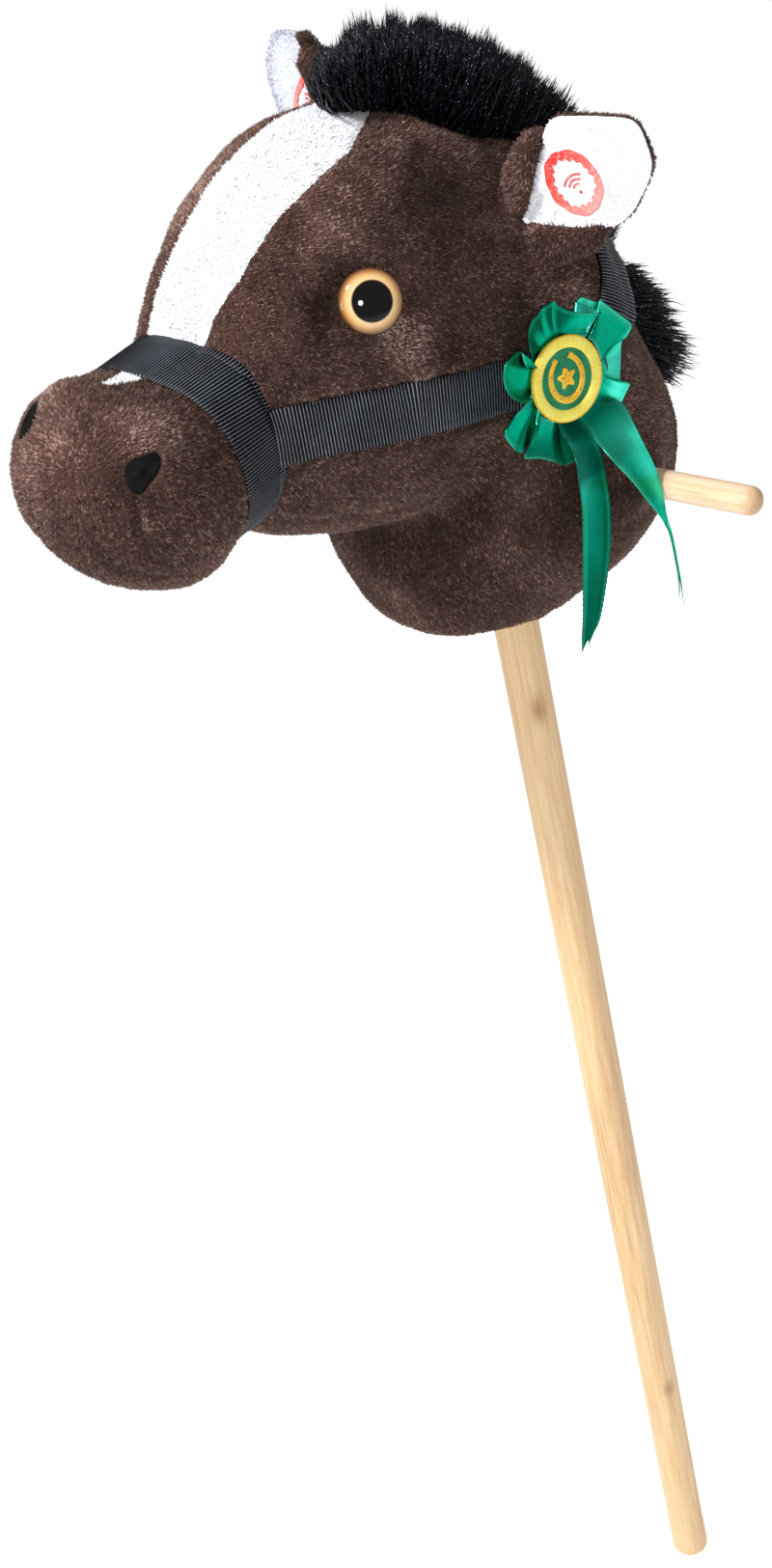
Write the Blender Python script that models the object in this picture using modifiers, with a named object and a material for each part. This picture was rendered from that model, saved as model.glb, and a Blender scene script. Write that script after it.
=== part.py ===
"""Hobby horse: plush pony head on a wooden stick, with a cross handle, webbing bridle,
satin rosette and a press-to-sound unit in each ear.

Frame: metres, +Z up along the stick, origin at the centre of the stick's flat foot.
The horse looks along -Y, and its left side (with the rosette) is +X.
"""
import bpy
import bmesh
from math import sin, cos, pi, radians, degrees, sqrt, asin, atan2, copysign
from mathutils import Vector, Matrix
from mathutils.bvhtree import BVHTree

for ob in list(bpy.data.objects):
    bpy.data.objects.remove(ob, do_unlink=True)

# ------------------------------------------------------------------ driving dimensions
STICK_R = 0.011            # 22 mm dowel
STICK_TOP = 0.925
STICK_FOOT_EDGE = 0.0045   # rounding of the foot end
HANDLE_R = 0.0065          # 13 mm dowel
HANDLE_HALF = 0.149
HANDLE_Z = 0.807
HANDLE_YAW = radians(5.5)  # the bar is not quite square to the head
PLUSH = 0.0018             # backing cloth and pile
SEAM = 0.0005              # each panel stops this far from its seam line
GAP = 0.0003               # clearance between touching pieces
STUFF_INSET = 0.0042       # outer surface to the fibre fill
WEB_W = 0.025              # bridle webbing
WEB_T = 0.0014
HEAD_ROLL = radians(6.5)   # the face is sewn on slightly turned about its nose axis
HEAD_AXIS_Z = 0.885
EYE_R = 0.0130
EYE_RISE = 0.0088
EYE_AT = Vector((0.0562, -0.0963, 0.9326))
EYE_AXIS = Vector((0.81, -0.48, 0.34)).normalized()
EYE_SEAT = 0.0027          # back of the eye in front of the cheek, which slopes under it
BUTTON_TRAVEL = 0.0015
ROSETTE_AT = Vector((0.0790, -0.0218, 0.8702))
ROSETTE_AXIS = Vector((0.97, -0.15, 0.10)).normalized()
ROSETTE_R = 0.0345
BADGE_R = 0.0185

# ------------------------------------------------------------------ collections, materials
main = bpy.data.collections.new("hobby_horse")
bpy.context.scene.collection.children.link(main)
cut_col = bpy.data.collections.new("cutters")
bpy.context.scene.collection.children.link(cut_col)


def material(name, color, rough, metal=0.0, alpha=1.0):
    m = bpy.data.materials.new(name)
    m.use_nodes = True
    b = m.node_tree.nodes["Principled BSDF"]
    b.inputs["Base Color"].default_value = (*color, 1.0)
    b.inputs["Roughness"].default_value = rough
    b.inputs["Metallic"].default_value = metal
    b.inputs["Alpha"].default_value = alpha
    m.diffuse_color = (*color, alpha)
    return m


def new_object(name, mesh, mat=None, cutter=False):
    ob = bpy.data.objects.new(name, mesh)
    (cut_col if cutter else main).objects.link(ob)
    if cutter:
        ob.hide_render = True
        ob.display_type = 'WIRE'
    elif mat is not None:
        mesh.materials.append(mat)
    return ob


WOOD = ("wood", (0.80, 0.60, 0.36), 0.45)
BROWN = ("brown_plush", (0.085, 0.045, 0.035), 0.95)
WHITE = ("white_plush", (0.86, 0.86, 0.88), 0.9)
BLACK = ("black_webbing", (0.012, 0.013, 0.016), 0.6)
FUR = ("black_fur", (0.006, 0.006, 0.008), 0.7)
GREEN = ("green_satin", (0.0, 0.30, 0.14), 0.3)
YELLOW = ("yellow_thread", (0.82, 0.60, 0.06), 0.6)
PLASTIC = ("white_plastic", (0.80, 0.80, 0.78), 0.4)
DARKPL = ("black_plastic", (0.01, 0.01, 0.012), 0.2)


def mat_of(spec, name):
    return material(name + "_" + spec[0], spec[1], spec[2])


# ------------------------------------------------------------------ helpers
def hermite(table, t):
    """Smooth curve through the rows of a station table; column 0 is the station."""
    n = len(table)
    k = len(table[0])

    def slope(i):
        if i == 0:
            a, b = table[0], table[1]
            return [(b[c] - a[c]) / (b[0] - a[0]) for c in range(k)]
        if i == n - 1:
            a, b = table[-2], table[-1]
            return [(b[c] - a[c]) / (b[0] - a[0]) for c in range(k)]
        p, q, r = table[i - 1], table[i], table[i + 1]
        w = (q[0] - p[0]) / (r[0] - p[0])
        return [(q[c] - p[c]) / (q[0] - p[0]) * (1 - w) + (r[c] - q[c]) / (r[0] - q[0]) * w for c in range(k)]
    t = min(max(t, table[0][0]), table[-1][0])
    i = 0
    while i < n - 2 and t > table[i + 1][0]:
        i += 1
    h = table[i + 1][0] - table[i][0]
    u = (t - table[i][0]) / h
    m0, m1 = slope(i), slope(i + 1)
    a, b = table[i], table[i + 1]
    return [(2 * u ** 3 - 3 * u ** 2 + 1) * a[c] + (u ** 3 - 2 * u ** 2 + u) * h * m0[c]
            + (-2 * u ** 3 + 3 * u ** 2) * b[c] + (u ** 3 - u ** 2) * h * m1[c] for c in range(k)]


def linear(table, t):
    t = min(max(t, table[0][0]), table[-1][0])
    for a, b in zip(table, table[1:]):
        if t <= b[0]:
            u = (t - a[0]) / (b[0] - a[0])
            return [a[c] + (b[c] - a[c]) * u for c in range(len(a))]
    return list(table[-1])


def sup(c, e):
    return copysign(abs(c) ** (2.0 / e), c)


def spread(a, b, n):
    return [a + (b - a) * i / (n - 1) for i in range(n)]


def mirror_head(p, vector=False):
    """The other side of the face: across the head's own middle plane, which leans by HEAD_ROLL."""
    c = Vector((0, 0, 0 if vector else HEAD_AXIS_Z))
    q = p - c
    x, z = q.x * cos(HEAD_ROLL) - q.z * sin(HEAD_ROLL), q.x * sin(HEAD_ROLL) + q.z * cos(HEAD_ROLL)
    x = -x
    return Vector((x * cos(HEAD_ROLL) + z * sin(HEAD_ROLL), q.y, -x * sin(HEAD_ROLL) + z * cos(HEAD_ROLL))) + c


def mesh_from(name, verts, faces):
    me = bpy.data.meshes.new(name)
    me.from_pydata([tuple(v) for v in verts], [], faces)
    me.update()
    return me


def outward(me):
    """Face normals of a closed mesh point out."""
    bm = bmesh.new()
    bm.from_mesh(me)
    bmesh.ops.remove_doubles(bm, verts=bm.verts, dist=0.00001)
    bmesh.ops.recalc_face_normals(bm, faces=bm.faces)
    bm.to_mesh(me)
    bm.free()
    return me


def grid_mesh(name, rows, closed=False, cap_start=False, cap_end=False):
    """A loft through rows of points. closed joins each row's end to its start."""
    m = len(rows[0])
    verts = [p for r in rows for p in r]
    faces = []
    for i in range(len(rows) - 1):
        for j in range(m if closed else m - 1):
            k = (j + 1) % m
            faces.append((i * m + j, i * m + k, (i + 1) * m + k, (i + 1) * m + j))
    if cap_start:
        faces.append(tuple(reversed(range(m))))
    if cap_end:
        faces.append(tuple(range((len(rows) - 1) * m, len(rows) * m)))
    return mesh_from(name, verts, faces)


def flip_if(me, test):
    """Flip an open surface so that its normals agree with test(point) -> outward vector."""
    s = sum(p.normal.dot(test(p.center)) * p.area for p in me.polygons)
    if s < 0:
        me.flip_normals()
    return me


def add_solidify(ob, thick, offset=-1.0):
    m = ob.modifiers.new("cloth", 'SOLIDIFY')
    m.thickness = thick
    m.offset = offset
    m.use_even_offset = False
    return m


def add_cut(ob, cutter, op='DIFFERENCE'):
    m = ob.modifiers.new("cut_" + cutter.name, 'BOOLEAN')
    m.operation = op
    m.object = cutter
    m.solver = 'EXACT'
    return m


def settle(ob):
    """Apply the modifiers, and keep the one main piece where a trim leaves crumbs."""
    dg = bpy.context.evaluated_depsgraph_get()
    dg.update()
    me = bpy.data.meshes.new_from_object(ob.evaluated_get(dg))
    bm = bmesh.new()
    bm.from_mesh(me)
    bmesh.ops.remove_doubles(bm, verts=bm.verts, dist=0.00002)
    bmesh.ops.dissolve_degenerate(bm, edges=bm.edges, dist=0.00002)
    left = set(bm.verts)
    parts = []
    while left:
        seed = left.pop()
        stack, part = [seed], [seed]
        while stack:
            v = stack.pop()
            for e in v.link_edges:
                o = e.other_vert(v)
                if o in left:
                    left.discard(o)
                    stack.append(o)
                    part.append(o)
        parts.append(part)
    parts.sort(key=len, reverse=True)
    for part in parts[1:]:
        bmesh.ops.delete(bm, geom=part, context='VERTS')
    bm.to_mesh(me)
    bm.free()
    ob.modifiers.clear()
    old = ob.data
    mats = [m for m in old.materials]
    ob.data = me
    me.materials.clear()
    for m in mats:
        me.materials.append(m)
    return ob


def smooth(ob, angle=40):
    ob.data.shade_smooth()
    ob.data.set_sharp_from_angle(angle=radians(angle))
    return ob


def turned(name, profile, steps, spec=None, matrix=None, cutter=False):
    """A closed turned solid. The profile (radius, height) runs down its outer side."""
    me = bpy.data.meshes.new(name)
    n = len(profile)
    on_axis = abs(profile[0][0]) < 1e-9 and abs(profile[-1][0]) < 1e-9
    edges = [(i, i + 1) for i in range(n - 1)]
    if not on_axis:
        edges.append((n - 1, 0))
    me.from_pydata([(r, 0, z) for r, z in profile], edges, [])
    ob = new_object(name, me, mat_of(spec, name) if spec else None, cutter)
    s = ob.modifiers.new("turn", 'SCREW')
    s.steps = steps
    s.render_steps = steps
    s.angle = 2 * pi
    s.axis = 'Z'
    s.use_merge_vertices = True
    s.merge_threshold = 0.00001
    s.use_normal_calculate = False
    if matrix is not None:
        ob.matrix_world = matrix
    return ob


def axis_matrix(at, axis, up=Vector((0, 0, 1))):
    z = axis.normalized()
    x = up.cross(z)
    if x.length < 1e-6:
        x = Vector((1, 0, 0))
    x.normalize()
    y = z.cross(x)
    m = Matrix((x, y, z)).transposed().to_4x4()
    m.translation = at
    return m


def rod_cutter(name, at, axis, r, lo, hi, steps=24):
    return turned(name, [(0, hi), (r, hi), (r, lo), (0, lo)], steps, None, axis_matrix(at, axis), True)


# ------------------------------------------------------------------ the two lofted forms
# head: station, y, z, half width, half height up, half height down, lean (degrees)
HEAD = [
    (0.00, -0.2330, 0.8905, 0.0005, 0.0005, 0.0005, 0),
    (0.03, -0.2295, 0.8905, 0.0190, 0.0150, 0.0165, 0),
    (0.08, -0.2180, 0.8905, 0.0385, 0.0300, 0.0335, 0),
    (0.15, -0.1990, 0.8900, 0.0520, 0.0405, 0.0455, 0),
    (0.22, -0.1815, 0.8880, 0.0515, 0.0410, 0.0475, 5),
    (0.30, -0.1640, 0.8895, 0.0470, 0.0400, 0.0440, 10),
    (0.36, -0.1550, 0.8950, 0.0445, 0.0435, 0.0400, 12),
    (0.45, -0.1480, 0.8990, 0.0435, 0.0565, 0.0470, 12),
    (0.56, -0.1205, 0.8995, 0.0520, 0.0805, 0.0685, 8),
    (0.68, -0.0665, 0.8965, 0.0710, 0.0940, 0.0860, 4),
    (0.78, -0.0205, 0.8935, 0.0735, 0.0855, 0.0835, 0),
    (0.88, 0.0190, 0.8845, 0.0655, 0.0665, 0.0720, 0),
    (0.95, 0.0390, 0.8740, 0.0470, 0.0420, 0.0460, 0),
    (1.00, 0.0480, 0.8690, 0.0005, 0.0005, 0.0005, 0),
]
# neck: z, y of centre, half length, half width
NECK = [
    (0.7235, 0.0000, 0.0125, 0.0125),
    (0.7275, 0.0035, 0.0275, 0.0250),
    (0.7415, 0.0015, 0.0600, 0.0460),
    (0.7695, 0.0025, 0.0785, 0.0735),
    (0.8095, 0.0060, 0.0775, 0.0880),
    (0.8495, 0.0030, 0.0665, 0.0860),
    (0.8895, -0.0010, 0.0560, 0.0755),
    (0.9195, 0.0000, 0.0430, 0.0550),
    (0.9345, 0.0020, 0.0240, 0.0320),
    (0.9400, 0.0040, 0.0005, 0.0005),
]


def head_point(t, a):
    _, y, z, w, up, dn, lean = hermite(HEAD, t)
    h = (up if cos(a) > 0 else dn) * sup(cos(a), 2.15)
    l = radians(lean)
    return Vector((w * sup(sin(a), 2.15), y + h * sin(l), z + h * cos(l)))


def neck_point(z, a):
    _, y, ln, wd = hermite(NECK, z)
    return Vector((wd * sup(sin(a), 2.1), y - ln * sup(cos(a), 2.1), z))


def head_centre(p):
    best = min((hermite(HEAD, t) for t in spread(0.03, 0.97, 48)), key=lambda r: abs(r[1] - p.y))
    return Vector((0, best[1], best[2]))


def neck_centre(p):
    return Vector((0, hermite(NECK, p.z)[1], p.z))


def lobe(name, point, lo, hi, nr, nc, grow=0.0):
    rows = [[point(t, 2 * pi * j / nc) for j in range(nc)] for t in spread(lo, hi, nr)]
    me = outward(grid_mesh(name, rows, True, True, True))
    if grow:
        ns = [v.normal.copy() for v in me.vertices]
        for v, n in zip(me.vertices, ns):
            v.co += n * grow
    return me


head_fine = lobe("head_fine", head_point, 0.0, 1.0, 34, 48)
neck_fine = lobe("neck_fine", neck_point, 0.7235, 0.94, 26, 48)


def tree_of(*meshes):
    vs, fs = [], []
    for me in meshes:
        o = len(vs)
        vs += [v.co.copy() for v in me.vertices]
        fs += [tuple(o + i for i in p.vertices) for p in me.polygons]
    return BVHTree.FromPolygons(vs, fs)


skin = tree_of(head_fine, neck_fine)


def probe(centre, direction):
    """Outermost point of the head and neck along a ray from centre."""
    d = direction.normalized()
    hit = skin.ray_cast(centre + d * 0.4, -d)
    return hit[0] if hit[0] is not None else centre.copy()


def lifted(centre, direction, lift):
    """Distance from centre to the surface along a ray, plus a clearance measured square to the surface."""
    d = direction.normalized()
    hit = skin.ray_cast(centre + d * 0.4, -d)
    if hit[0] is None:
        return lift
    return (hit[0] - centre).length + lift / max(0.35, abs(d.dot(hit[1])))


head_cutter = new_object("head_cutter", lobe("head_cutter", head_point, 0.0, 1.0, 34, 48, GAP + 0.0005), None, True)
neck_cutter = new_object("neck_cutter", lobe("neck_cutter", neck_point, 0.7235, 0.94, 26, 48, -(PLUSH + GAP)), None, True)

# ------------------------------------------------------------------ stick and handle bar
f = STICK_FOOT_EDGE
arc = [(STICK_R - f + f * sin(a), f - f * cos(a)) for a in spread(pi / 2, 0, 5)]
stick = turned("stick", [(0, STICK_TOP), (STICK_R - 0.001, STICK_TOP), (STICK_R, STICK_TOP - 0.001), (STICK_R, 0.70), (STICK_R, 0.35)]
               + arc + [(0, 0)], 24, WOOD)
HANDLE_DIR = Vector((cos(HANDLE_YAW), sin(HANDLE_YAW), 0))
HANDLE_AT = Vector((0, 0, HANDLE_Z))
end = [(HANDLE_R * sin(a), HANDLE_HALF - HANDLE_R + HANDLE_R * cos(a)) for a in spread(0, pi / 2, 6)]
handle = turned("handle_bar", end + [(HANDLE_R, 0.05), (HANDLE_R, -0.05)] + [(r, -z) for r, z in reversed(end)],
                20, WOOD, axis_matrix(HANDLE_AT, HANDLE_DIR))
add_cut(stick, rod_cutter("handle_bore_stick", HANDLE_AT, HANDLE_DIR, HANDLE_R + GAP, -0.03, 0.03, 20))
neck_handle_cut = rod_cutter("handle_bore_neck", HANDLE_AT, HANDLE_DIR, HANDLE_R + 0.0006, -0.12, 0.12, 20)
settle(stick)
smooth(stick)
smooth(handle)

# ------------------------------------------------------------------ plush panels of the head
T_NOSE = 0.33      # seam under the noseband
T_POLL = 0.745     # where the white stripe ends under the mane
# white stripe: station, edge towards the left cheek, edge towards the right cheek (degrees from the top)
STRIPE = [(0.33, 18, -25), (0.38, 19, -31), (0.43, 26, -27), (0.48, 31, -18), (0.53, 32, -11),
          (0.60, 30, -8), (0.66, 26, -8), (0.715, 15, -5), (0.745, 7, 2)]
# chin strip: station, half angle about the bottom
CHIN = [(0.33, 48), (0.45, 48), (0.56, 45), (0.62, 34), (0.68, 14), (0.70, 4)]


def seam_deg(t):
    """Half a seam gap as an angle at this station."""
    w = hermite(HEAD, t)[3]
    return SEAM / max(w, 0.02) * 180 / pi


def panel(name, rows, spec, centre_of, thick=PLUSH):
    me = grid_mesh(name, rows)
    flip_if(me, lambda p: p - centre_of(p))
    ob = new_object(name, me, mat_of(spec, name))
    add_solidify(ob, thick)
    return ob


def patch_rows(ts, lo, hi, cols):
    out = []
    for t in ts:
        a0, a1 = radians(lo(t)), radians(hi(t))
        out.append([head_point(t, a) for a in spread(a0, a1, cols)])
    return out


t0 = T_NOSE + 0.0025
ts_stripe = spread(t0, T_POLL, 12)
ts_face = ts_stripe + spread(T_POLL, 0.985, 8)[1:]
ts_chin = [t for t in ts_face if t < 0.70]

# nose cap: from its pole back to the seam under the noseband
nose_ts = [0.012, 0.03, 0.055, 0.085, 0.12, 0.16, 0.205, 0.25, 0.29, T_NOSE - 0.0025]
nc = 24
ring_rows = [[head_point(t, 2 * pi * j / nc) for j in range(nc)] for t in nose_ts]
me = grid_mesh("muzzle_panel", ring_rows, True, True, False)
flip_if(me, lambda p: p - head_centre(p))
muzzle = new_object("muzzle_panel", me, mat_of(BROWN, "muzzle_panel"))
add_solidify(muzzle, PLUSH)
settle(muzzle)
smooth(muzzle)

stripe = panel("forehead_blaze_panel",
               patch_rows(ts_stripe, lambda t: linear(STRIPE, t)[2] + seam_deg(t), lambda t: linear(STRIPE, t)[1] - seam_deg(t), 4),
               WHITE, head_centre)
settle(stripe)
smooth(stripe)


def crest_left(t):
    return linear(STRIPE, t)[1] if t <= T_POLL else 4.5


def crest_right(t):
    return linear(STRIPE, t)[2] if t <= T_POLL else 4.5


def chin_half(t):
    return linear(CHIN, t)[1] if t <= 0.70 else 0.0


face_left = panel("face_panel_left",
                  patch_rows(ts_face, lambda t: crest_left(t) + seam_deg(t), lambda t: 180 - chin_half(t) - seam_deg(t), 14),
                  BROWN, head_centre)
face_right = panel("face_panel_right",
                   patch_rows(ts_face, lambda t: crest_right(t) - seam_deg(t), lambda t: -180 + chin_half(t) + seam_deg(t), 14),
                   BROWN, head_centre)
chin = panel("chin_gusset",
             patch_rows(ts_chin, lambda t: 180 - chin_half(t) + seam_deg(t), lambda t: 180 + chin_half(t) - seam_deg(t), 7),
             BROWN, head_centre)

# eye shank holes through the cheeks
# the far eye sits a little lower and further back than a mirror would put it
EYES = {"left": (EYE_AT, EYE_AXIS), "right": (mirror_head(EYE_AT) + Vector((0.0, 0.0070, -0.0110)), mirror_head(EYE_AXIS, True))}
SHANK_R = 0.0022
for side, ob in (("left", face_left), ("right", face_right)):
    at, ax = EYES[side]
    hit = probe(at - ax * 0.03, ax)
    EYES[side] = (hit, ax)
    add_cut(ob, rod_cutter("eye_hole_" + side, hit, ax, SHANK_R + GAP, -0.012, 0.008, 12))
for ob in (face_left, face_right, chin):
    add_cut(ob, neck_cutter)
    settle(ob)
    smooth(ob)

# ------------------------------------------------------------------ neck panels and base
Z_BASE = 0.7400
zs = spread(Z_BASE + 0.0006, 0.9380, 13)


def neck_rows(lo, hi, cols):
    return [[neck_point(z, a) for a in spread(radians(lo), radians(hi), cols)] for z in zs]


NE = 0.45
neck_left = panel("neck_panel_left", neck_rows(NE, 180 - NE, 14), BROWN, neck_centre)
neck_right = panel("neck_panel_right", neck_rows(-NE, -180 + NE, 14), BROWN, neck_centre)
for ob in (neck_left, neck_right):
    add_cut(ob, neck_handle_cut)
    add_cut(ob, head_cutter)
    settle(ob)
    smooth(ob)

# base: outer bowl down to the stick, then a sleeve turned up inside around the stick
nb = 20
SLEEVE_R = STICK_R + 0.0005
base_rows = []
for z in (Z_BASE - 0.0006, 0.7340, 0.7290, 0.7262):
    base_rows.append([neck_point(z, 2 * pi * j / nb) for j in range(nb)])
for r, z in ((0.0160, 0.7246), (0.0130, 0.7246), (SLEEVE_R, 0.7262), (SLEEVE_R, 0.7350), (SLEEVE_R, 0.7460)):
    base_rows.append([Vector((r * sin(2 * pi * j / nb), -r * cos(2 * pi * j / nb), z)) for j in range(nb)])
me = grid_mesh("neck_base_panel", base_rows, True)
flip_if(me, lambda p: Vector((p.x, p.y, -0.02)) if p.xy.length > 0.014 else Vector((0, 0, -1)))
base = new_object("neck_base_panel", me, mat_of(BROWN, "neck_base_panel"))
add_solidify(base, PLUSH)
settle(base)
smooth(base)

# nylon tie that draws the sleeve onto the stick: a band with its ratchet block
TIE_IN = SLEEVE_R + PLUSH + 0.0003
tie = turned("neck_tie", [(TIE_IN + 0.0012, 0.7425), (TIE_IN + 0.0012, 0.7385), (TIE_IN, 0.7385), (TIE_IN, 0.7425)], 18, PLASTIC)
settle(tie)
blk = bpy.data.meshes.new("tie_block")
bm = bmesh.new()
bmesh.ops.create_cube(bm, size=1.0, matrix=Matrix.Translation((0, TIE_IN + 0.0024, 0.7405)) @ Matrix.Diagonal((0.0050, 0.0034, 0.0052, 1)))
bm.to_mesh(blk)
bm.free()
block = new_object("tie_block", blk, None, True)
add_cut(tie, block, 'UNION')
settle(tie)

# ------------------------------------------------------------------ fibre fill
stuff = new_object("stuffing", lobe("stuffing", head_point, 0.02, 0.985, 22, 24, -STUFF_INSET), mat_of(WHITE, "stuffing"))
fill_neck = new_object("fill_neck", lobe("fill_neck", neck_point, 0.7265, 0.936, 13, 26, -STUFF_INSET), None, True)
add_cut(stuff, fill_neck, 'UNION')
bore = turned("stick_bore", [(0, STICK_TOP + 0.003), (STICK_R + 0.0005, STICK_TOP + 0.003), (STICK_R + 0.0005, 0.752),
                             (TIE_IN + 0.0060, 0.752), (TIE_IN + 0.0060, 0.700), (0, 0.700)], 20, None, None, True)
add_cut(stuff, bore)
add_cut(stuff, rod_cutter("handle_bore_fill", HANDLE_AT, HANDLE_DIR, HANDLE_R + 0.0004, -0.12, 0.12, 16))
for side in ("left", "right"):
    at, ax = EYES[side]
    add_cut(stuff, rod_cutter("eye_pocket_" + side, at, ax, 0.0105, -0.0165, 0.010, 14))
settle(stuff)

# ------------------------------------------------------------------ eyes
for side in ("left", "right"):
    at, ax = EYES[side]
    m = axis_matrix(at, ax)
    rb = EYE_R
    lo = EYE_SEAT + 0.0030
    rise = EYE_SEAT + EYE_RISE
    prof = [(rb * sin(a), lo + (rise - lo) * cos(a)) for a in spread(0, pi / 2, 6)]
    dome = turned("eye_dome_" + side, prof + [(rb, lo - 0.0010), (0, lo - 0.0010)], 20, None, m)
    dome.data.materials.append(material("eye_dome_" + side + "_clear", (0.9, 0.6, 0.3), 0.05, 0.0, 0.4))
    smooth(dome)
    disc = turned("eye_disc_" + side, [(0, lo - 0.0013), (rb - 0.0003, lo - 0.0013), (rb - 0.0003, lo - 0.0024),
                                       (rb - 0.0030, lo - 0.0030), (SHANK_R, lo - 0.0030), (SHANK_R, -0.0130), (SHANK_R - 0.0006, -0.0138), (0, -0.0138)],
                  18, ("amber_iris", (0.75, 0.42, 0.12), 0.2), m)
    smooth(disc)
    wr = SHANK_R + GAP
    washer = turned("eye_washer_" + side, [(0.0095, -0.0062), (0.0095, -0.0072), (0.0045, -0.0072), (0.0045, -0.0086), (wr, -0.0086), (wr, -0.0062)],
                    14, PLASTIC, m)

# ------------------------------------------------------------------ nostrils: felt teardrops laid on the nose cap
NOSTRIL_AT = Vector((0.0402, -0.2083, 0.9092))
head_tree = tree_of(head_fine)


def nostril(side):
    c = NOSTRIL_AT if side == "left" else mirror_head(NOSTRIL_AT)
    hit = head_tree.find_nearest(c)
    at, n = hit[0], hit[1].normalized()
    up = Vector((0, 0, 1))
    ux = up.cross(n).normalized()       # towards the back of the head on the left side
    uy = n.cross(ux)
    sgn = 1.0 if side == "left" else -1.0
    rows = []
    rings = (0.25, 0.55, 0.80, 1.0)
    for k in rings:
        row = []
        for j in range(14):
            a = 2 * pi * j / 14
            wide = 1.0 + 0.22 * sin(a)
            lx = 0.0068 * cos(a) * wide + sgn * 0.0022 * sin(a)
            ly = 0.0088 * sin(a)
            q = at + ux * (lx * k) + uy * (ly * k)
            h = head_tree.ray_cast(q + n * 0.03, -n)
            row.append(h[0] + n * 0.0007 if h[0] is not None else q)
        rows.append(row)
    name = "nostril_patch_" + side
    me = grid_mesh(name, rows, True, True, False)
    flip_if(me, lambda p: n)
    ob = new_object(name, me, mat_of(("black_felt", (0.006, 0.006, 0.007), 0.95), name))
    add_solidify(ob, 0.0010, 1.0)
    settle(ob)
    return ob


nostril("left")
nostril("right")


# ------------------------------------------------------------------ bridle webbing
def web(name, rows, closed, test):
    me = grid_mesh(name, rows, closed)
    # rows run across the width, columns along the strap
    flip_if(me, test)
    ob = new_object(name, me, mat_of(BLACK, name))
    add_solidify(ob, WEB_T, 1.0)
    settle(ob)
    smooth(ob)
    return ob


LIFT = 0.0009
ACROSS = (-1.0, -0.5, 0.0, 0.5, 1.0)
NB_C = Vector((0, 0, 0.8895))
nn = 34


def noseband_y(a):
    """Middle of the band at this angle from the top: a little further back at the sides."""
    return -0.1635 + 0.0060 * sin(a) ** 2 + 0.0025 * (1 - cos(a)) / 2


band = [[] for _ in ACROSS]
for j in range(nn):
    a = 2 * pi * j / nn
    d = Vector((sin(a), 0, cos(a)))
    yc = noseband_y(a)
    rad = []
    for k in ACROSS:
        c = Vector((0, yc + k * WEB_W / 2, NB_C.z))
        rad.append(lifted(c, d, LIFT))
    for i, k in enumerate(ACROSS):
        u = (k + 1) / 2
        r = max(rad[i], rad[0] * (1 - u) + rad[-1] * u)
        band[i].append(Vector((0, yc + k * WEB_W / 2, NB_C.z)) + d * r)
web("noseband", band, True, lambda p: p - Vector((0, p.y, NB_C.z)))

# cheek straps: from the noseband's back edge to beside the rosette. y, z of the middle line
CHEEK = [(-0.1425, 0.8925), (-0.125, 0.8895), (-0.103, 0.8850), (-0.075, 0.8800), (-0.045, 0.8740), (-0.020, 0.8690), (-0.002, 0.8660)]


def cheek(side):
    sx = 1.0 if side == "left" else -1.0
    rows = [[] for _ in ACROSS]
    pts = []
    for y in spread(CHEEK[0][0], CHEEK[-1][0], 13):
        z = linear(CHEEK, y)[1]
        if side == "right":
            x0 = probe(Vector((0, y, z)), Vector((1, 0, 0))).x
            z = mirror_head(Vector((x0, y, z))).z
        pts.append((y, z))
    for y, z in pts:
        for i, k in enumerate(ACROSS):
            c = Vector((0, y, z + k * WEB_W / 2))
            rows[i].append(c + Vector((sx * lifted(c, Vector((sx, 0, 0)), LIFT), 0, 0)))
    web("cheek_strap_" + side, rows, False, lambda p: Vector((sx, 0, 0)))


cheek("left")
cheek("right")

# crown strap: over the head behind the ears. a is the angle from the top towards the left side
CROWN_C = Vector((0, 0, 0.880))


def crown_y(a):
    """Over the poll behind the ears, then forward under the rosette. It runs further forward on the horse's left."""
    b = abs(degrees(a))
    w = min(1.0, max(0.0, (b - 82.0) / 22.0))
    near = min(1.0, max(0.0, (b - 50.0) / 18.0)) if a > 0 else 0.0
    back = 0.0150 * near * near * (3 - 2 * near)
    return 0.0360 + 0.0050 * min(1.0, b / 60.0) - back - (0.0290 - back) * w * w * (3 - 2 * w)


crown = [[] for _ in ACROSS]
for a in spread(radians(-100), radians(103), 33):
    d = Vector((sin(a), 0, cos(a)))
    yc = crown_y(a)
    rad = []
    for k in ACROSS:
        c = Vector((0, yc + k * WEB_W / 2, CROWN_C.z))
        rad.append(lifted(c, d, LIFT + 0.0008))
    for i, k in enumerate(ACROSS):
        u = (k + 1) / 2
        r = max(rad[i], rad[0] * (1 - u) + rad[-1] * u)
        crown[i].append(Vector((0, yc + k * WEB_W / 2, CROWN_C.z)) + d * r)
web("crown_strap", crown, False, lambda p: p - Vector((0, p.y, CROWN_C.z)))

# ------------------------------------------------------------------ mane: two runs of fringe, parted by the crown strap
MANE_C = Vector((0, -0.005, 0.872))


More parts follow.
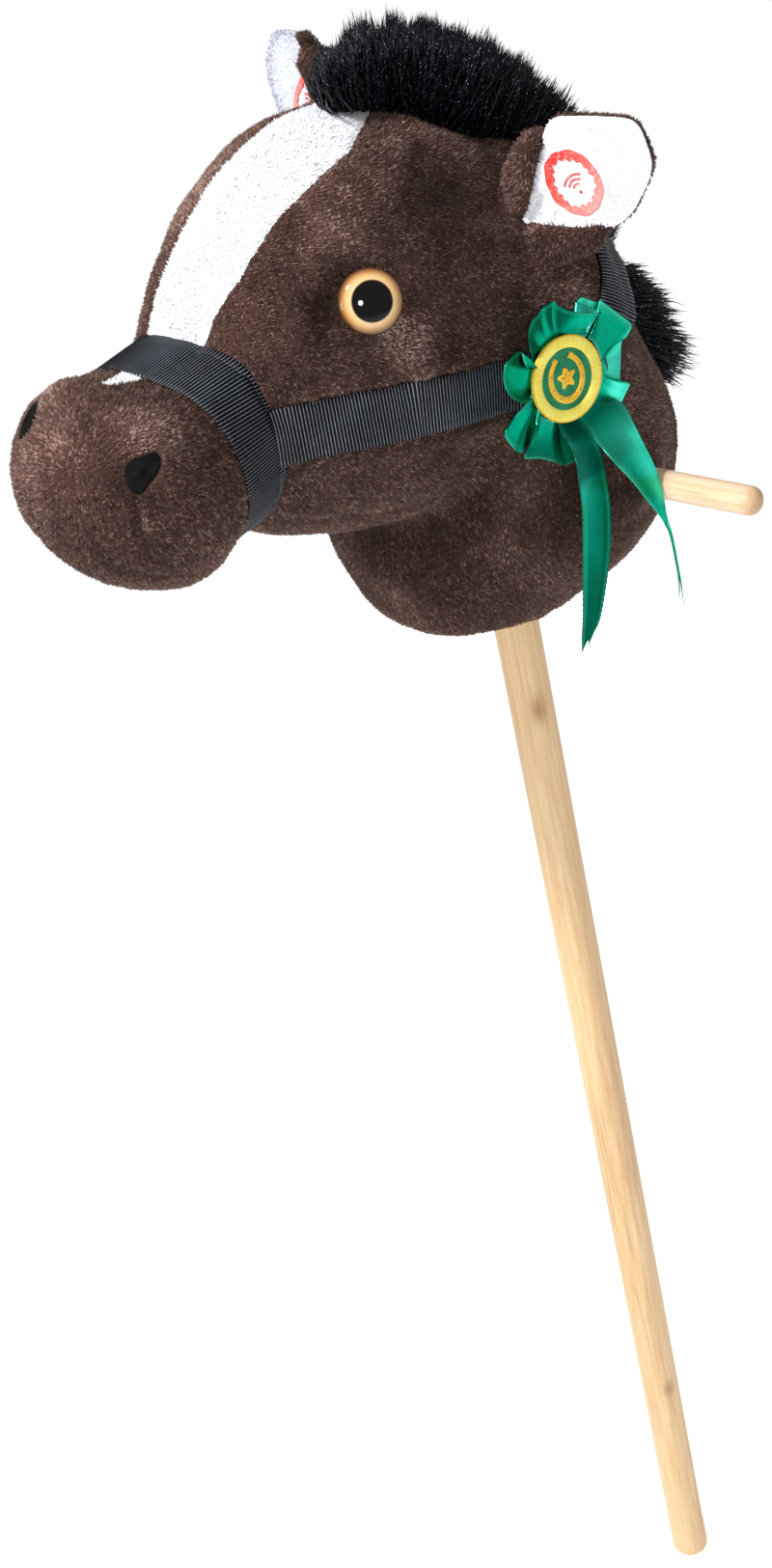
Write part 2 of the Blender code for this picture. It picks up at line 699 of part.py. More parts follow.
def mane(name, degs, half_of, tall_of):
    nx = 9
    base, top = [], []
    for dg in degs:
        a = radians(dg)
        d = Vector((0, cos(a), sin(a)))
        w = half_of(dg)
        rb, rt = [], []
        for j in range(nx):
            u = -1 + 2 * j / (nx - 1)
            c = MANE_C + Vector((u * w, 0, 0))
            p = probe(c, d)
            q = probe(c * 1.0 + Vector((0.002 * (1 if u > 0 else -1), 0, 0)), d)
            rb.append(p + d * 0.0016)
            tall = tall_of(dg) * (1 - 0.55 * abs(u) ** 2.2)
            rt.append(p + (d + Vector((u * 0.45, 0, 0))).normalized() * tall)
        base.append(rb)
        top.append(rt)
    n, m = len(degs), nx
    verts = [p for r in base for p in r] + [p for r in top for p in r]
    o = n * m
    faces = []
    for i in range(n - 1):
        for j in range(m - 1):
            q = (i * m + j, i * m + j + 1, (i + 1) * m + j + 1, (i + 1) * m + j)
            faces.append(q)
            faces.append(tuple(o + k for k in reversed(q)))
    rim = [j for j in range(m)] + [i * m + m - 1 for i in range(1, n)] + [(n - 1) * m + j for j in range(m - 2, -1, -1)] + [i * m for i in range(n - 2, 0, -1)]
    for a, b in zip(rim, rim[1:] + rim[:1]):
        faces.append((a, b, o + b, o + a))
    ob = new_object(name, outward(mesh_from(name, verts, faces)), mat_of(FUR, name))
    smooth(ob, 60)
    return ob


mane("mane_front", spread(111, 79, 7),
     lambda g: linear([(79, 0.036), (90, 0.035), (100, 0.026), (106, 0.017), (111, 0.010)], g)[1],
     lambda g: linear([(79, 0.030), (90, 0.034), (104, 0.032), (111, 0.022)], g)[1])
mane("mane_back", spread(12, -30, 8),
     lambda g: linear([(-30, 0.026), (-15, 0.036), (0, 0.037), (12, 0.030)], g)[1],
     lambda g: linear([(-30, 0.026), (-22, 0.042), (-10, 0.044), (0, 0.038), (12, 0.030)], g)[1])

# ------------------------------------------------------------------ ears, each with its voice unit
# frame of the left ear: u runs out along it, v up, n out of its white face
AZ, EL = radians(28), radians(10)
EAR_N = Vector((sin(AZ) * cos(EL), -cos(AZ) * cos(EL), sin(EL)))
EAR_U = Vector((0, 0, 1)).cross(EAR_N).normalized()
EAR_V = EAR_N.cross(EAR_U)
EAR_AT = Vector((0.0665, -0.0146, 0.9306))
FAR_SHIFT = Vector((0.0020, 0.0088, 0.0056))
FAR_TURN, FAR_TILT = radians(15.6), radians(13.2)   # the far ear stands more upright and turns further forward
# outlines in millimetres (u, v)
LINING = [(13.1, 39.6), (16.7, 42.6), (32.0, 41.5), (47.4, 39.4), (50.8, 36.0), (53.5, 26.0), (54.3, 21.2), (51.7, 14.0),
          (44.5, 3.0), (38.6, -1.5), (23.0, -2.6), (11.0, -0.6), (-2.0, 1.3), (1.4, 9.0), (7.2, 26.3)]
SHELL = [(12.0, 43.5), (17.0, 45.0), (33.0, 44.0), (48.5, 42.0), (53.5, 38.0), (56.3, 27.0), (57.0, 21.0), (54.5, 13.0),
         (46.5, 1.0), (38.3, -5.6), (25.6, -11.6), (10.0, -17.5), (-5.0, 0.0), (-9.0, 20.0), (2.0, 36.0)]
VOICE_UV = (24.5, 17.0)
CUP = 0.0172     # depth of the ear's cup
N_EAR = 28


def outline_at(poly, c, ang):
    """Where a ray from c at this angle leaves the outline, then softened by its neighbours."""
    d = (cos(ang), sin(ang))
    best = 0.0
    for (x0, y0), (x1, y1) in zip(poly, poly[1:] + poly[:1]):
        ex, ey = x1 - x0, y1 - y0
        det = d[0] * (-ey) + ex * d[1]
        if abs(det) < 1e-12:
            continue
        rx, ry = x0 - c[0], y0 - c[1]
        t = (rx * (-ey) + ex * ry) / det
        s = (d[0] * ry - d[1] * rx) / det
        if t > 0 and -1e-6 <= s <= 1 + 1e-6:
            best = max(best, t)
    return best


def radii(poly, c, n):
    raw = [outline_at(poly, c, 2 * pi * j / n) for j in range(n)]
    return [(raw[j - 1] + 2 * raw[j] + raw[(j + 1) % n]) / 4 for j in range(n)]


def ear(side):
    if side == "left":
        P, U, V, N = EAR_AT, EAR_U, EAR_V, EAR_N
    else:
        P = mirror_head(EAR_AT) + FAR_SHIFT
        U, V, N = (mirror_head(w, True) for w in (EAR_U, EAR_V, EAR_N))
        turn = Matrix.Rotation(FAR_TURN, 3, V)
        U, N = turn @ U, turn @ N
        tilt = Matrix.Rotation(FAR_TILT, 3, N)
        U, V = tilt @ U, tilt @ V

    def at(u, v, n):
        return P + U * (u * 0.001) + V * (v * 0.001) + N * n

    c = VOICE_UV
    rl = radii(LINING, c, N_EAR)
    rs = radii(SHELL, c, N_EAR)
    # shell: from the front edge over the rim, round the back
    rows = []
    lip = [max(0.0, s - l - 3.0) for s, l in zip(rs, rl)]

    def ring(rad, n):
        return [at(c[0] + r * cos(2 * pi * j / N_EAR), c[1] + r * sin(2 * pi * j / N_EAR), n[j] if isinstance(n, list) else n)
                for j, r in enumerate(rad)]
    rows.append(ring([s - k for s, k in zip(rs, lip)], [0.0012 + 0.0016 * min(1, k / 6) for k in lip]))
    rows.append(ring([s - 0.25 * k for s, k in zip(rs, lip)], -0.0012))
    rows.append(ring(rs, -0.0042))
    rows.append(ring([min(s, s * 0.93 + 0.6) for s in rs], -0.0095))
    rows.append(ring([0.78 * s + 2.0 for s in rs], -0.0140))
    rows.append(ring([0.55 * s + 1.5 for s in rs], -CUP))
    rows.append(ring([0.22 * s for s in rs], -CUP - 0.0006))
    me = grid_mesh("ear_shell_" + side, rows, True, False, True)
    flip_if(me, lambda p: (p - at(c[0], c[1], -0.004)) + N * -0.002)
    shell = new_object("ear_shell_" + side, me, mat_of(BROWN, "ear_shell_" + side))
    add_solidify(shell, 0.0015)
    add_cut(shell, head_cutter)
    settle(shell)
    smooth(shell)
    # lining: a slightly dished plate just inside the front edge
    lrow = []
    edge = [min(l - 0.3, s - 3.2) for l, s in zip(rl, rs)]
    for k, n in ((1.0, -0.0006), (0.72, -0.0010), (0.38, -0.0012)):
        lrow.append(ring([e * k for e in edge], n))
    me = grid_mesh("ear_lining_" + side, lrow, True, False, True)
    flip_if(me, lambda p: N)
    lining = new_object("ear_lining_" + side, me, mat_of(WHITE, "ear_lining_" + side))
    add_solidify(lining, 0.0011)
    add_cut(lining, head_cutter)
    settle(lining)
    smooth(lining)

    # voice unit, on an axis through the printed mark. Heights are distances in front of the ear plane
    m = axis_matrix(at(c[0], c[1], 0.0), N)
    W, T = 0.0118, 0.0010
    pre = side + "_ear_"
    turned(pre + "voice_case_front", [(0.0063, -0.0038), (W + T, -0.0038), (W + T, -0.0082), (W, -0.0082), (W, -0.0048), (0.0063, -0.0048)], 16, PLASTIC, m)
    turned(pre + "voice_case_back", [(W + T, -0.0085), (W + T, -0.0144), (0, -0.0144), (0, -0.0135), (W, -0.0135), (W, -0.0085)], 16, PLASTIC, m)
    button = turned(pre + "button", [(0, -0.0027), (0.0052, -0.0027), (0.0060, -0.0035), (0.0060, -0.0051), (0.0075, -0.0051), (0.0075, -0.0058),
                                     (0.0050, -0.0058), (0.0050, -0.0037), (0, -0.0037)], 16, ("red_plastic", (0.7, 0.05, 0.04), 0.35), m)
    turned(pre + "voice_board", [(0, -0.0080), (0.0114, -0.0080), (0.0114, -0.0088), (0, -0.0088)], 16, ("green_board", (0.02, 0.22, 0.08), 0.4), m)
    turned(pre + "voice_speaker", [(0, -0.0129), (0.0105, -0.0129), (0.0105, -0.0132), (0, -0.0132)], 16, ("brass_disc", (0.78, 0.60, 0.25), 0.3), m)
    for k, tag in enumerate("abc"):
        a = 2 * pi * k / 3 + 0.3
        cm = m @ Matrix.Translation((0.0066 * cos(a), 0.0066 * sin(a), 0))
        turned(pre + "voice_cell_" + tag, [(0, -0.0091), (0.0030, -0.0091), (0.0030, -0.0094), (0.0039, -0.0094), (0.0039, -0.0126), (0, -0.0126)],
               12, ("steel", (0.7, 0.7, 0.72), 0.25), cm)
    # spring
    cu = bpy.data.curves.new(pre + "voice_spring", 'CURVE')
    cu.dimensions = '3D'
    cu.bevel_depth = 0.00022
    cu.bevel_resolution = 1
    cu.use_fill_caps = True
    sp = cu.splines.new('POLY')
    turns, per = 3.0, 10
    n = int(turns * per) + 1
    sp.points.add(n - 1)
    for i in range(n):
        a = 2 * pi * i / per
        sp.points[i].co = (0.0042 * cos(a), 0.0042 * sin(a), -0.00405 - 0.0036 * i / (n - 1), 1)
    so = bpy.data.objects.new(pre + "voice_spring_wire", cu)
    cut_col.objects.link(so)
    so.matrix_world = m
    dg = bpy.context.evaluated_depsgraph_get()
    dg.update()
    sm = bpy.data.meshes.new_from_object(so.evaluated_get(dg))
    sm.name = pre + "voice_spring"
    wm = so.matrix_world.copy()
    bpy.data.objects.remove(so)
    outward(sm)
    spring = new_object(pre + "voice_spring", sm, mat_of(("steel", (0.7, 0.7, 0.72), 0.25), pre + "voice_spring"))
    spring.matrix_world = wm
    return button


ear("left")
ear("right")

# ------------------------------------------------------------------ rosette
RU = Vector((0, 0, 1)).cross(ROSETTE_AXIS).normalized()
RV = ROSETTE_AXIS.cross(RU)


def ros(u, v, n):
    return ROSETTE_AT + RU * u + RV * v + ROSETTE_AXIS * n


outer = tree_of(*[bpy.data.objects[k].data for k in ("cheek_strap_left", "crown_strap", "neck_panel_left", "face_panel_left")])


def height(u, v):
    """How far the bridle or cheek stands in front of the rosette plane here."""
    h = outer.ray_cast(ros(u, v, 0.06), -ROSETTE_AXIS)
    return (h[0] - ros(u, v, 0)).dot(ROSETTE_AXIS) if h[0] is not None else -0.02


deck = max(height(0.016 * cos(a), 0.016 * sin(a)) for a in spread(0, 2 * pi, 25))
deck = max(deck, height(0, 0)) + GAP
turned("rosette_backing", [(0, deck + 0.0010), (0.0150, deck + 0.0010), (0.0150, deck), (0, deck)], 24, BLACK, axis_matrix(ROSETTE_AT, ROSETTE_AXIS))

# pleated ribbon ring, gathered at its inner edge
PLEATS = 14
np_ = PLEATS * 4
rows = []
prev = None
for k, r in enumerate((0.0110, 0.0212, ROSETTE_R)):
    row = []
    amp = (0.0004, 0.0014, 0.0030)[k]
    for j in range(np_):
        a = 2 * pi * j / np_
        rr = r * (1 + 0.03 * sin(3 * a + 1.0)) if k == 2 else r
        u, v = rr * cos(a), rr * sin(a)
        h = max(height(u, v), height(u * 1.04, v * 1.04), height(u * cos(0.08) - v * sin(0.08), v * cos(0.08) + u * sin(0.08)))
        flat = deck + 0.0022 + (0.0006 * k)
        n = max(flat, h + 0.0012 + amp) + amp * sin(PLEATS * a)
        row.append(ros(u, v, n))
    rows.append(row)
me = grid_mesh("rosette_petals", rows, True)
flip_if(me, lambda p: ROSETTE_AXIS)
petals = new_object("rosette_petals", me, mat_of(GREEN, "rosette_petals"))
add_solidify(petals, 0.0005, 1.0)
settle(petals)

top = max((p.co - ROSETTE_AT).dot(ROSETTE_AXIS) for p in petals.data.vertices
          if ((p.co - ROSETTE_AT) - ROSETTE_AXIS * (p.co - ROSETTE_AT).dot(ROSETTE_AXIS)).length < 0.0215)
b0 = top + 0.0004
badge = turned("rosette_badge", [(0, b0 + 0.0021), (0.0125, b0 + 0.0021), (0.0135, b0 + 0.0026), (BADGE_R - 0.0012, b0 + 0.0026),
                                 (BADGE_R, b0 + 0.0018), (BADGE_R, b0), (0, b0)], 24, YELLOW, axis_matrix(ROSETTE_AT, ROSETTE_AXIS))
smooth(badge)

# ribbon tails: out from under the badge over the pleats, then down past the neck.
# middle line (x, y, z) and half-width vector at each station
pleats = tree_of(petals.data)


def over_pleats(u, v, reach=0.009):
    """A height that clears the pleats around this place."""
    best = 0.0
    for du in spread(-reach, reach, 9):
        for dv in spread(-reach, reach, 9):
            h = pleats.ray_cast(ros(u + du, v + dv, 0.06), -ROSETTE_AXIS)
            if h[0] is not None:
                best = max(best, (h[0] - ros(u + du, v + dv, 0)).dot(ROSETTE_AXIS))
    return best + 0.0009


def start(u, v, wu, wv):
    n = max(over_pleats(u, v), over_pleats(u, v - 0.006))
    c = ros(u, v, n)
    return (tuple(c), tuple(RU * wu + RV * wv))


TAILS = {
    "rosette_tail_front": [start(-0.0020, -0.0200, 0.0088, 0.0010), start(-0.0025, -0.0280, 0.0090, 0.0), start(-0.0035, -0.0390, 0.0092, -0.0012),
                           ((0.0985, -0.0315, 0.8160), (0, 0.0094, -0.0025)),
                           ((0.0985, -0.0360, 0.7950), (0, 0.0094, -0.0040)),
                           ((0.0975, -0.0425, 0.7760), (0, 0.0082, -0.0038)),
                           ((0.0970, -0.0490, 0.7590), (0, 0.0035, -0.0010))],
    "rosette_tail_rear": [start(0.0155, -0.0160, 0.0075, 0.0050), start(0.0180, -0.0260, 0.0078, 0.0040), start(0.0175, -0.0400, 0.0072, 0.0025),
                          ((0.1035, -0.0060, 0.8130), (0.0010, 0.0068, 0.0010)),
                          ((0.1055, -0.0045, 0.8010), (0.0030, 0.0040, 0.0)),
                          ((0.1060, 0.0020, 0.7870), (0.0062, 0.0018, 0.0)),
                          ((0.1060, 0.0055, 0.7720), (0.0066, 0.0006, 0.0)),
                          ((0.1060, 0.0055, 0.7530), (0.0040, 0.0004, 0.0))],
}
for name, stations in TAILS.items():
    rows = [[], [], []]
    for (x, y, z), w in stations:
        c, w = Vector((x, y, z)), Vector(w)
        for i, k in enumerate((-1, 0, 1)):
            rows[i].append(c + w * k)
    me = grid_mesh(name, rows)
    flip_if(me, lambda p: Vector((1, 0, 0)))
    ob = new_object(name, me, mat_of(GREEN, name))
    add_solidify(ob, 0.0005, 1.0)
    settle(ob)
    smooth(ob)
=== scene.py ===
"""Looks of the plush hobby horse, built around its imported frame. Metres, +Z up, foot of the stick at the origin."""
import bpy
import bmesh
import numpy as np
from math import sin, cos, tan, pi, radians, degrees, sqrt, atan2, copysign, floor, exp
from mathutils import Vector, Matrix
from mathutils.bvhtree import BVHTree


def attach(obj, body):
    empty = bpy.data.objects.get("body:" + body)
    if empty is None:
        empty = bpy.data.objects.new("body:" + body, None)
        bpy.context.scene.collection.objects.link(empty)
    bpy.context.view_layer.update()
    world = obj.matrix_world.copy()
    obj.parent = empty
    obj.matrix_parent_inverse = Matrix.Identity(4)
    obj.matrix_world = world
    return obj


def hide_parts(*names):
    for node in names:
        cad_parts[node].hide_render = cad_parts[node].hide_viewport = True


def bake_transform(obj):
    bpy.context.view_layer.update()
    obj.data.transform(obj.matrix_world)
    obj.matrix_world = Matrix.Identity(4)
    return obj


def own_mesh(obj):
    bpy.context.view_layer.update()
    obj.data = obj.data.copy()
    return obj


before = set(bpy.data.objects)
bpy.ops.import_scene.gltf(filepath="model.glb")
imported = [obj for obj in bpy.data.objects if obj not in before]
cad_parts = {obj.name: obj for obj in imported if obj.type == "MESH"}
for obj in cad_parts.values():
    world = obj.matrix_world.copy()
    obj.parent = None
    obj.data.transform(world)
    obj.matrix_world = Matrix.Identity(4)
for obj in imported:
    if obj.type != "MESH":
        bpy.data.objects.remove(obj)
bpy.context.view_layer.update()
RNG = np.random.default_rng(7)
ROOT = "root"

# ------------------------------------------------------------------ camera
CAM_AT = Vector((0.71463, -0.64806, 1.28592))
CAM_R = Vector((0.69465, 0.69333, -0.1917))
CAM_U = Vector((-0.29032, 0.51404, 0.80714))
CAM_F = Vector((-0.65816, 0.50502, -0.55837))
FOCAL = 2400.0            # pixels, in the 800 x 1625 frame

cam_data = bpy.data.cameras.new("camera")
cam_data.sensor_fit = 'VERTICAL'
cam_data.sensor_height = 24.0
cam_data.lens = 24.0 * FOCAL / 1625.0
cam_data.clip_start = 0.05
cam_data.clip_end = 50.0
cam = bpy.data.objects.new("camera", cam_data)
bpy.context.scene.collection.objects.link(cam)
rot = Matrix((CAM_R, CAM_U, -CAM_F)).transposed().to_4x4()
rot.translation = CAM_AT
cam.matrix_world = rot
bpy.context.scene.camera = cam


def pixel_ray(x, y):
    return (CAM_F + CAM_R * ((x - 400.0) / FOCAL) - CAM_U * ((y - 812.5) / FOCAL)).normalized()


# ------------------------------------------------------------------ small maths
def np_hermite(table, t):
    T = np.array(table, float)
    t = np.clip(np.asarray(t, float), T[0, 0], T[-1, 0])
    d = (T[1:] - T[:-1]) / (T[1:, :1] - T[:-1, :1])
    S = np.zeros_like(T)
    S[0], S[-1] = d[0], d[-1]
    w = ((T[1:-1, 0] - T[:-2, 0]) / (T[2:, 0] - T[:-2, 0]))[:, None]
    S[1:-1] = d[:-1] * (1 - w) + d[1:] * w
    i = np.clip(np.searchsorted(T[:, 0], t, side='right') - 1, 0, len(T) - 2)
    h = T[i + 1, 0] - T[i, 0]
    u = ((t - T[i, 0]) / h)[:, None]
    h = h[:, None]
    return ((2 * u ** 3 - 3 * u ** 2 + 1) * T[i] + (u ** 3 - 2 * u ** 2 + u) * h * S[i]
            + (-2 * u ** 3 + 3 * u ** 2) * T[i + 1] + (u ** 3 - u ** 2) * h * S[i + 1])


def np_linear(table, t):
    T = np.array(table, float)
    return np.stack([np.interp(t, T[:, 0], T[:, k]) for k in range(T.shape[1])], 1)


def np_sup(c, e):
    return np.sign(c) * np.abs(c) ** (2.0 / e)


def spread(a, b, n):
    return [a + (b - a) * i / (n - 1) for i in range(n)]


def unit(v):
    n = np.linalg.norm(v, axis=-1, keepdims=True)
    return v / np.maximum(n, 1e-12)


def hash01(ix, iy, iz, seed):
    n = (ix * 73856093) ^ (iy * 19349663) ^ (iz * 83492791) ^ (seed * 265443576 + 977)
    n = (n ^ (n >> 13)) * 1274126177
    n = (n ^ (n >> 16)) & 0xffffff
    return n / float(0xffffff)


def vnoise(P, freq, seed=0):
    """Smooth value noise in [-1, 1]."""
    Q = np.asarray(P) * freq + 31.7 + seed * 5.13
    i = np.floor(Q).astype(np.int64)
    f = Q - i
    f = f * f * f * (f * (f * 6 - 15) + 10)
    out = 0
    for dx in (0, 1):
        for dy in (0, 1):
            for dz in (0, 1):
                w = (f[:, 0] if dx else 1 - f[:, 0]) * (f[:, 1] if dy else 1 - f[:, 1]) * (f[:, 2] if dz else 1 - f[:, 2])
                out = out + w * hash01(i[:, 0] + dx, i[:, 1] + dy, i[:, 2] + dz, seed)
    return out * 2 - 1


def smoothstep(a, b, x):
    u = np.clip((x - a) / (b - a), 0, 1)
    return u * u * (3 - 2 * u)


def inside(poly, q):
    out = np.zeros(len(q), bool)
    for (x0, y0), (x1, y1) in zip(poly, poly[1:] + poly[:1]):
        if y0 == y1:
            continue
        m = (y0 > q[:, 1]) != (y1 > q[:, 1])
        out ^= m & (q[:, 0] < (x1 - x0) * (q[:, 1] - y0) / (y1 - y0) + x0)
    return out


# ------------------------------------------------------------------ the form, as the frame has it
HEAD_ROLL = radians(6.5)
HEAD_AXIS_Z = 0.885
HEAD = [
    (0.00, -0.2330, 0.8905, 0.0005, 0.0005, 0.0005, 0),
    (0.03, -0.2295, 0.8905, 0.0190, 0.0150, 0.0165, 0),
    (0.08, -0.2180, 0.8905, 0.0385, 0.0300, 0.0335, 0),
    (0.15, -0.1990, 0.8900, 0.0520, 0.0405, 0.0455, 0),
    (0.22, -0.1815, 0.8880, 0.0515, 0.0410, 0.0475, 5),
    (0.30, -0.1640, 0.8895, 0.0470, 0.0400, 0.0440, 10),
    (0.36, -0.1550, 0.8950, 0.0445, 0.0435, 0.0400, 12),
    (0.45, -0.1480, 0.8990, 0.0435, 0.0565, 0.0470, 12),
    (0.56, -0.1205, 0.8995, 0.0520, 0.0805, 0.0685, 8),
    (0.68, -0.0665, 0.8965, 0.0710, 0.0940, 0.0860, 4),
    (0.78, -0.0205, 0.8935, 0.0735, 0.0855, 0.0835, 0),
    (0.88, 0.0190, 0.8845, 0.0655, 0.0665, 0.0720, 0),
    (0.95, 0.0390, 0.8740, 0.0470, 0.0420, 0.0460, 0),
    (1.00, 0.0480, 0.8690, 0.0005, 0.0005, 0.0005, 0),
]
NECK = [
    (0.7235, 0.0000, 0.0125, 0.0125),
    (0.7275, 0.0035, 0.0275, 0.0250),
    (0.7415, 0.0015, 0.0600, 0.0460),
    (0.7695, 0.0025, 0.0785, 0.0735),
    (0.8095, 0.0060, 0.0775, 0.0880),
    (0.8495, 0.0030, 0.0665, 0.0860),
    (0.8895, -0.0010, 0.0560, 0.0755),
    (0.9195, 0.0000, 0.0430, 0.0550),
    (0.9345, 0.0020, 0.0240, 0.0320),
    (0.9400, 0.0040, 0.0005, 0.0005),
]
STRIPE = [(0.33, 18, -25), (0.38, 19, -31), (0.43, 26, -27), (0.48, 31, -18), (0.53, 32, -11),
          (0.60, 30, -8), (0.66, 26, -8), (0.715, 15, -5), (0.745, 7, 2)]
CHIN = [(0.33, 48), (0.45, 48), (0.56, 45), (0.62, 34), (0.68, 14), (0.70, 4)]
T_NOSE, T_POLL = 0.33, 0.745
STICK_R, STICK_TOP = 0.011, 0.925
HANDLE_R, HANDLE_HALF, HANDLE_Z, HANDLE_YAW = 0.0065, 0.149, 0.807, radians(5.5)
HANDLE_DIR = Vector((cos(HANDLE_YAW), sin(HANDLE_YAW), 0))
WEB_W = 0.025
EYE_AT = Vector((0.0562, -0.0963, 0.9326))
EYE_AXIS = Vector((0.81, -0.48, 0.34)).normalized()
ROSETTE_AT = Vector((0.0790, -0.0218, 0.8702))
ROSETTE_AXIS = Vector((0.97, -0.15, 0.10)).normalized()
BADGE_R = 0.0185


def head_np(t, a):
    H = np_hermite(HEAD, t)
    y, z, w, up, dn, lean = (H[:, k] for k in range(1, 7))
    h = np.where(np.cos(a) > 0, up, dn) * np_sup(np.cos(a), 2.15)
    l = np.radians(lean)
    return np.stack([w * np_sup(np.sin(a), 2.15), y + h * np.sin(l), z + h * np.cos(l)], 1)


def neck_np(z, a):
    K = np_hermite(NECK, z)
    return np.stack([K[:, 3] * np_sup(np.sin(a), 2.1), K[:, 1] - K[:, 2] * np_sup(np.cos(a), 2.1), z], 1)


def mirror_np(P, vector=False):
    c = np.array([0, 0, 0 if vector else HEAD_AXIS_Z])
    q = np.asarray(P, float) - c
    cr, sr = cos(HEAD_ROLL), sin(HEAD_ROLL)
    x, z = q[..., 0] * cr - q[..., 2] * sr, q[..., 0] * sr + q[..., 2] * cr
    x = -x
    return np.stack([x * cr + z * sr, q[..., 1], -x * sr + z * cr], -1) + c


def mirror_head(p, vector=False):
    return Vector(mirror_np(np.array(p), vector))


# ------------------------------------------------------------------ mesh helpers
def make_mesh(name, V, F):
    me = bpy.data.meshes.new(name)
    V = np.ascontiguousarray(V, dtype=np.float32)
    if isinstance(F, np.ndarray):
        k = F.shape[1]
        me.vertices.add(len(V))
        me.vertices.foreach_set("co", V.ravel())
        me.loops.add(F.size)
        me.loops.foreach_set("vertex_index", np.ascontiguousarray(F, dtype=np.int32).ravel())
        me.polygons.add(len(F))
        me.polygons.foreach_set("loop_start", np.arange(0, F.size, k, dtype=np.int32))
        me.polygons.foreach_set("loop_total", np.full(len(F), k, dtype=np.int32))
        me.update(calc_edges=True)
    else:
        me.from_pydata([tuple(v) for v in V], [], [tuple(f) for f in F])
        me.update()
    return me


def new_piece(name, me, mat, body=ROOT, replaces=(), smooth=True):
    ob = bpy.data.objects.new(name, me)
    bpy.context.scene.collection.objects.link(ob)
    if smooth:
        me.shade_smooth()
    if mat is not None:
        for m in (mat if isinstance(mat, (list, tuple)) else [mat]):
            me.materials.append(m)
    if body is not None:
        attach(ob, body)
    if replaces:
        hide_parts(*replaces)
    return ob


def grid_faces(n, m, closed=False):
    """Quads of an n x m grid of points; closed joins the last column to the first."""
    i, j = np.meshgrid(np.arange(n - 1), np.arange(m if closed else m - 1), indexing='ij')
    k = (j + 1) % m
    return np.stack([i * m + j, i * m + k, (i + 1) * m + k, (i + 1) * m + j], -1).reshape(-1, 4)


def float_attr(me, name, values):
    at = me.attributes.new(name, 'FLOAT', 'POINT')
    at.data.foreach_set("value", np.ascontiguousarray(values, dtype=np.float32))


def apply_modifiers(ob):
    dg = bpy.context.evaluated_depsgraph_get()
    dg.update()
    me = bpy.data.meshes.new_from_object(ob.evaluated_get(dg))
    me.name = ob.data.name
    mats = list(ob.data.materials)
    ob.modifiers.clear()
    ob.data = me
    me.materials.clear()
    for m in mats:
        me.materials.append(m)
    return ob


def mesh_arrays(me):
    V = np.zeros(len(me.vertices) * 3, np.float32)
    me.vertices.foreach_get("co", V)
    me.calc_loop_triangles()
    T = np.zeros(len(me.loop_triangles) * 3, np.int32)
    me.loop_triangles.foreach_get("vertices", T)
    return V.reshape(-1, 3).astype(float), T.reshape(-1, 3)


def vertex_normals(V, T):
    n = np.cross(V[T[:, 1]] - V[T[:, 0]], V[T[:, 2]] - V[T[:, 0]])
    N = np.zeros_like(V)
    for k in range(3):
        np.add.at(N, T[:, k], n)
    return unit(N)


def tree_from(V, T):
    return BVHTree.FromPolygons([tuple(v) for v in V], [tuple(t) for t in T], all_triangles=True)


def tri_edges(T):
    E = np.sort(np.concatenate([T[:, [0, 1]], T[:, [1, 2]], T[:, [2, 0]]]), axis=1)
    return np.unique(E, axis=0)


def relax(V, E, rounds, amount, weight=None):
    n = len(V)
    deg = np.bincount(E.ravel(), minlength=n)[:, None]
    for _ in range(rounds):
        S = np.zeros_like(V)
        np.add.at(S, E[:, 0], V[E[:, 1]])
        np.add.at(S, E[:, 1], V[E[:, 0]])
        step = (S / np.maximum(deg, 1) - V) * amount
        if weight is not None:
            step = step * weight[:, None]
        V = V + step
    return V


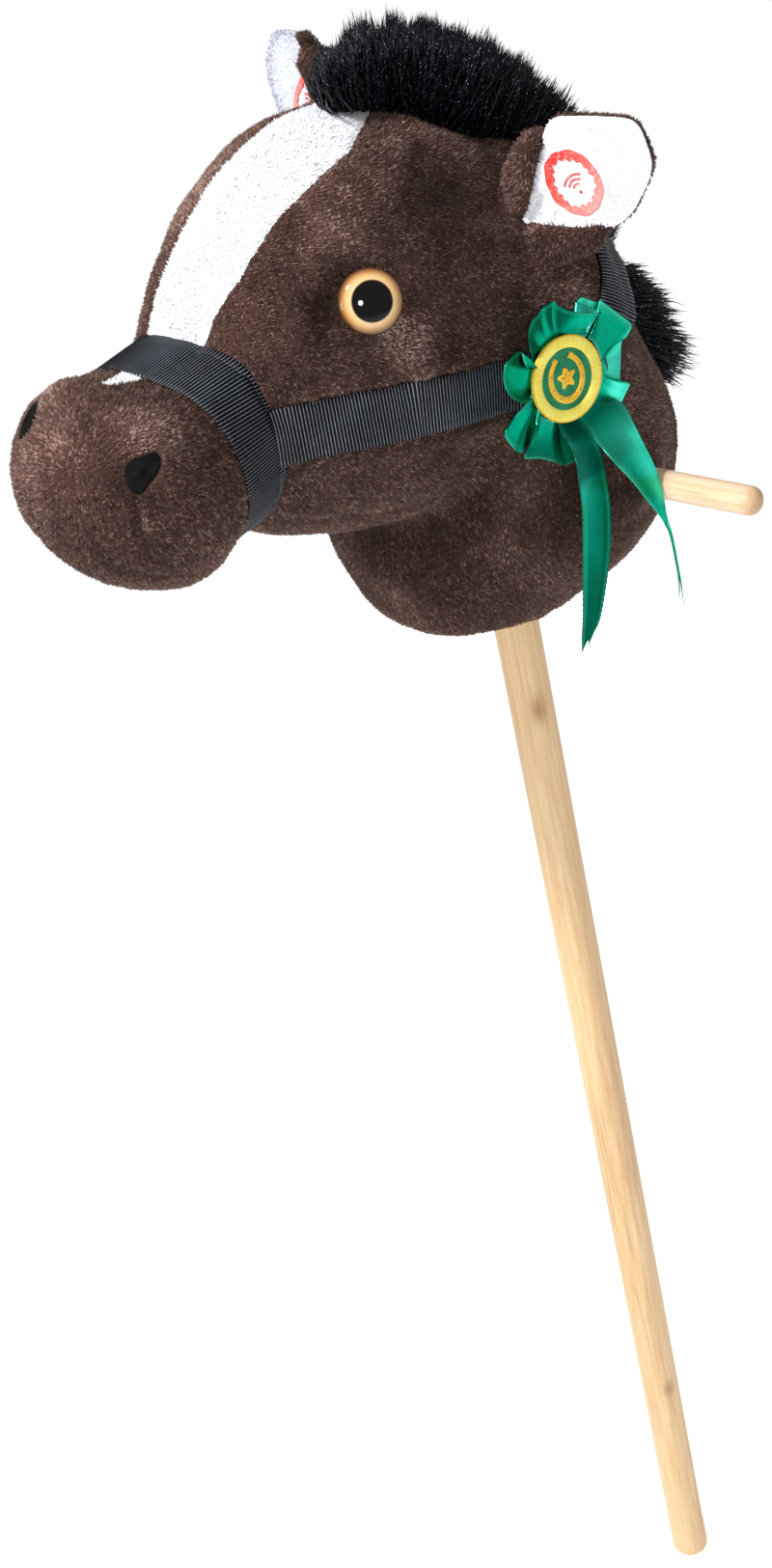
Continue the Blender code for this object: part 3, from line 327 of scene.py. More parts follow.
# ------------------------------------------------------------------ node helpers
class Nodes:
    """Short calls for building one material's nodes."""

    def __init__(self, name):
        self.mat = bpy.data.materials.new(name)
        self.mat.use_nodes = True
        self.t = self.mat.node_tree
        self.bsdf = self.t.nodes["Principled BSDF"]
        self._obj = None

    def new(self, kind, **props):
        n = self.t.nodes.new(kind)
        for k, v in props.items():
            setattr(n, k, v)
        return n

    def link(self, a, b):
        self.t.links.new(a, b)

    def put(self, socket, value):
        if isinstance(value, bpy.types.NodeSocket):
            self.link(value, socket)
        elif value is not None:
            socket.default_value = value

    def obj(self):
        if self._obj is None:
            self._obj = self.new('ShaderNodeTexCoord').outputs['Object']
        return self._obj

    def mapped(self, scale=(1, 1, 1), rot=(0, 0, 0), loc=(0, 0, 0), src=None):
        n = self.new('ShaderNodeMapping')
        self.link(src or self.obj(), n.inputs['Vector'])
        n.inputs['Scale'].default_value = scale
        n.inputs['Rotation'].default_value = rot
        n.inputs['Location'].default_value = loc
        return n.outputs[0]

    def noise(self, scale, detail=2.0, rough=0.5, src=None, distort=0.0):
        n = self.new('ShaderNodeTexNoise')
        self.link(src or self.obj(), n.inputs['Vector'])
        n.inputs['Scale'].default_value = scale
        n.inputs['Detail'].default_value = detail
        n.inputs['Roughness'].default_value = rough
        n.inputs['Distortion'].default_value = distort
        return n.outputs['Fac']

    def voronoi(self, scale, src=None, feature='F1', out='Distance', rand=1.0):
        n = self.new('ShaderNodeTexVoronoi', feature=feature)
        self.link(src or self.obj(), n.inputs['Vector'])
        n.inputs['Scale'].default_value = scale
        n.inputs['Randomness'].default_value = rand
        return n.outputs[out]

    def wave(self, scale, axis='Z', distort=0.0, detail=2.0, dscale=1.0, src=None, profile='SIN'):
        n = self.new('ShaderNodeTexWave', bands_direction=axis, wave_profile=profile)
        self.link(src or self.obj(), n.inputs['Vector'])
        n.inputs['Scale'].default_value = scale
        n.inputs['Distortion'].default_value = distort
        n.inputs['Detail'].default_value = detail
        n.inputs['Detail Scale'].default_value = dscale
        return n.outputs['Fac']

    def attr(self, name):
        return self.new('ShaderNodeAttribute', attribute_name=name).outputs['Fac']

    def ramp(self, fac, stops, interp='LINEAR'):
        n = self.new('ShaderNodeValToRGB')
        n.color_ramp.interpolation = interp
        e = n.color_ramp.elements
        while len(e) < len(stops):
            e.new(0.5)
        for k, (p, c) in enumerate(stops):
            e[k].position = p
            e[k].color = (*c, 1.0) if len(c) == 3 else c
        self.put(n.inputs['Fac'], fac)
        return n.outputs['Color']

    def math(self, op, a, b=None, c=None, clamp=False):
        n = self.new('ShaderNodeMath', operation=op)
        n.use_clamp = clamp
        self.put(n.inputs[0], a)
        if b is not None:
            self.put(n.inputs[1], b)
        if c is not None:
            self.put(n.inputs[2], c)
        return n.outputs[0]

    def span(self, v, a, b, c=0.0, d=1.0):
        n = self.new('ShaderNodeMapRange')
        self.put(n.inputs['Value'], v)
        for k, x in zip(('From Min', 'From Max', 'To Min', 'To Max'), (a, b, c, d)):
            n.inputs[k].default_value = x
        return n.outputs[0]

    def mix(self, fac, a, b, blend='MIX'):
        n = self.new('ShaderNodeMix', data_type='RGBA', blend_type=blend)
        self.put(n.inputs[0], fac)
        self.put(n.inputs[6], a if isinstance(a, bpy.types.NodeSocket) else (*a, 1.0))
        self.put(n.inputs[7], b if isinstance(b, bpy.types.NodeSocket) else (*b, 1.0))
        return n.outputs[2]

    def bump(self, height, strength=0.5, dist=0.001, normal=None):
        n = self.new('ShaderNodeBump')
        self.put(n.inputs['Height'], height)
        n.inputs['Strength'].default_value = strength
        n.inputs['Distance'].default_value = dist
        if normal is not None:
            self.link(normal, n.inputs['Normal'])
        return n.outputs[0]

    def finish(self, color=None, rough=None, normal=None, **flat):
        b = self.bsdf
        if color is not None:
            self.put(b.inputs['Base Color'], color if isinstance(color, bpy.types.NodeSocket) else (*color, 1.0))
        if rough is not None:
            self.put(b.inputs['Roughness'], rough)
        if normal is not None:
            self.link(normal, b.inputs['Normal'])
        for k, v in flat.items():
            b.inputs[k.replace('_', ' ')].default_value = v
        return self.mat


# ------------------------------------------------------------------ materials
def mat_plush(name, dark, mid, light, sheen, sheen_tint, bump=0.5):
    """Backing seen between the pile: patches where the pile lies differently, streaks and flecks, with painted light
    and shade on top.
    """
    n = Nodes(name)
    patch = n.noise(26.0, 3.0, 0.55, distort=0.6)
    streak = n.noise(150.0, 2.0, 0.6, src=n.mapped((1.0, 1.0, 0.35)))
    fleck = n.noise(900.0, 2.0, 0.6)
    v = n.math('ADD', n.math('MULTIPLY', patch, 0.40), n.math('ADD', n.math('MULTIPLY', streak, 0.30), n.math('MULTIPLY', fleck, 0.42)))
    # painted light and shade, with random tone, from the vertex attribute
    v = n.math('ADD', v, n.math('MULTIPLY', n.attr("painted_light_and_tone"), 0.25))
    col = n.ramp(v, [(0.36, dark), (0.56, mid), (0.78, light)])
    h = n.math('ADD', n.math('MULTIPLY', fleck, 0.7), n.math('MULTIPLY', streak, 0.5))
    return n.finish(col, 0.92, n.bump(h, bump, 0.0012), Sheen_Weight=sheen, Sheen_Roughness=0.45, Sheen_Tint=(*sheen_tint, 1), Specular_IOR_Level=0.15)


def mat_pile(name, stops, sheen, sheen_tint, patchy=0.30, fine=0.80):
    """Strands: darker roots, lighter tips, each its own shade, in the same patches as the backing."""
    n = Nodes(name)
    patch = n.noise(26.0, 3.0, 0.55, distort=0.6)
    broad = n.noise(9.0, 2.0, 0.5)
    v = n.math('ADD', n.math('MULTIPLY', n.attr("along"), 0.34), n.math('MULTIPLY', n.attr("shade"), 0.34))
    v = n.math('ADD', v, n.math('MULTIPLY', n.math('SUBTRACT', patch, 0.5), patchy * 1.6))
    v = n.math('ADD', v, n.math('MULTIPLY', n.math('SUBTRACT', broad, 0.5), patchy * 0.5))
    # painted light and shade, with random tone, from the vertex attribute
    v = n.math('ADD', v, n.math('MULTIPLY', n.attr("painted_light_and_tone"), 0.55))
    v = n.math('ADD', v, n.math('MULTIPLY', n.math('SUBTRACT', n.noise(430.0, 3.0, 0.7), 0.5), fine))
    col = n.ramp(v, stops)
    return n.finish(col, 0.85, None, Sheen_Weight=sheen, Sheen_Roughness=0.4, Sheen_Tint=(*sheen_tint, 1), Specular_IOR_Level=0.2)


BROWN_CLOTH = mat_plush("brown_plush", (0.014, 0.0060, 0.0042), (0.036, 0.0170, 0.0125), (0.085, 0.046, 0.036), 0.15, (0.75, 0.5, 0.42))
BROWN_PILE = mat_pile("brown_pile", [(0.00, (0.010, 0.0042, 0.0026)), (0.22, (0.041, 0.0185, 0.0122)), (0.42, (0.122, 0.068, 0.051)),
                                     (0.62, (0.285, 0.182, 0.146)), (0.86, (0.560, 0.410, 0.350))], 0.08, (0.85, 0.58, 0.48))
WHITE_CLOTH = mat_plush("white_plush", (0.70, 0.71, 0.76), (0.77, 0.78, 0.82), (0.82, 0.82, 0.85), 0.05, (1, 1, 1), 0.20)
WHITE_PILE = mat_pile("white_pile", [(-0.0, (0.50, 0.51, 0.60)), (0.10, (0.64, 0.65, 0.72)), (0.28, (0.77, 0.78, 0.82)), (0.75, (0.83, 0.83, 0.86))], 0.05, (1, 1, 1), 0.16, 0.10)
# darker copies of the white plush and pile for the far ear's lining: painted shade
FAR_CLOTH = mat_plush("white_plush_shaded", (0.36, 0.37, 0.43), (0.46, 0.47, 0.52), (0.54, 0.55, 0.59), 0.05, (1, 1, 1), 0.20)
FAR_PILE = mat_pile("white_pile_shaded", [(0.00, (0.17, 0.18, 0.24)), (0.14, (0.32, 0.33, 0.40)), (0.32, (0.50, 0.51, 0.56)), (0.75, (0.60, 0.61, 0.64))], 0.05, (1, 1, 1), 0.16, 0.12)


def mat_mane():
    n = Nodes("black_fringe")
    v = n.math('ADD', n.math('MULTIPLY', n.attr("shade"), 0.75), n.math('MULTIPLY', n.noise(420.0, 2.0, 0.6), 0.25))
    col = n.ramp(v, [(0.0, (0.0008, 0.0010, 0.0018)), (0.7, (0.0024, 0.0030, 0.0056)), (1.0, (0.011, 0.013, 0.022))])
    glint = n.span(n.noise(1500.0, 1.0, 0.5), 0.690, 0.745)
    col = n.mix(n.math('MULTIPLY', glint, 0.85, clamp=True), col, (0.55, 0.60, 0.72))
    return n.finish(col, n.span(n.noise(300.0), 0.3, 0.7, 0.30, 0.46), None, Specular_IOR_Level=0.16)


def mat_felt(name="black_felt"):
    n = Nodes(name)
    f = n.noise(1300.0, 3.0, 0.7)
    g = n.noise(260.0, 3.0, 0.6)
    v = n.math('ADD', n.math('MULTIPLY', f, 0.6), n.math('MULTIPLY', g, 0.5))
    col = n.ramp(v, [(0.35, (0.0012, 0.0014, 0.0014)), (0.75, (0.0110, 0.0120, 0.0105))])
    return n.finish(col, 0.95, n.bump(v, 1.0, 0.0022), Specular_IOR_Level=0.06)


def mat_web(name, base=(0.0050, 0.0057, 0.0082), high=(0.29, 0.32, 0.375)):
    """Grosgrain: the ribs are in the mesh; thread and random wear are here, with painted light on the rib crowns and
    painted shade in the grooves.
    """
    n = Nodes(name)
    rib = n.attr("rib")
    thread = n.noise(1500.0, 2.0, 0.6)
    wear = n.noise(60.0, 3.0, 0.6)
    # painted light on the rib crowns and painted shade in the grooves, from the rib attribute
    v = n.math('ADD', n.math('MULTIPLY', n.math('MULTIPLY', n.math('MULTIPLY', rib, rib), rib), 0.62), n.math('ADD', n.math('MULTIPLY', thread, 0.24), n.math('MULTIPLY', wear, 0.22)))
    col = n.ramp(v, [(0.30, (base[0] * 0.12, base[1] * 0.12, base[2] * 0.14)), (0.52, base), (0.86, high)])
    # painted shade: darker on the horse's right, the side turned from the light
    split = n.new('ShaderNodeSeparateXYZ')
    n.link(n.obj(), split.inputs[0])
    col = n.mix(n.span(split.outputs[0], -0.004, -0.020, 0.0, 0.80), col, (0.0008, 0.0009, 0.0013))
    return n.finish(col, n.span(thread, 0.3, 0.7, 0.46, 0.62), n.bump(thread, 0.35, 0.0004), Sheen_Weight=0.0, Specular_IOR_Level=0.10)


def mat_satin(name, deep, mid, bright, edge_dark):
    n = Nodes(name)
    weave = n.noise(2600.0, 2.0, 0.6)
    slub = n.noise(420.0, 3.0, 0.6)
    broad = n.noise(60.0, 2.0, 0.5)
    v = n.math('ADD', n.math('MULTIPLY', weave, 0.42), n.math('ADD', n.math('MULTIPLY', slub, 0.16), n.math('MULTIPLY', broad, 0.42)))
    col = n.ramp(v, [(0.36, deep), (0.52, mid), (0.70, bright)])
    edge = n.attr("edge")                      # 0 on the ribbon, 1 along its woven border
    col = n.mix(n.math('MULTIPLY', edge, 0.70), col, edge_dark)
    rim = n.attr("picot")
    col = n.mix(n.math('MULTIPLY', rim, 0.6), col, (0.06, 0.50, 0.34))
    gleam = n.attr("gleam")                    # yarn lying across the light on the turn of a fold
    col = n.mix(n.math('MULTIPLY', gleam, n.span(broad, 0.3, 0.7, 0.70, 1.0), clamp=True), col, (0.085, 0.97, 0.72))
    dark = n.attr("dark")
    col = n.mix(n.math('MULTIPLY', dark, 0.90, clamp=True), col, (0.0, 0.030, 0.016))
    dots = n.span(n.wave(880.0), 0.35, 0.65)
    col = n.mix(n.math('MULTIPLY', n.math('MULTIPLY', edge, dots), 0.55, clamp=True), col, (0.04, 0.60, 0.42))
    h = n.math('ADD', n.math('MULTIPLY', weave, 0.6), n.math('MULTIPLY', slub, 0.4))
    # cloth of filament yarn: part of its light comes back as a green gleam
    return n.finish(col, n.span(weave, 0.3, 0.7, 0.24, 0.36), n.bump(h, 0.12, 0.0004), Metallic=0.97, Specular_IOR_Level=0.45, Specular_Tint=(0.10, 0.75, 0.56, 1))


def mat_thread(name, dark, mid, light, scale=900.0):
    n = Nodes(name)
    st = n.attr("stitch")
    f = n.noise(scale, 2.0, 0.6)
    g = n.noise(140.0, 3.0, 0.6)
    v = n.math('ADD', n.math('MULTIPLY', st, 0.45), n.math('ADD', n.math('MULTIPLY', f, 0.35), n.math('MULTIPLY', g, 0.30)))
    col = n.ramp(v, [(0.30, dark), (0.56, mid), (0.85, light)])
    return n.finish(col, n.span(f, 0.3, 0.7, 0.42, 0.62), n.bump(f, 0.4, 0.0005), Sheen_Weight=0.05, Sheen_Roughness=0.35, Specular_IOR_Level=0.25)


def mat_wood(name, axis='Z', tint=1.0):
    """Sanded pale softwood: long soft grain, pores, faint knots and handling marks."""
    n = Nodes(name)
    if axis == 'Z':
        s1, s2, s3 = (1, 1, 0.045), (1, 1, 0.018), (1, 1, 0.12)
        rotv = (0, 0, 0)
    else:
        s1, s2, s3 = (0.045, 1, 1), (0.018, 1, 1), (0.12, 1, 1)
        rotv = (0, 0, -HANDLE_YAW)
    base = n.mapped((1, 1, 1), rotv)
    grain = n.noise(420.0, 3.0, 0.55, src=n.mapped(s1, src=base), distort=0.4)
    fine = n.noise(1900.0, 2.0, 0.6, src=n.mapped(s2, src=base))
    cloud = n.noise(34.0, 2.0, 0.5, src=n.mapped(s3, src=base))
    pore = n.noise(2600.0, 2.0, 0.5, src=n.mapped(s1, src=base))
    v = n.math('ADD', n.math('MULTIPLY', grain, 0.50), n.math('ADD', n.math('MULTIPLY', fine, 0.20), n.math('MULTIPLY', cloud, 0.32)))
    if axis == 'Z':
        a, b, c = (0.46 * tint, 0.265 * tint, 0.115 * tint), (0.62 * tint, 0.410 * tint, 0.205 * tint), (0.715 * tint, 0.520 * tint, 0.300 * tint)
    else:
        a, b, c = (0.53 * tint, 0.350 * tint, 0.205 * tint), (0.64 * tint, 0.465 * tint, 0.310 * tint), (0.71 * tint, 0.565 * tint, 0.420 * tint)
    col = n.ramp(v, [(0.34, a), (0.50, b), (0.68, c)])
    kn = n.attr("knot")
    col = n.mix(kn, col, (0.30, 0.145, 0.055))
    grime = n.attr("grime")
    col = n.mix(n.math('MULTIPLY', grime, n.span(cloud, 0.3, 0.7, 0.4, 1.0)), col, (0.40, 0.18, 0.06))
    col = n.mix(n.math('MULTIPLY', n.span(pore, 0.60, 0.72), 0.25), col, (0.36, 0.20, 0.09))
    h = n.math('ADD', n.math('MULTIPLY', grain, 0.6), n.math('MULTIPLY', fine, 0.4))
    return n.finish(col, n.span(grain, 0.3, 0.7, 0.42, 0.56), n.bump(h, 0.18, 0.0005), Specular_IOR_Level=0.45)


def mat_plastic(name, color, rough=0.35, spec=0.5, mottle=0.06, metal=0.0):
    n = Nodes(name)
    f = n.noise(500.0, 3.0, 0.6)
    g = n.noise(60.0, 2.0, 0.5)
    lo = tuple(c * (1 - mottle * 2.2) for c in color)
    col = n.mix(g, lo, color)
    return n.finish(col, n.span(f, 0.3, 0.7, rough * 0.85, min(1.0, rough * 1.2)), n.bump(f, 0.06, 0.0003), Metallic=metal, Specular_IOR_Level=spec)


MANE_MAT = mat_mane()
FELT = mat_felt()
WEB_MAT = mat_web("black_webbing")
NOSE_WEB = mat_web("black_webbing_nose", (0.0036, 0.0041, 0.0060), (0.20, 0.222, 0.265))
WEB_FINE = mat_web("black_webbing_fine", (0.012, 0.0145, 0.021), (0.230, 0.255, 0.310))
SATIN = mat_satin("green_satin", (0.0, 0.215, 0.118), (0.002, 0.340, 0.205), (0.006, 0.480, 0.310), (0.0, 0.100, 0.054))
YELLOW = mat_thread("yellow_thread", (0.60, 0.44, 0.02), (0.84, 0.73, 0.09), (0.90, 0.86, 0.34))
GOLD = mat_thread("gold_thread", (0.42, 0.20, 0.005), (0.78, 0.46, 0.02), (0.90, 0.62, 0.08))
BADGE_GREEN = mat_thread("green_field", (0.0, 0.040, 0.014), (0.0, 0.170, 0.062), (0.060, 0.50, 0.24), 1400.0)
WOOD_STICK = mat_wood("wood_stick", 'Z')
WOOD_BAR = mat_wood("wood_bar", 'X')

# ------------------------------------------------------------------ the stuffed body: head and neck as one skin
TWO_PI = 2 * pi


def lobe_arrays(fn, stations, nc):
    n = len(stations)
    t = np.repeat(np.array(stations), nc)
    a = np.tile(np.arange(nc) * TWO_PI / nc, n)
    V = fn(t, a)
    F = grid_faces(n, nc, True)
    T = np.concatenate([F[:, [0, 1, 2]], F[:, [0, 2, 3]]])
    # close both poles with a fan
    p0, p1 = len(V), len(V) + 1
    V = np.concatenate([V, V[:nc].mean(0, keepdims=True), V[-nc:].mean(0, keepdims=True)])
    j = np.arange(nc)
    k = (j + 1) % nc
    b = (n - 1) * nc
    caps = np.concatenate([np.stack([np.full(nc, p0), k, j], 1), np.stack([np.full(nc, p1), b + j, b + k], 1)])
    T = np.concatenate([T, caps])
    c = V.mean(0)
    fc = V[T].mean(1)
    fn_ = np.cross(V[T[:, 1]] - V[T[:, 0]], V[T[:, 2]] - V[T[:, 0]])
    if ((fc - c) * fn_).sum() < 0:
        T = T[:, ::-1]
    return V, np.ascontiguousarray(T)


HT = np.concatenate([np.linspace(0.0, 0.1, 16), np.linspace(0.1, 0.95, 110)[1:], np.linspace(0.95, 1.0, 14)[1:]])
HNC = 160
head_V, head_T = lobe_arrays(head_np, HT, HNC)
NZ = np.concatenate([np.linspace(0.7235, 0.745, 12), np.linspace(0.745, 0.94, 60)[1:]])
neck_V, neck_T = lobe_arrays(neck_np, NZ, 120)
head_tree = tree_from(head_V, head_T)
neck_tree = tree_from(neck_V, neck_T)


def signed(tree, P):
    d = np.zeros(len(P))
    for i, p in enumerate(P):
        c, n, _, dist = tree.find_nearest(Vector(p))
        d[i] = dist if (Vector(p) - c).dot(n) >= 0 else -dist
    return d


def remeshed_union():
    V = np.concatenate([head_V, neck_V])
    T = np.concatenate([head_T, neck_T + len(head_V)])
    me = make_mesh("union_source", V, T)
    ob = bpy.data.objects.new("union_source", me)
    bpy.context.scene.collection.objects.link(ob)
    m = ob.modifiers.new("voxels", 'REMESH')
    m.mode = 'VOXEL'
    m.voxel_size = 0.0024
    m.adaptivity = 0.0
    apply_modifiers(ob)
    out = mesh_arrays(ob.data)
    bpy.data.objects.remove(ob)
    # keep the outer skin only
    V, T = out
    E = tri_edges(T)
    lab = np.arange(len(V))
    while True:
        m1 = np.minimum(lab[E[:, 0]], lab[E[:, 1]])
        new = lab.copy()
        np.minimum.at(new, E[:, 0], m1)
        np.minimum.at(new, E[:, 1], m1)
        new = new[new]
        if (new == lab).all():
            break
        lab = new
    big = np.bincount(lab).argmax()
    keep = lab == big
    idx = np.cumsum(keep) - 1
    T = T[keep[T[:, 0]]]
    return V[keep], idx[T]


V, T = remeshed_union()
E = tri_edges(T)
V = relax(V, E, 3, 0.5)
h_d = signed(head_tree, V)
n_d = signed(neck_tree, V)
N = vertex_normals(V, T)
# the throat is a tight crease; towards the back of the jaw it opens into one smooth cheek
k = 0.005 + 0.045 * smoothstep(-0.050, 0.010, V[:, 1]) * (1 - 0.85 * smoothstep(0.012, 0.040, V[:, 1]))
over = np.clip(1 - np.abs(h_d - n_d) / k, 0, 1)
V = V + N * (k / 4 * over ** 2)[:, None]
V = relax(V, E, 3, 0.5)
V = V - vertex_normals(V, T) * 0.0010       # room for the pile

body_tree = tree_from(V, T)


def hit_pixel(x, y, tree=None):
    h = (tree or body_tree).ray_cast(CAM_AT, pixel_ray(x, y))
    return np.array(h[0]) if h[0] is not None else None


def polyline(pixels, mirror=False):
    pts = [hit_pixel(*p) for p in pixels]
    P = np.array([p for p in pts if p is not None])
    return mirror_np(P) if mirror else P


def line_distance(P, L):
    """Distance from each point to a polyline, and how far along it that is (0 to 1)."""
    best = np.full(len(P), 1e9)
    along = np.zeros(len(P))
    seg = np.linalg.norm(L[1:] - L[:-1], axis=1)
    cum = np.concatenate([[0], np.cumsum(seg)])
    for i in range(len(L) - 1):
        d = L[i + 1] - L[i]
        u = np.clip(((P - L[i]) @ d) / max(d @ d, 1e-12), 0, 1)
        q = L[i] + u[:, None] * d
        r = np.linalg.norm(P - q, axis=1)
        m = r < best
        best[m] = r[m]
        along[m] = ((cum[i] + u * seg[i]) / cum[-1])[m]
    return best, along


# features read in the photograph's frame: pixels, depth (+ out), width, both sides
FEATURES = [
    ([(263, 532), (330, 540), (400, 530), (470, 509), (530, 487)], -0.0014, 0.0022, True),          # jaw seam
    ([(141, 512), (143, 535), (149, 556), (154, 574)], -0.0022, 0.0017, True),                       # dart under the nostril
    ([(149, 512), (151, 535), (157, 556)], 0.0011, 0.0030, True),
    ([(133, 516), (135, 535), (141, 556)], 0.0009, 0.0030, True),
    ([(120, 420), (150, 436), (176, 446), (196, 462)], 0.0016, 0.0060, True),                        # fold above the nostril
    ([(168, 446), (190, 470), (214, 500)], -0.0014, 0.0050, True),
    ([(508, 172), (522, 215), (545, 262), (566, 290)], -0.0055, 0.0080, True),                       # tuck in front of the ear
    ([(392, 124), (435, 139), (484, 160), (508, 174)], 0.0042, 0.0070, True),                                    # soft fold from the ear to the brow
    ([(420, 162), (456, 180), (488, 202), (512, 236)], -0.0044, 0.0080, True),
    ([(575, 290), (590, 283), (612, 268)], -0.0020, 0.0060, True),
    ([(416, 350), (428, 368), (446, 390)], 0.0034, 0.0060, True),
    ([(398, 364), (412, 386), (430, 404)], -0.0018, 0.0050, True),
    ([(456, 300), (480, 340), (500, 372)], -0.0014, 0.0060, True),
    ([(300, 330), (318, 362), (330, 392)], 0.0016, 0.0060, True),                                    # puff below the eye
    ([(322, 296), (334, 325), (350, 352)], -0.0040, 0.0090, True),                                   # hollow before the eye
    ([(262, 395), (292, 425)], -0.0016, 0.0050, True),                                               # pinch where the straps meet
    ([(372, 345), (398, 352), (418, 340)], -0.0014, 0.0045, True),
    ([(470, 480), (520, 470), (560, 470)], -0.0015, 0.0060, False),
    ([(560, 560), (600, 540), (640, 520)], 0.0014, 0.0100, False),
]
push = np.zeros(len(V))
for pix, depth, width, both in FEATURES:
    for mirror in ((False, True) if both else (False,)):
        L = polyline(pix, mirror)
        if len(L) < 2:
            continue
        d, al = line_distance(V, L)
        ends = smoothstep(0.0, 0.18, al) * smoothstep(0.0, 0.18, 1 - al) * 0.85 + 0.15
        push += depth * np.exp(-(d / width) ** 2) * ends
# each eye is drawn in by its shank
EYES = {}
for side in ("left", "right"):
    at = EYE_AT if side == "left" else mirror_head(EYE_AT) + Vector((0.0, 0.0070, -0.0110))
    ax = EYE_AXIS if side == "left" else mirror_head(EYE_AXIS, True)
    o = at - ax * 0.03 + ax * 0.4
    hit = head_tree.ray_cast(o, -ax)
    EYES[side] = (hit[0] - ax * (0.0 if side == "left" else 0.0042), ax)
    r = np.linalg.norm(V - np.array(hit[0]), axis=1)
    push += -0.0034 * np.exp(-(r / 0.017) ** 2) + 0.0016 * np.exp(-((r - 0.025) / 0.007) ** 2)
# strap pressure
CHEEK = [(-0.1425, 0.8925), (-0.125, 0.8895), (-0.103, 0.8850), (-0.075, 0.8800), (-0.045, 0.8740), (-0.020, 0.8690), (-0.002, 0.8660)]
strap_z = np.interp(V[:, 1], [c[0] for c in CHEEK], [c[1] for c in CHEEK])
other = mirror_np(V)
on_side = smoothstep(0.022, 0.040, np.abs(V[:, 0])) * smoothstep(-0.150, -0.138, V[:, 1]) * smoothstep(0.030, 0.0, V[:, 1])
dz = np.abs(np.where(V[:, 0] > 0, V[:, 2], other[:, 2]) - strap_z)
push += on_side * (-0.0010 * smoothstep(0.0145, 0.0110, dz) + 0.0014 * np.exp(-((dz - 0.0165) / 0.0040) ** 2))
# the cloth stands up a little round the bar
bar_axis = V - np.array([0, 0, HANDLE_Z])
bar_dir = np.array(HANDLE_DIR)
bar_r = np.linalg.norm(bar_axis - (bar_axis @ bar_dir)[:, None] * bar_dir, axis=1)
push += 0.0070 * np.exp(-(bar_r / 0.0125) ** 2)
# gathers at the stick
rs = np.linalg.norm(V[:, :2], axis=1)
ang = np.arctan2(V[:, 1], V[:, 0])
push += 0.0016 * np.cos(13 * ang + 1.2 * np.sin(2 * ang)) * smoothstep(0.050, 0.014, rs) * smoothstep(0.748, 0.735, V[:, 2])
# stuffing lumps
push += 0.0010 * vnoise(V, 26.0, 1) + 0.0006 * vnoise(V, 55.0, 2) + 0.00025 * vnoise(V, 150.0, 3)
N = vertex_normals(V, T)
V = V + N * push[:, None]
V = relax(V, E, 1, 0.4)
N = vertex_normals(V, T)
body_tree = tree_from(V, T)

# panel coordinates on the head: station and angle, read from the nearest place on the head form
HC = head_V[:len(HT) * HNC].reshape(len(HT), HNC, 3)


def panel_coords(P):
    t = np.zeros(len(P))
    a = np.zeros(len(P))
    nf = (len(HT) - 1) * HNC
    for i, p in enumerate(P):
        c, n, f, _ = head_tree.find_nearest(Vector(p))
        if f >= 2 * nf:
            t[i] = 0.0 if p[1] < -0.1 else 1.0
            a[i] = 0.0
            continue
        q = f % nf
        r, s = divmod(q, HNC)
        A, B = HC[r, s], HC[r + 1, s]
        C = HC[r, (s + 1) % HNC]
        d1, d2 = B - A, C - A
        x = np.array(c) - A
        u = float(np.clip(x @ d1 / max(d1 @ d1, 1e-14), 0, 1))
        w = float(np.clip(x @ d2 / max(d2 @ d2, 1e-14), 0, 1))
        t[i] = HT[r] + (HT[r + 1] - HT[r]) * u
        a[i] = (s + w) * 360.0 / HNC
    return t, (a + 180.0) % 360.0 - 180.0


pt, pa = panel_coords(V)
half_w = np_hermite(HEAD, pt)[:, 3]
on_head = n_d - h_d                      # > 0 where the head is the outer form
# the white stripe carries on under the noseband to a small tip
STRIPE_ALL = [(0.190, 1.6, -2.6), (0.222, 6.4, -4.8), (0.262, 10, -17)] + STRIPE
S = np_linear(STRIPE_ALL, pt)
deg = np.maximum(half_w, 0.02) * pi / 180
s_blaze = np.minimum(np.minimum(S[:, 1] - pa, pa - S[:, 2]) * deg, np.minimum((pt - 0.187) * 0.26, (T_POLL + 0.006 - pt) * 0.35))
s_nose = (T_NOSE - pt) * 0.26
C = np_linear(CHIN, pt)
s_chin = np.minimum((C[:, 1] - (180 - np.abs(pa))) * deg, np.minimum((0.70 - pt) * 0.3, on_head))
s_left = V[:, 0].copy()
Z_BASE = 0.740
s_base = Z_BASE - V[:, 2]
# a shallow valley along every seam
valley = 0.0
for s, dpt, wd in ((s_blaze, 0.0007, 0.0016), (np.where(on_head > 0, s_chin, 1), 0.0007, 0.0020), (s_base, 0.0009, 0.0022),
                   (np.where((on_head < 0) & (V[:, 1] < 0), s_left, 1), 0.0006, 0.0018), (np.where((on_head < 0) & (V[:, 1] > 0), s_left, 1), 0.0006, 0.0018)):
    valley = valley + dpt * np.exp(-(s / wd) ** 2)
V = V - N * valley[:, None]
N = vertex_normals(V, T)
body_tree = tree_from(V, T)


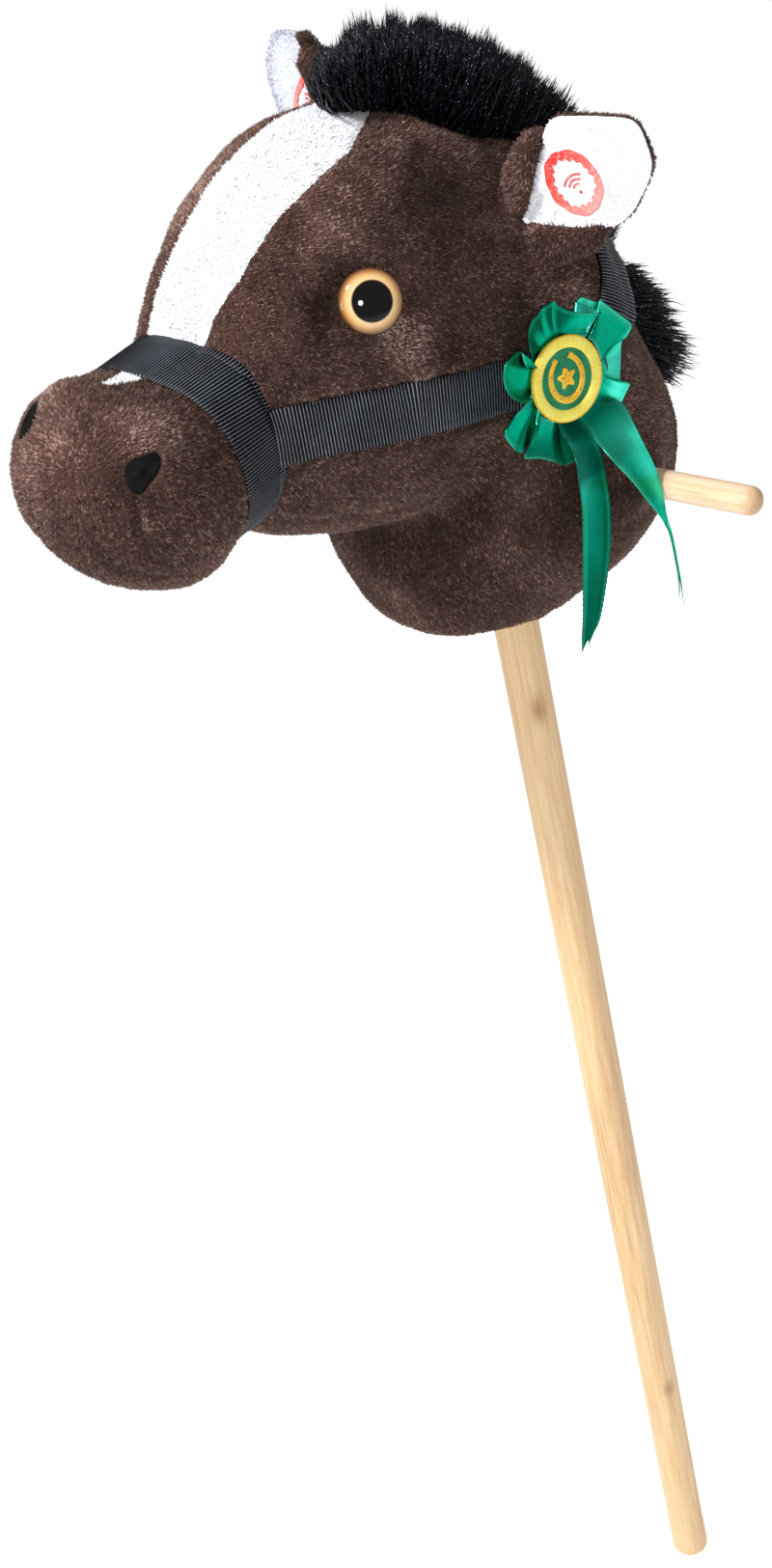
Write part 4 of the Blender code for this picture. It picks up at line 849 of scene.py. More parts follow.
def split_mesh(V, T, attrs, s):
    """Cuts the triangles along the line where s is zero. Returns V, T, attrs, side (+1 or -1) per triangle."""
    s = np.where(np.abs(s) < 1e-7, 1e-7, s)
    sg = s > 0
    k = sg[T].sum(1)
    plain = (k == 0) | (k == 3)
    out_T = [T[plain]]
    out_side = [np.where(k[plain] == 3, 1, -1)]
    M = T[~plain]
    km = k[~plain]
    # rotate so that vertex 0 is the lone one
    lone = np.where((km == 1)[:, None], sg[M], ~sg[M])
    first = lone.argmax(1)
    M = np.stack([M[np.arange(len(M)), (first + r) % 3] for r in range(3)], 1)
    a, b, c = M[:, 0], M[:, 1], M[:, 2]
    keys = {}
    new_pts, new_at = [], {n: [] for n in attrs}
    base = len(V)

    def mid(i, j):
        key = (i, j) if i < j else (j, i)
        if key not in keys:
            u = s[i] / (s[i] - s[j])
            keys[key] = base + len(new_pts)
            new_pts.append(V[i] * (1 - u) + V[j] * u)
            for n in attrs:
                new_at[n].append(attrs[n][i] * (1 - u) + attrs[n][j] * u)
        return keys[key]
    tris, side = [], []
    for i in range(len(M)):
        ab, ac = mid(a[i], b[i]), mid(a[i], c[i])
        sa = 1 if sg[a[i]] else -1
        tris += [(a[i], ab, ac), (ab, b[i], c[i]), (ab, c[i], ac)]
        side += [sa, -sa, -sa]
    if tris:
        out_T.append(np.array(tris))
        out_side.append(np.array(side))
        V = np.concatenate([V, np.array(new_pts)])
        attrs = {n: np.concatenate([attrs[n], np.array(new_at[n])]) for n in attrs}
    return V, np.concatenate(out_T), attrs, np.concatenate(out_side)


# spots of painted light (+) and painted shade (-): pixel, width, amount; among them the shade below the ears, the
# darker band under the brow and a cast shadow on the neck beside the handle bar
PAINTED_LIGHT_SPOTS = [((148, 448), 0.0105, 0.42), ((176, 440), 0.0070, 0.20), ((362, 200), 0.0240, 0.34), ((330, 262), 0.0200, 0.18), ((424, 362), 0.0105, 0.72), ((410, 340), 0.0080, 0.36), ((440, 172), 0.0040, 0.30), ((462, 178), 0.0040, 0.30), ((484, 190), 0.0040, 0.24), ((404, 345), 0.0090, 0.30),
         ((440, 392), 0.0060, 0.24), ((400, 148), 0.0100, 0.20), ((450, 143), 0.0080, 0.22), ((156, 545), 0.0045, 0.26), ((590, 262), 0.0070, -0.22), ((538, 300), 0.0050, -0.26),
         ((525, 568), 0.0100, 0.34), ((570, 590), 0.0100, 0.14), ((484, 160), 0.0110, 0.22), ((690, 430), 0.0090, 0.14), ((90, 500), 0.0160, 0.10), ((205, 560), 0.0120, 0.14),
         ((600, 300), 0.0100, 0.16), ((340, 440), 0.0140, 0.08), ((245, 380), 0.0120, 0.12), ((660, 390), 0.0100, 0.10),
         ((455, 232), 0.0200, -0.24), ((470, 190), 0.0110, -0.24), ((505, 215), 0.0120, -0.18), ((325, 320), 0.0100, -0.30), ((540, 250), 0.0080, -0.20), ((440, 590), 0.0200, -0.24),
         ((600, 505), 0.0150, -0.38), ((650, 515), 0.0100, -0.30), ((500, 300), 0.0140, -0.10), ((470, 540), 0.0160, -0.20), ((360, 590), 0.0120, -0.20), ((60, 430), 0.0100, -0.12),
         ((300, 560), 0.0110, -0.16), ((400, 560), 0.0140, -0.22), ((180, 590), 0.0120, -0.08)]
PAINTED_LIGHT_AT = []
for pix, wide, amount in PAINTED_LIGHT_SPOTS:
    q = hit_pixel(*pix)
    if q is not None:
        PAINTED_LIGHT_AT += [(q, wide, amount), (mirror_np(q), wide, amount)]


def painted_light_and_tone(P):
    """Painted light and shade: lighter where light falls, darker in shade and under cast shadows, plus a little random
    tone.
    """
    out = np.zeros(len(P))
    for q, wide, amount in PAINTED_LIGHT_AT:
        out += amount * np.exp(-((P - q) ** 2).sum(1) / wide ** 2)
    return out + 0.10 * vnoise(P, 45.0, 61) + 0.08 * vnoise(P, 110.0, 62)


attrs = {"blaze": s_blaze, "nose": s_nose, "chin": s_chin, "left": s_left, "base": s_base, "head": on_head}
parts = {}
work = [("", V, T, attrs)]


def cut(work, key, name_pos, name_neg, only=None):
    out = []
    for nm, v, t, at in work:
        if only is not None and nm not in only:
            out.append((nm, v, t, at))
            continue
        v2, t2, at2, side = split_mesh(v, t, at, at[key])
        out.append((name_pos if name_pos else nm, v2, t2[side > 0], at2))
        out.append((name_neg if name_neg else nm, v2, t2[side < 0], at2))
    return out


work = cut(work, "blaze", "blaze", "rest")
work = cut(work, "base", "base", "rest", ("rest",))
work = cut(work, "nose", "muzzle", "rest", ("rest",))
work = cut(work, "chin", "chin", "rest", ("rest",))
work = cut(work, "left", "side_left", "side_right", ("rest",))


def compact(v, t):
    used = np.unique(t)
    idx = np.zeros(len(v), int)
    idx[used] = np.arange(len(used))
    return v[used], idx[t]


PANEL = {
    "blaze": ("forehead_blaze_plush", WHITE_CLOTH, "white_plush", ("forehead_blaze_panel",)),
    "base": ("neck_base_plush", BROWN_CLOTH, "brown_plush", ("neck_base_panel",)),
    "muzzle": ("muzzle_plush", BROWN_CLOTH, "brown_plush", ("muzzle_panel",)),
    "chin": ("chin_plush", BROWN_CLOTH, "brown_plush", ("chin_gusset",)),
    "side_left": ("head_side_plush_left", BROWN_CLOTH, "brown_plush", ("face_panel_left", "neck_panel_left")),
    "side_right": ("head_side_plush_right", BROWN_CLOTH, "brown_plush", ("face_panel_right", "neck_panel_right")),
}
panel_mesh = {}
for nm, v, t, at in work:
    if not len(t):
        continue
    v, t = compact(v, t)
    panel_mesh[nm] = (v, t)
    label, mat, slot, reps = PANEL[nm]
    me = make_mesh(label, v, t)
    # painted light and shade, and random tone, for the plush colour
    float_attr(me, "painted_light_and_tone", painted_light_and_tone(v))
    ob = new_piece(label, me, mat, ROOT, reps)
    sol = ob.modifiers.new("cloth", 'SOLIDIFY')
    sol.thickness = 0.0013
    sol.offset = -1.0
    sol.use_even_offset = False
    apply_modifiers(ob)


# loose fibre fill, a soft body that just fills the skin
fv = relax(V, E, 12, 0.5)
fv = fv - vertex_normals(fv, T) * 0.0045
fill = new_piece("fibre_fill_mass", make_mesh("fibre_fill_mass", fv, T), None, ROOT, ("stuffing",))


# ------------------------------------------------------------------ strands
def sample_surface(v, t, density, rng):
    """Even random points on triangles, with normals. density is per square metre."""
    e1, e2 = v[t[:, 1]] - v[t[:, 0]], v[t[:, 2]] - v[t[:, 0]]
    cr = np.cross(e1, e2)
    area = np.linalg.norm(cr, axis=1) / 2
    n = int(area.sum() * density)
    pick = rng.choice(len(t), n, p=area / area.sum())
    r1, r2 = rng.random(n), rng.random(n)
    fl = r1 + r2 > 1
    r1[fl], r2[fl] = 1 - r1[fl], 1 - r2[fl]
    P = v[t[pick, 0]] + r1[:, None] * e1[pick] + r2[:, None] * e2[pick]
    vn = vertex_normals(v, t)
    M = unit(vn[t[pick, 0]] * (1 - r1 - r2)[:, None] + vn[t[pick, 1]] * r1[:, None] + vn[t[pick, 2]] * r2[:, None])
    return P, M


def clumped(tips, cell, amount, seed):
    """Draw tips towards scattered centres, as short plush bunches."""
    c = np.floor(tips / cell).astype(np.int64)
    j = np.stack([hash01(c[:, 0], c[:, 1], c[:, 2], seed + i) for i in range(3)], 1)
    return tips + ((c + 0.2 + 0.6 * j) * cell - tips) * amount


def pile_mesh(name, P, tips, radius, shade, tone, soft=None, cols=256):
    """One three-sided spike per root."""
    n = len(P)
    d = unit(tips - P)
    ref = np.where(np.abs(d[:, 2:3]) < 0.9, np.array([[0, 0, 1.0]]), np.array([[1.0, 0, 0]]))
    x = unit(np.cross(ref, d))
    y = np.cross(d, x)
    ph = RNG.random(n) * TWO_PI
    W = np.zeros((n, 4, 3))
    for k in range(3):
        a = ph + k * TWO_PI / 3
        W[:, k] = P + (x * np.cos(a)[:, None] + y * np.sin(a)[:, None]) * radius[:, None]
    W[:, 3] = tips
    b = np.arange(n)[:, None] * 4
    F = np.concatenate([b + [0, 1, 3], b + [1, 2, 3], b + [2, 0, 3]], 1).reshape(-1, 3)
    me = make_mesh(name, W.reshape(-1, 3), F)
    float_attr(me, "along", np.tile([0, 0, 0, 1.0], n))
    float_attr(me, "shade", np.repeat(shade, 4))
    # painted light and shade, and random tone, carried to each strand
    float_attr(me, "painted_light_and_tone", np.repeat(tone, 4))
    if soft is not None:
        me.shade_smooth()
        me.normals_split_custom_set_from_vertices(np.repeat(soft, 4, axis=0).astype(np.float32))
    uv = me.uv_layers.new(name="OFBake")
    i = np.arange(n)
    cx, cy = (i % cols) / cols, ((i // cols) % cols) / cols
    w = 1.0 / cols
    tri = np.array([[0.15, 0.15], [0.85, 0.15], [0.5, 0.85]]) * w
    U = np.stack([cx, cy], 1)[:, None, None, :] + tri[None, None, :, :]
    U = np.broadcast_to(U, (n, 3, 3, 2))
    uv.data.foreach_set("uv", np.ascontiguousarray(U, dtype=np.float32).ravel())
    return me


def on_ring(a, y):
    d = Vector((sin(a), 0, cos(a)))
    c = Vector((0, y, 0.880))
    return body_tree.ray_cast(c + d * 0.4, -d)[0]


def crown_middle():
    y1, z1 = CHEEK[-1]
    x1 = body_tree.ray_cast(Vector((0.4, y1, z1)), Vector((-1, 0, 0)))[0].x
    far = mirror_head(Vector((x1, y1, z1)))
    aim = degrees(atan2(far.x, far.z - 0.880))
    a = np.array([aim - 3, aim, aim + 8, -78, -60, 0, 50, 59, 68, 76, 82, 88, 92, 96])
    y = np.array([y1 - 0.006, y1 - 0.001, y1 + 0.014, 0.0330, 0.0400, 0.0360, 0.0399, 0.0314, 0.0232, 0.0204, 0.0170, 0.0100, 0.0045, -0.0010])
    aa = spread(aim - 3, 95, 130)
    yy = np.interp(aa, a, y)
    for _ in range(7):
        yy[1:-1] = 0.5 * yy[1:-1] + 0.25 * (yy[:-2] + yy[2:])
    return [on_ring(radians(q), float(w)) for q, w in zip(aa, yy)]


CROWN_PTS = crown_middle()
CROWN_NP = np.array([tuple(q) for q in CROWN_PTS])


def crown_distance(P):
    out = np.full(len(P), 9.0)
    near = np.nonzero((P[:, 2] > 0.80) & (P[:, 1] > -0.03) & (P[:, 1] < 0.075))[0]
    for i in range(0, len(near), 4000):
        k = near[i:i + 4000]
        out[k] = np.sqrt(((P[k][:, None, :] - CROWN_NP[None]) ** 2).sum(2)).min(1)
    return out


# nostril patches: outline in the photograph's frame for the near one, its mirror for the far one
NOSTRIL_LINE = [(127.5, 491), (129.5, 481), (136, 475), (146, 472), (156, 468), (163, 467), (167.5, 472), (168.5, 481), (165, 490), (159, 498),
                (153, 506), (147, 514), (140, 514.5), (133, 508), (129, 500)]
NOSTRILS = {}
loop = []
for i in range(len(NOSTRIL_LINE)):
    a0, a1 = NOSTRIL_LINE[i], NOSTRIL_LINE[(i + 1) % len(NOSTRIL_LINE)]
    for f in (0.0, 0.25, 0.5, 0.75):
        loop.append((a0[0] + (a1[0] - a0[0]) * f, a0[1] + (a1[1] - a0[1]) * f))
loop = np.array(loop)
for _ in range(3):
    loop = 0.5 * loop + 0.25 * (np.roll(loop, 1, 0) + np.roll(loop, -1, 0))
near_loop = [Vector(hit_pixel(*q)) for q in loop]
near_mid = Vector(hit_pixel(148, 490))
for side in ("left", "right"):
    if side == "left":
        mid_, pts_ = near_mid, near_loop
    else:
        slide = Vector((0.0070, -0.0022, 0.0014))
        mid_ = body_tree.find_nearest(Vector(mirror_head(near_mid)) + slide)[0]
        pts_ = [body_tree.find_nearest(Vector(mirror_head(q)) + slide)[0] for q in near_loop]
    NOSTRILS[side] = (mid_, body_tree.find_nearest(mid_)[1].normalized(), pts_)


# where the pile isn't: under straps, eyes, patches, the bar and the stick
def keep_clear(P, keep):
    for mid_, nrm_, pts_ in NOSTRILS.values():
        ux = Vector((0, 0, 1)).cross(nrm_).normalized()
        uy = nrm_.cross(ux)
        poly = [((q - mid_).dot(ux) * 1.03, (q - mid_).dot(uy) * 1.03) for q in pts_]
        rel = P - np.array(mid_)
        near = np.linalg.norm(rel, axis=1) < 0.016
        keep &= ~(near & inside(poly, np.stack([rel @ np.array(ux), rel @ np.array(uy)], 1)))
    # pressed flat and hidden under the straps
    az_ = np.arctan2(P[:, 0], P[:, 2] - 0.8895)
    off_n = P[:, 1] - (-0.1635 + 0.0060 * np.sin(az_) ** 2 + 0.0025 * (1 - np.cos(az_)) / 2)
    keep &= ~((off_n > -0.0122) & (off_n < 0.0132))
    zc = np.where(P[:, 0] > 0, P[:, 2], mirror_np(P)[:, 2]) - np.interp(P[:, 1], [c_[0] for c_ in CHEEK], [c_[1] for c_ in CHEEK])
    keep &= ~((np.abs(zc) < 0.0116) & (np.abs(P[:, 0]) > 0.024) & (P[:, 1] > -0.1500) & (P[:, 1] < -0.0030))
    keep &= crown_distance(P) > 0.0116
    for side in ("left", "right"):
        at, _ = EYES[side]
        keep &= np.linalg.norm(P - np.array(at), axis=1) > 0.0118
    axis_d = P - np.array([0, 0, HANDLE_Z])
    hd = np.array(HANDLE_DIR)
    off = axis_d - (axis_d @ hd)[:, None] * hd
    keep &= np.linalg.norm(off, axis=1) > HANDLE_R + 0.0004
    keep &= ~((np.linalg.norm(P[:, :2], axis=1) < STICK_R + 0.0006) & (P[:, 2] < 0.76))
    return keep


def flow_of(P, M):
    """The way the pile lies: back and down over the head, down on the neck, with slow wandering."""
    f = np.zeros_like(P)
    f[:, 1] = 0.75
    f[:, 2] = -0.65
    f[:, 0] = np.sign(P[:, 0]) * 0.15
    f += 0.55 * np.stack([vnoise(P, 22.0, 11), vnoise(P, 22.0, 12), vnoise(P, 22.0, 13)], 1)
    f -= (f * M).sum(1)[:, None] * M
    return unit(f)


def grow_pile(name, v, t, mat, density, length, radius, seed, mask=None, lean=0.85, body=ROOT, clump=0.0016, fn=flow_of, soft=0.0, contrast=0.62, tone=None):
    rng = np.random.default_rng(seed)
    P, M = sample_surface(v, t, density, rng)
    keep = keep_clear(P, np.ones(len(P), bool))
    if mask is not None:
        keep &= mask(P, rng)
    P, M = P[keep], M[keep]
    n = len(P)
    f = fn(P, M)
    L = length * (0.75 + 0.5 * rng.random(n))
    tilt = lean * (0.75 + 0.5 * rng.random(n)) * (1 + 0.35 * vnoise(P, 40.0, 21))
    d = unit(M + f * tilt[:, None] + 0.30 * (rng.random((n, 3)) - 0.5))
    raw = P + d * L[:, None]
    cell = np.floor(raw / clump).astype(np.int64)
    lock = hash01(cell[:, 0], cell[:, 1], cell[:, 2], seed + 9)
    tips = clumped(raw, clump, 0.62, seed)
    under = ((tips - P) * M).sum(1)
    tips += M * np.maximum(0.0006 - under, 0)[:, None]
    shade = np.clip(0.5 + contrast * 1.5 * (lock - 0.5) + 0.35 * (rng.random(n) - 0.5), 0, 1)
    sn = unit(M * soft + d * 0.15 + 0.25 * (rng.random((n, 3)) - 0.5)) if soft > 0 else None
    me = pile_mesh(name, P - M * 0.0003, tips, radius * (0.8 + 0.4 * rng.random(n)), shade, (tone or painted_light_and_tone)(P), sn)
    return new_piece(name, me, mat, body, (), smooth=False)


NAP = 0.0014
for nm, cnt in (("muzzle", 1.25), ("side_left", 1.15), ("side_right", 1.0), ("chin", 0.9), ("base", 0.9)):
    v, t = panel_mesh[nm]
    label = PANEL[nm][0].replace("_plush", "_pile")
    if nm in ("side_left", "side_right"):
        # each side in two runs, so that no piece is too large
        ctr = v[t].mean(1)
        for tag, m in (("front", ctr[:, 1] < -0.035), ("rear", ctr[:, 1] >= -0.035)):
            grow_pile(label + "_" + tag, v, t[m], BROWN_PILE, 1.35e6 * cnt, NAP, 0.00036, 100 + len(label) + (tag == "rear"), lean=1.0, clump=0.0013)
    else:
        grow_pile(label, v, t, BROWN_PILE, 1.35e6 * cnt, NAP, 0.00036, 200 + len(label), lean=1.0, clump=0.0013)
v, t = panel_mesh["blaze"]
grow_pile("forehead_blaze_pile", v, t, WHITE_PILE, 2.0e6, 0.0013, 0.00034, 301, soft=1.0, clump=0.0012)


# ------------------------------------------------------------------ surface probes for what is sewn on
def probe(centre, direction, tree=None):
    d = Vector(direction).normalized()
    c = Vector(centre)
    hit = (tree or body_tree).ray_cast(c + d * 0.4, -d)
    return hit[0] if hit[0] is not None else c.copy()


def lifted(centre, direction, lift):
    d = Vector(direction).normalized()
    c = Vector(centre)
    hit = body_tree.ray_cast(c + d * 0.4, -d)
    if hit[0] is None:
        return lift
    return (hit[0] - c).length + lift / max(0.35, abs(d.dot(hit[1])))


# ------------------------------------------------------------------ webbing: ribbed straps as closed strips
def strap(name, path, closed, body=ROOT, replaces=(), mat=None, pitch=0.0015, rib_h=0.00022, thick=0.0012, per=5, nk=9, loose=0.0):
    """path(s) for s in 0..1 gives rows of points across the strap (nk x 3) and their outward directions."""
    coarse = [path(s)[0][nk // 2] for s in spread(0, 1, 220)]
    seg = [(b - a).length for a, b in zip(coarse, coarse[1:])]
    length = sum(seg)
    ribs = max(8, int(round(length / pitch)))
    n = ribs * per
    cum = np.concatenate([[0], np.cumsum(seg)]) / length
    ss = np.interp(np.linspace(0, 1, n + (0 if closed else 1), endpoint=not closed), cum, np.linspace(0, 1, 220))
    # coarse rows first, then fine rows between them, so that slow probing isn't repeated for each rib
    key = np.linspace(0, 1, 161)
    rows, outs = [], []
    for s in key:
        p, o = path(float(s))
        rows.append([tuple(q) for q in p])
        outs.append([tuple(q) for q in o])
    rows, outs = np.array(rows), np.array(outs)
    fine = np.zeros((len(ss), nk, 3))
    fo = np.zeros_like(fine)
    for j in range(nk):
        for c in range(3):
            fine[:, j, c] = np.interp(ss, key, rows[:, j, c])
            fo[:, j, c] = np.interp(ss, key, outs[:, j, c])
    # soften along the strap
    for _ in range(6):
        if closed:
            fine = fine * 0.5 + 0.25 * (np.roll(fine, 1, 0) + np.roll(fine, -1, 0))
        else:
            fine[1:-1] = fine[1:-1] * 0.5 + 0.25 * (fine[:-2] + fine[2:])
    fo = unit(fo)
    ph = (np.arange(len(ss)) % per) / per
    rib = 0.5 - 0.5 * np.cos(TWO_PI * ph)
    edge = np.linspace(-1, 1, nk)
    edge_fall = (1 - 0.75 * np.abs(edge) ** 8)
    up = fine + fo * (rib[:, None, None] * rib_h * edge_fall[None, :, None] + loose)
    dn = fine + fo * (loose - thick)
    m = nk
    V2 = np.concatenate([up.reshape(-1, 3), dn.reshape(-1, 3)])
    F = grid_faces(len(ss), m)
    if closed:
        j = np.arange(m - 1)
        last = (len(ss) - 1) * m
        F = np.concatenate([F, np.stack([last + j, last + j + 1, j + 1, j], 1)])
    o = len(ss) * m
    F2 = o + F[:, ::-1]
    rim = []
    ln = len(ss)
    rng_ = range(ln if closed else ln - 1)
    for i in rng_:
        k2 = (i + 1) % ln
        rim.append((i * m, k2 * m, o + k2 * m, o + i * m))
        rim.append((k2 * m + m - 1, i * m + m - 1, o + i * m + m - 1, o + k2 * m + m - 1))
    if not closed:
        for j in range(m - 1):
            rim.append((j + 1, j, o + j, o + j + 1))
            b = (ln - 1) * m
            rim.append((b + j, b + j + 1, o + b + j + 1, o + b + j))
    F = np.concatenate([F, F2, np.array(rim)])
    # all faces out
    cen = V2[F[:len(F) - len(rim)][: (len(F) - len(rim)) // 2]].mean(1)
    q = F[: (len(F) - len(rim)) // 2]
    nn = np.cross(V2[q[:, 1]] - V2[q[:, 0]], V2[q[:, 2]] - V2[q[:, 0]])
    avg = fo.reshape(-1, 3)[q[:, 0] % (ln * m)]
    if (nn * avg).sum() < 0:
        F = F[:, ::-1]
    me = make_mesh(name, V2, F)
    r = np.repeat(rib, m)
    float_attr(me, "rib", np.concatenate([r, r * 0.3]))
    ob = new_piece(name, me, mat or WEB_MAT, body, replaces)
    return ob, length


LIFT = 0.0010
NBZ = 0.8895


def noseband_y(a):
    return -0.1635 + 0.0060 * sin(a) ** 2 + 0.0025 * (1 - cos(a)) / 2


def ring_path(yfun, zc, lift, nk=9, shift=0.0, width=WEB_W, a0=0.0, a1=TWO_PI, wob=0.0):
    def path(s):
        a = a0 + (a1 - a0) * s
        d = Vector((sin(a), 0, cos(a)))
        yc = yfun(a) + shift + wob * sin(3 * a + 0.7)
        ks = spread(-1, 1, nk)
        rad = [lifted(Vector((0, yc + k * width / 2, zc)), d, lift) for k in ks]
        lo, hi = rad[0], rad[-1]
        pts, outs = [], []
        for i, k in enumerate(ks):
            u = (k + 1) / 2
            r = max(rad[i], lo * (1 - u) + hi * u)
            pts.append(Vector((0, yc + k * width / 2, zc)) + d * r)
            outs.append(d)
        return pts, outs
    return path


strap("noseband_under", ring_path(noseband_y, NBZ, LIFT - 0.0012, shift=0.0030, width=0.0215), True, thick=0.0008)
strap("noseband_webbing", ring_path(noseband_y, NBZ, LIFT - 0.0002, shift=-0.0008, width=0.0235, wob=0.0004), True, replaces=("noseband",), thick=0.0008, mat=NOSE_WEB)


def cheek_path(sign, lift, nk=9):
    ys = [c[0] for c in CHEEK]
    zs = [c[1] for c in CHEEK]

    def path(s):
        y = ys[0] - 0.004 + (ys[-1] - ys[0] + 0.004) * s
        z = float(np.interp(y, ys, zs))
        if sign < 0:
            x0 = probe((0, y, z), (1, 0, 0)).x
            z = mirror_head(Vector((x0, y, z))).z
        ks = spread(-1, 1, nk)
        d = Vector((sign, 0, 0))
        rad = [lifted(Vector((0, y, z + k * WEB_W / 2)), d, lift) for k in ks]
        lo, hi = rad[0], rad[-1]
        pts = []
        for i, k in enumerate(ks):
            u = (k + 1) / 2
            r = max(rad[i], lo * (1 - u) + hi * u)
            pts.append(Vector((sign * r, y, z + k * WEB_W / 2)))
        return pts, [d] * nk
    return path


strap("cheek_webbing_left", cheek_path(1, LIFT), False, replaces=("cheek_strap_left",))
strap("cheek_webbing_right", cheek_path(-1, LIFT), False, replaces=("cheek_strap_right",))


def crown_path(s, nk=9):
    """A band of even width that follows the head's surface on both sides of its middle line."""
    q = s * (len(CROWN_PTS) - 1)
    i = min(int(q), len(CROWN_PTS) - 2)
    c = CROWN_PTS[i].lerp(CROWN_PTS[i + 1], q - i)
    lo, hi = max(0, i - 3), min(len(CROWN_PTS) - 1, i + 4)
    t = (CROWN_PTS[hi] - CROWN_PTS[lo]).normalized()
    d = Vector((c.x, 0, c.z - 0.880)).normalized()
    m = (body_tree.find_nearest(c)[1] + 0.8 * d).normalized()
    across = m.cross(t).normalized()
    if across.y < 0:
        across = -across
    m = t.cross(across)
    if m.dot(d) < 0:
        m = -m
    # pressed into the plush where the rosette sits on it
    sink = 0.0060 * float(smoothstep(0.950, 0.980, s))
    pts = []
    for k in spread(-1, 1, nk):
        o = c + across * (k * WEB_W / 2)
        h = body_tree.ray_cast(o + m * 0.05, -m)
        r = (h[0] - o).dot(m) if h[0] is not None and (h[0] - o).length < 0.02 else 0.0
        pts.append(o + m * (max(-0.0012, r) + LIFT + 0.0010 - sink))
    # the woven band stays flat between its edges
    a_, b_ = pts[0].copy(), pts[-1].copy()
    out = []
    for j, p_ in enumerate(pts):
        u = j / (nk - 1)
        base = a_.lerp(b_, u)
        out.append(p_ if (p_ - base).dot(m) > 0 else base)
    return out, [m] * nk


strap("crown_webbing", crown_path, False, replaces=("crown_strap",))


# ------------------------------------------------------------------ eyes
def mat_eye():
    n = Nodes("amber_eye")
    r = n.attr("ring")            # 0 at the centre of the pupil, 1 at the rim
    a = n.noise(240.0, 3.0, 0.6)
    rr = n.math('ADD', r, n.math('MULTIPLY', n.math('SUBTRACT', a, 0.5), 0.02))
    col = n.ramp(rr, [(0.0, (0.0010, 0.0010, 0.0012)), (0.600, (0.0010, 0.0010, 0.0012)), (0.618, (0.07, 0.035, 0.012)), (0.652, (0.62, 0.44, 0.24)),
                      (0.75, (0.58, 0.38, 0.185)), (0.86, (0.36, 0.195, 0.075)), (0.94, (0.14, 0.062, 0.022)), (1.0, (0.030, 0.014, 0.007))])
    streak = n.noise(60.0, 2.0, 0.5)
    col = n.mix(n.span(streak, 0.35, 0.7, 0.0, 0.35), col, (0.90, 0.62, 0.28), 'MULTIPLY')
    fine = n.noise(2000.0, 1.0, 0.5)
    return n.finish(col, n.span(fine, 0.3, 0.7, 0.045, 0.060), None, Specular_IOR_Level=0.34)


EYE_MAT = mat_eye()
for side in ("left", "right"):
    at, ax = EYES[side]
    z = ax.normalized()
    x = Vector((0, 0, 1)).cross(z).normalized()
    y = z.cross(x)
    seat, R, rise = 0.0027, 0.0130, 0.0088
    lo = seat + 0.0030
    top = seat + rise
    na, nr = 72, 30
    prof = []
    for i in range(nr):
        q = (pi / 2) * (i + 1) / nr
        prof.append((R * sin(q), lo + (top - lo) * cos(q)))
    rad_attr = [min(1.0, p[0] / R) for p in prof]
    prof += [(R * 1.000, lo - 0.0012), (R * 0.97, lo - 0.0020), (R * 0.80, lo - 0.0026)]
    rad_attr += [1.0, 1.0, 1.0]
    VV = [at + z * top]
    ring = [0.0]
    for (r, hgt), ra in zip(prof, rad_attr):
        for j in range(na):
            a = TWO_PI * j / na
            VV.append(at + x * (r * cos(a)) + y * (r * sin(a)) + z * hgt)
            ring.append(ra)
    FF = [(0, 1 + j, 1 + (j + 1) % na) for j in range(na)]
    for i in range(len(prof) - 1):
        for j in range(na):
            kk = (j + 1) % na
            FF.append((1 + i * na + j, 1 + (i + 1) * na + j, 1 + (i + 1) * na + kk, 1 + i * na + kk))
    FF.append(tuple(1 + (len(prof) - 1) * na + j for j in range(na)))
    me = make_mesh("eye_" + side, np.array([tuple(p) for p in VV]), FF)
    float_attr(me, "ring", ring)
    bm = bmesh.new()
    bm.from_mesh(me)
    bmesh.ops.recalc_face_normals(bm, faces=bm.faces)
    bm.to_mesh(me)
    bm.free()
    new_piece("eye_" + side, me, EYE_MAT, ROOT, ("eye_dome_" + side, "eye_disc_" + side))

# ------------------------------------------------------------------ nostrils
for side in ("left", "right"):
    at, nrm, outline = NOSTRILS[side]
    nj = len(outline)
    VV, rings = [], 9
    for k in range(rings):
        f = k / (rings - 1)
        for j in range(nj):
            q = at + (outline[j] - at) * f
            h = body_tree.find_nearest(q)
            a = TWO_PI * j / nj
            dome = 0.0012 * (1 - f ** 6) + 0.00025 * sin(7 * a + 9 * f) * (1 - f) - 0.0006 * exp(-((f - 0.45) / 0.22) ** 2) * (0.5 + 0.5 * sin(3 * a))
            VV.append(h[0] + nrm * (dome - 0.0003))
    FF = grid_faces(rings, nj, True)
    me = make_mesh("nostril_" + side, np.array([tuple(p) for p in VV]), FF)
    bm = bmesh.new()
    bm.from_mesh(me)
    bmesh.ops.remove_doubles(bm, verts=bm.verts, dist=0.00001)
    bmesh.ops.recalc_face_normals(bm, faces=bm.faces)
    bm.to_mesh(me)
    bm.free()
    s = sum(p.normal.dot(nrm) for p in me.polygons)
    if s < 0:
        me.flip_normals()
    ob = new_piece("nostril_" + side, me, FELT, ROOT, ("nostril_patch_" + side,))
    so = ob.modifiers.new("cloth", 'SOLIDIFY')
    so.thickness = 0.0008
    so.offset = -1
    apply_modifiers(ob)

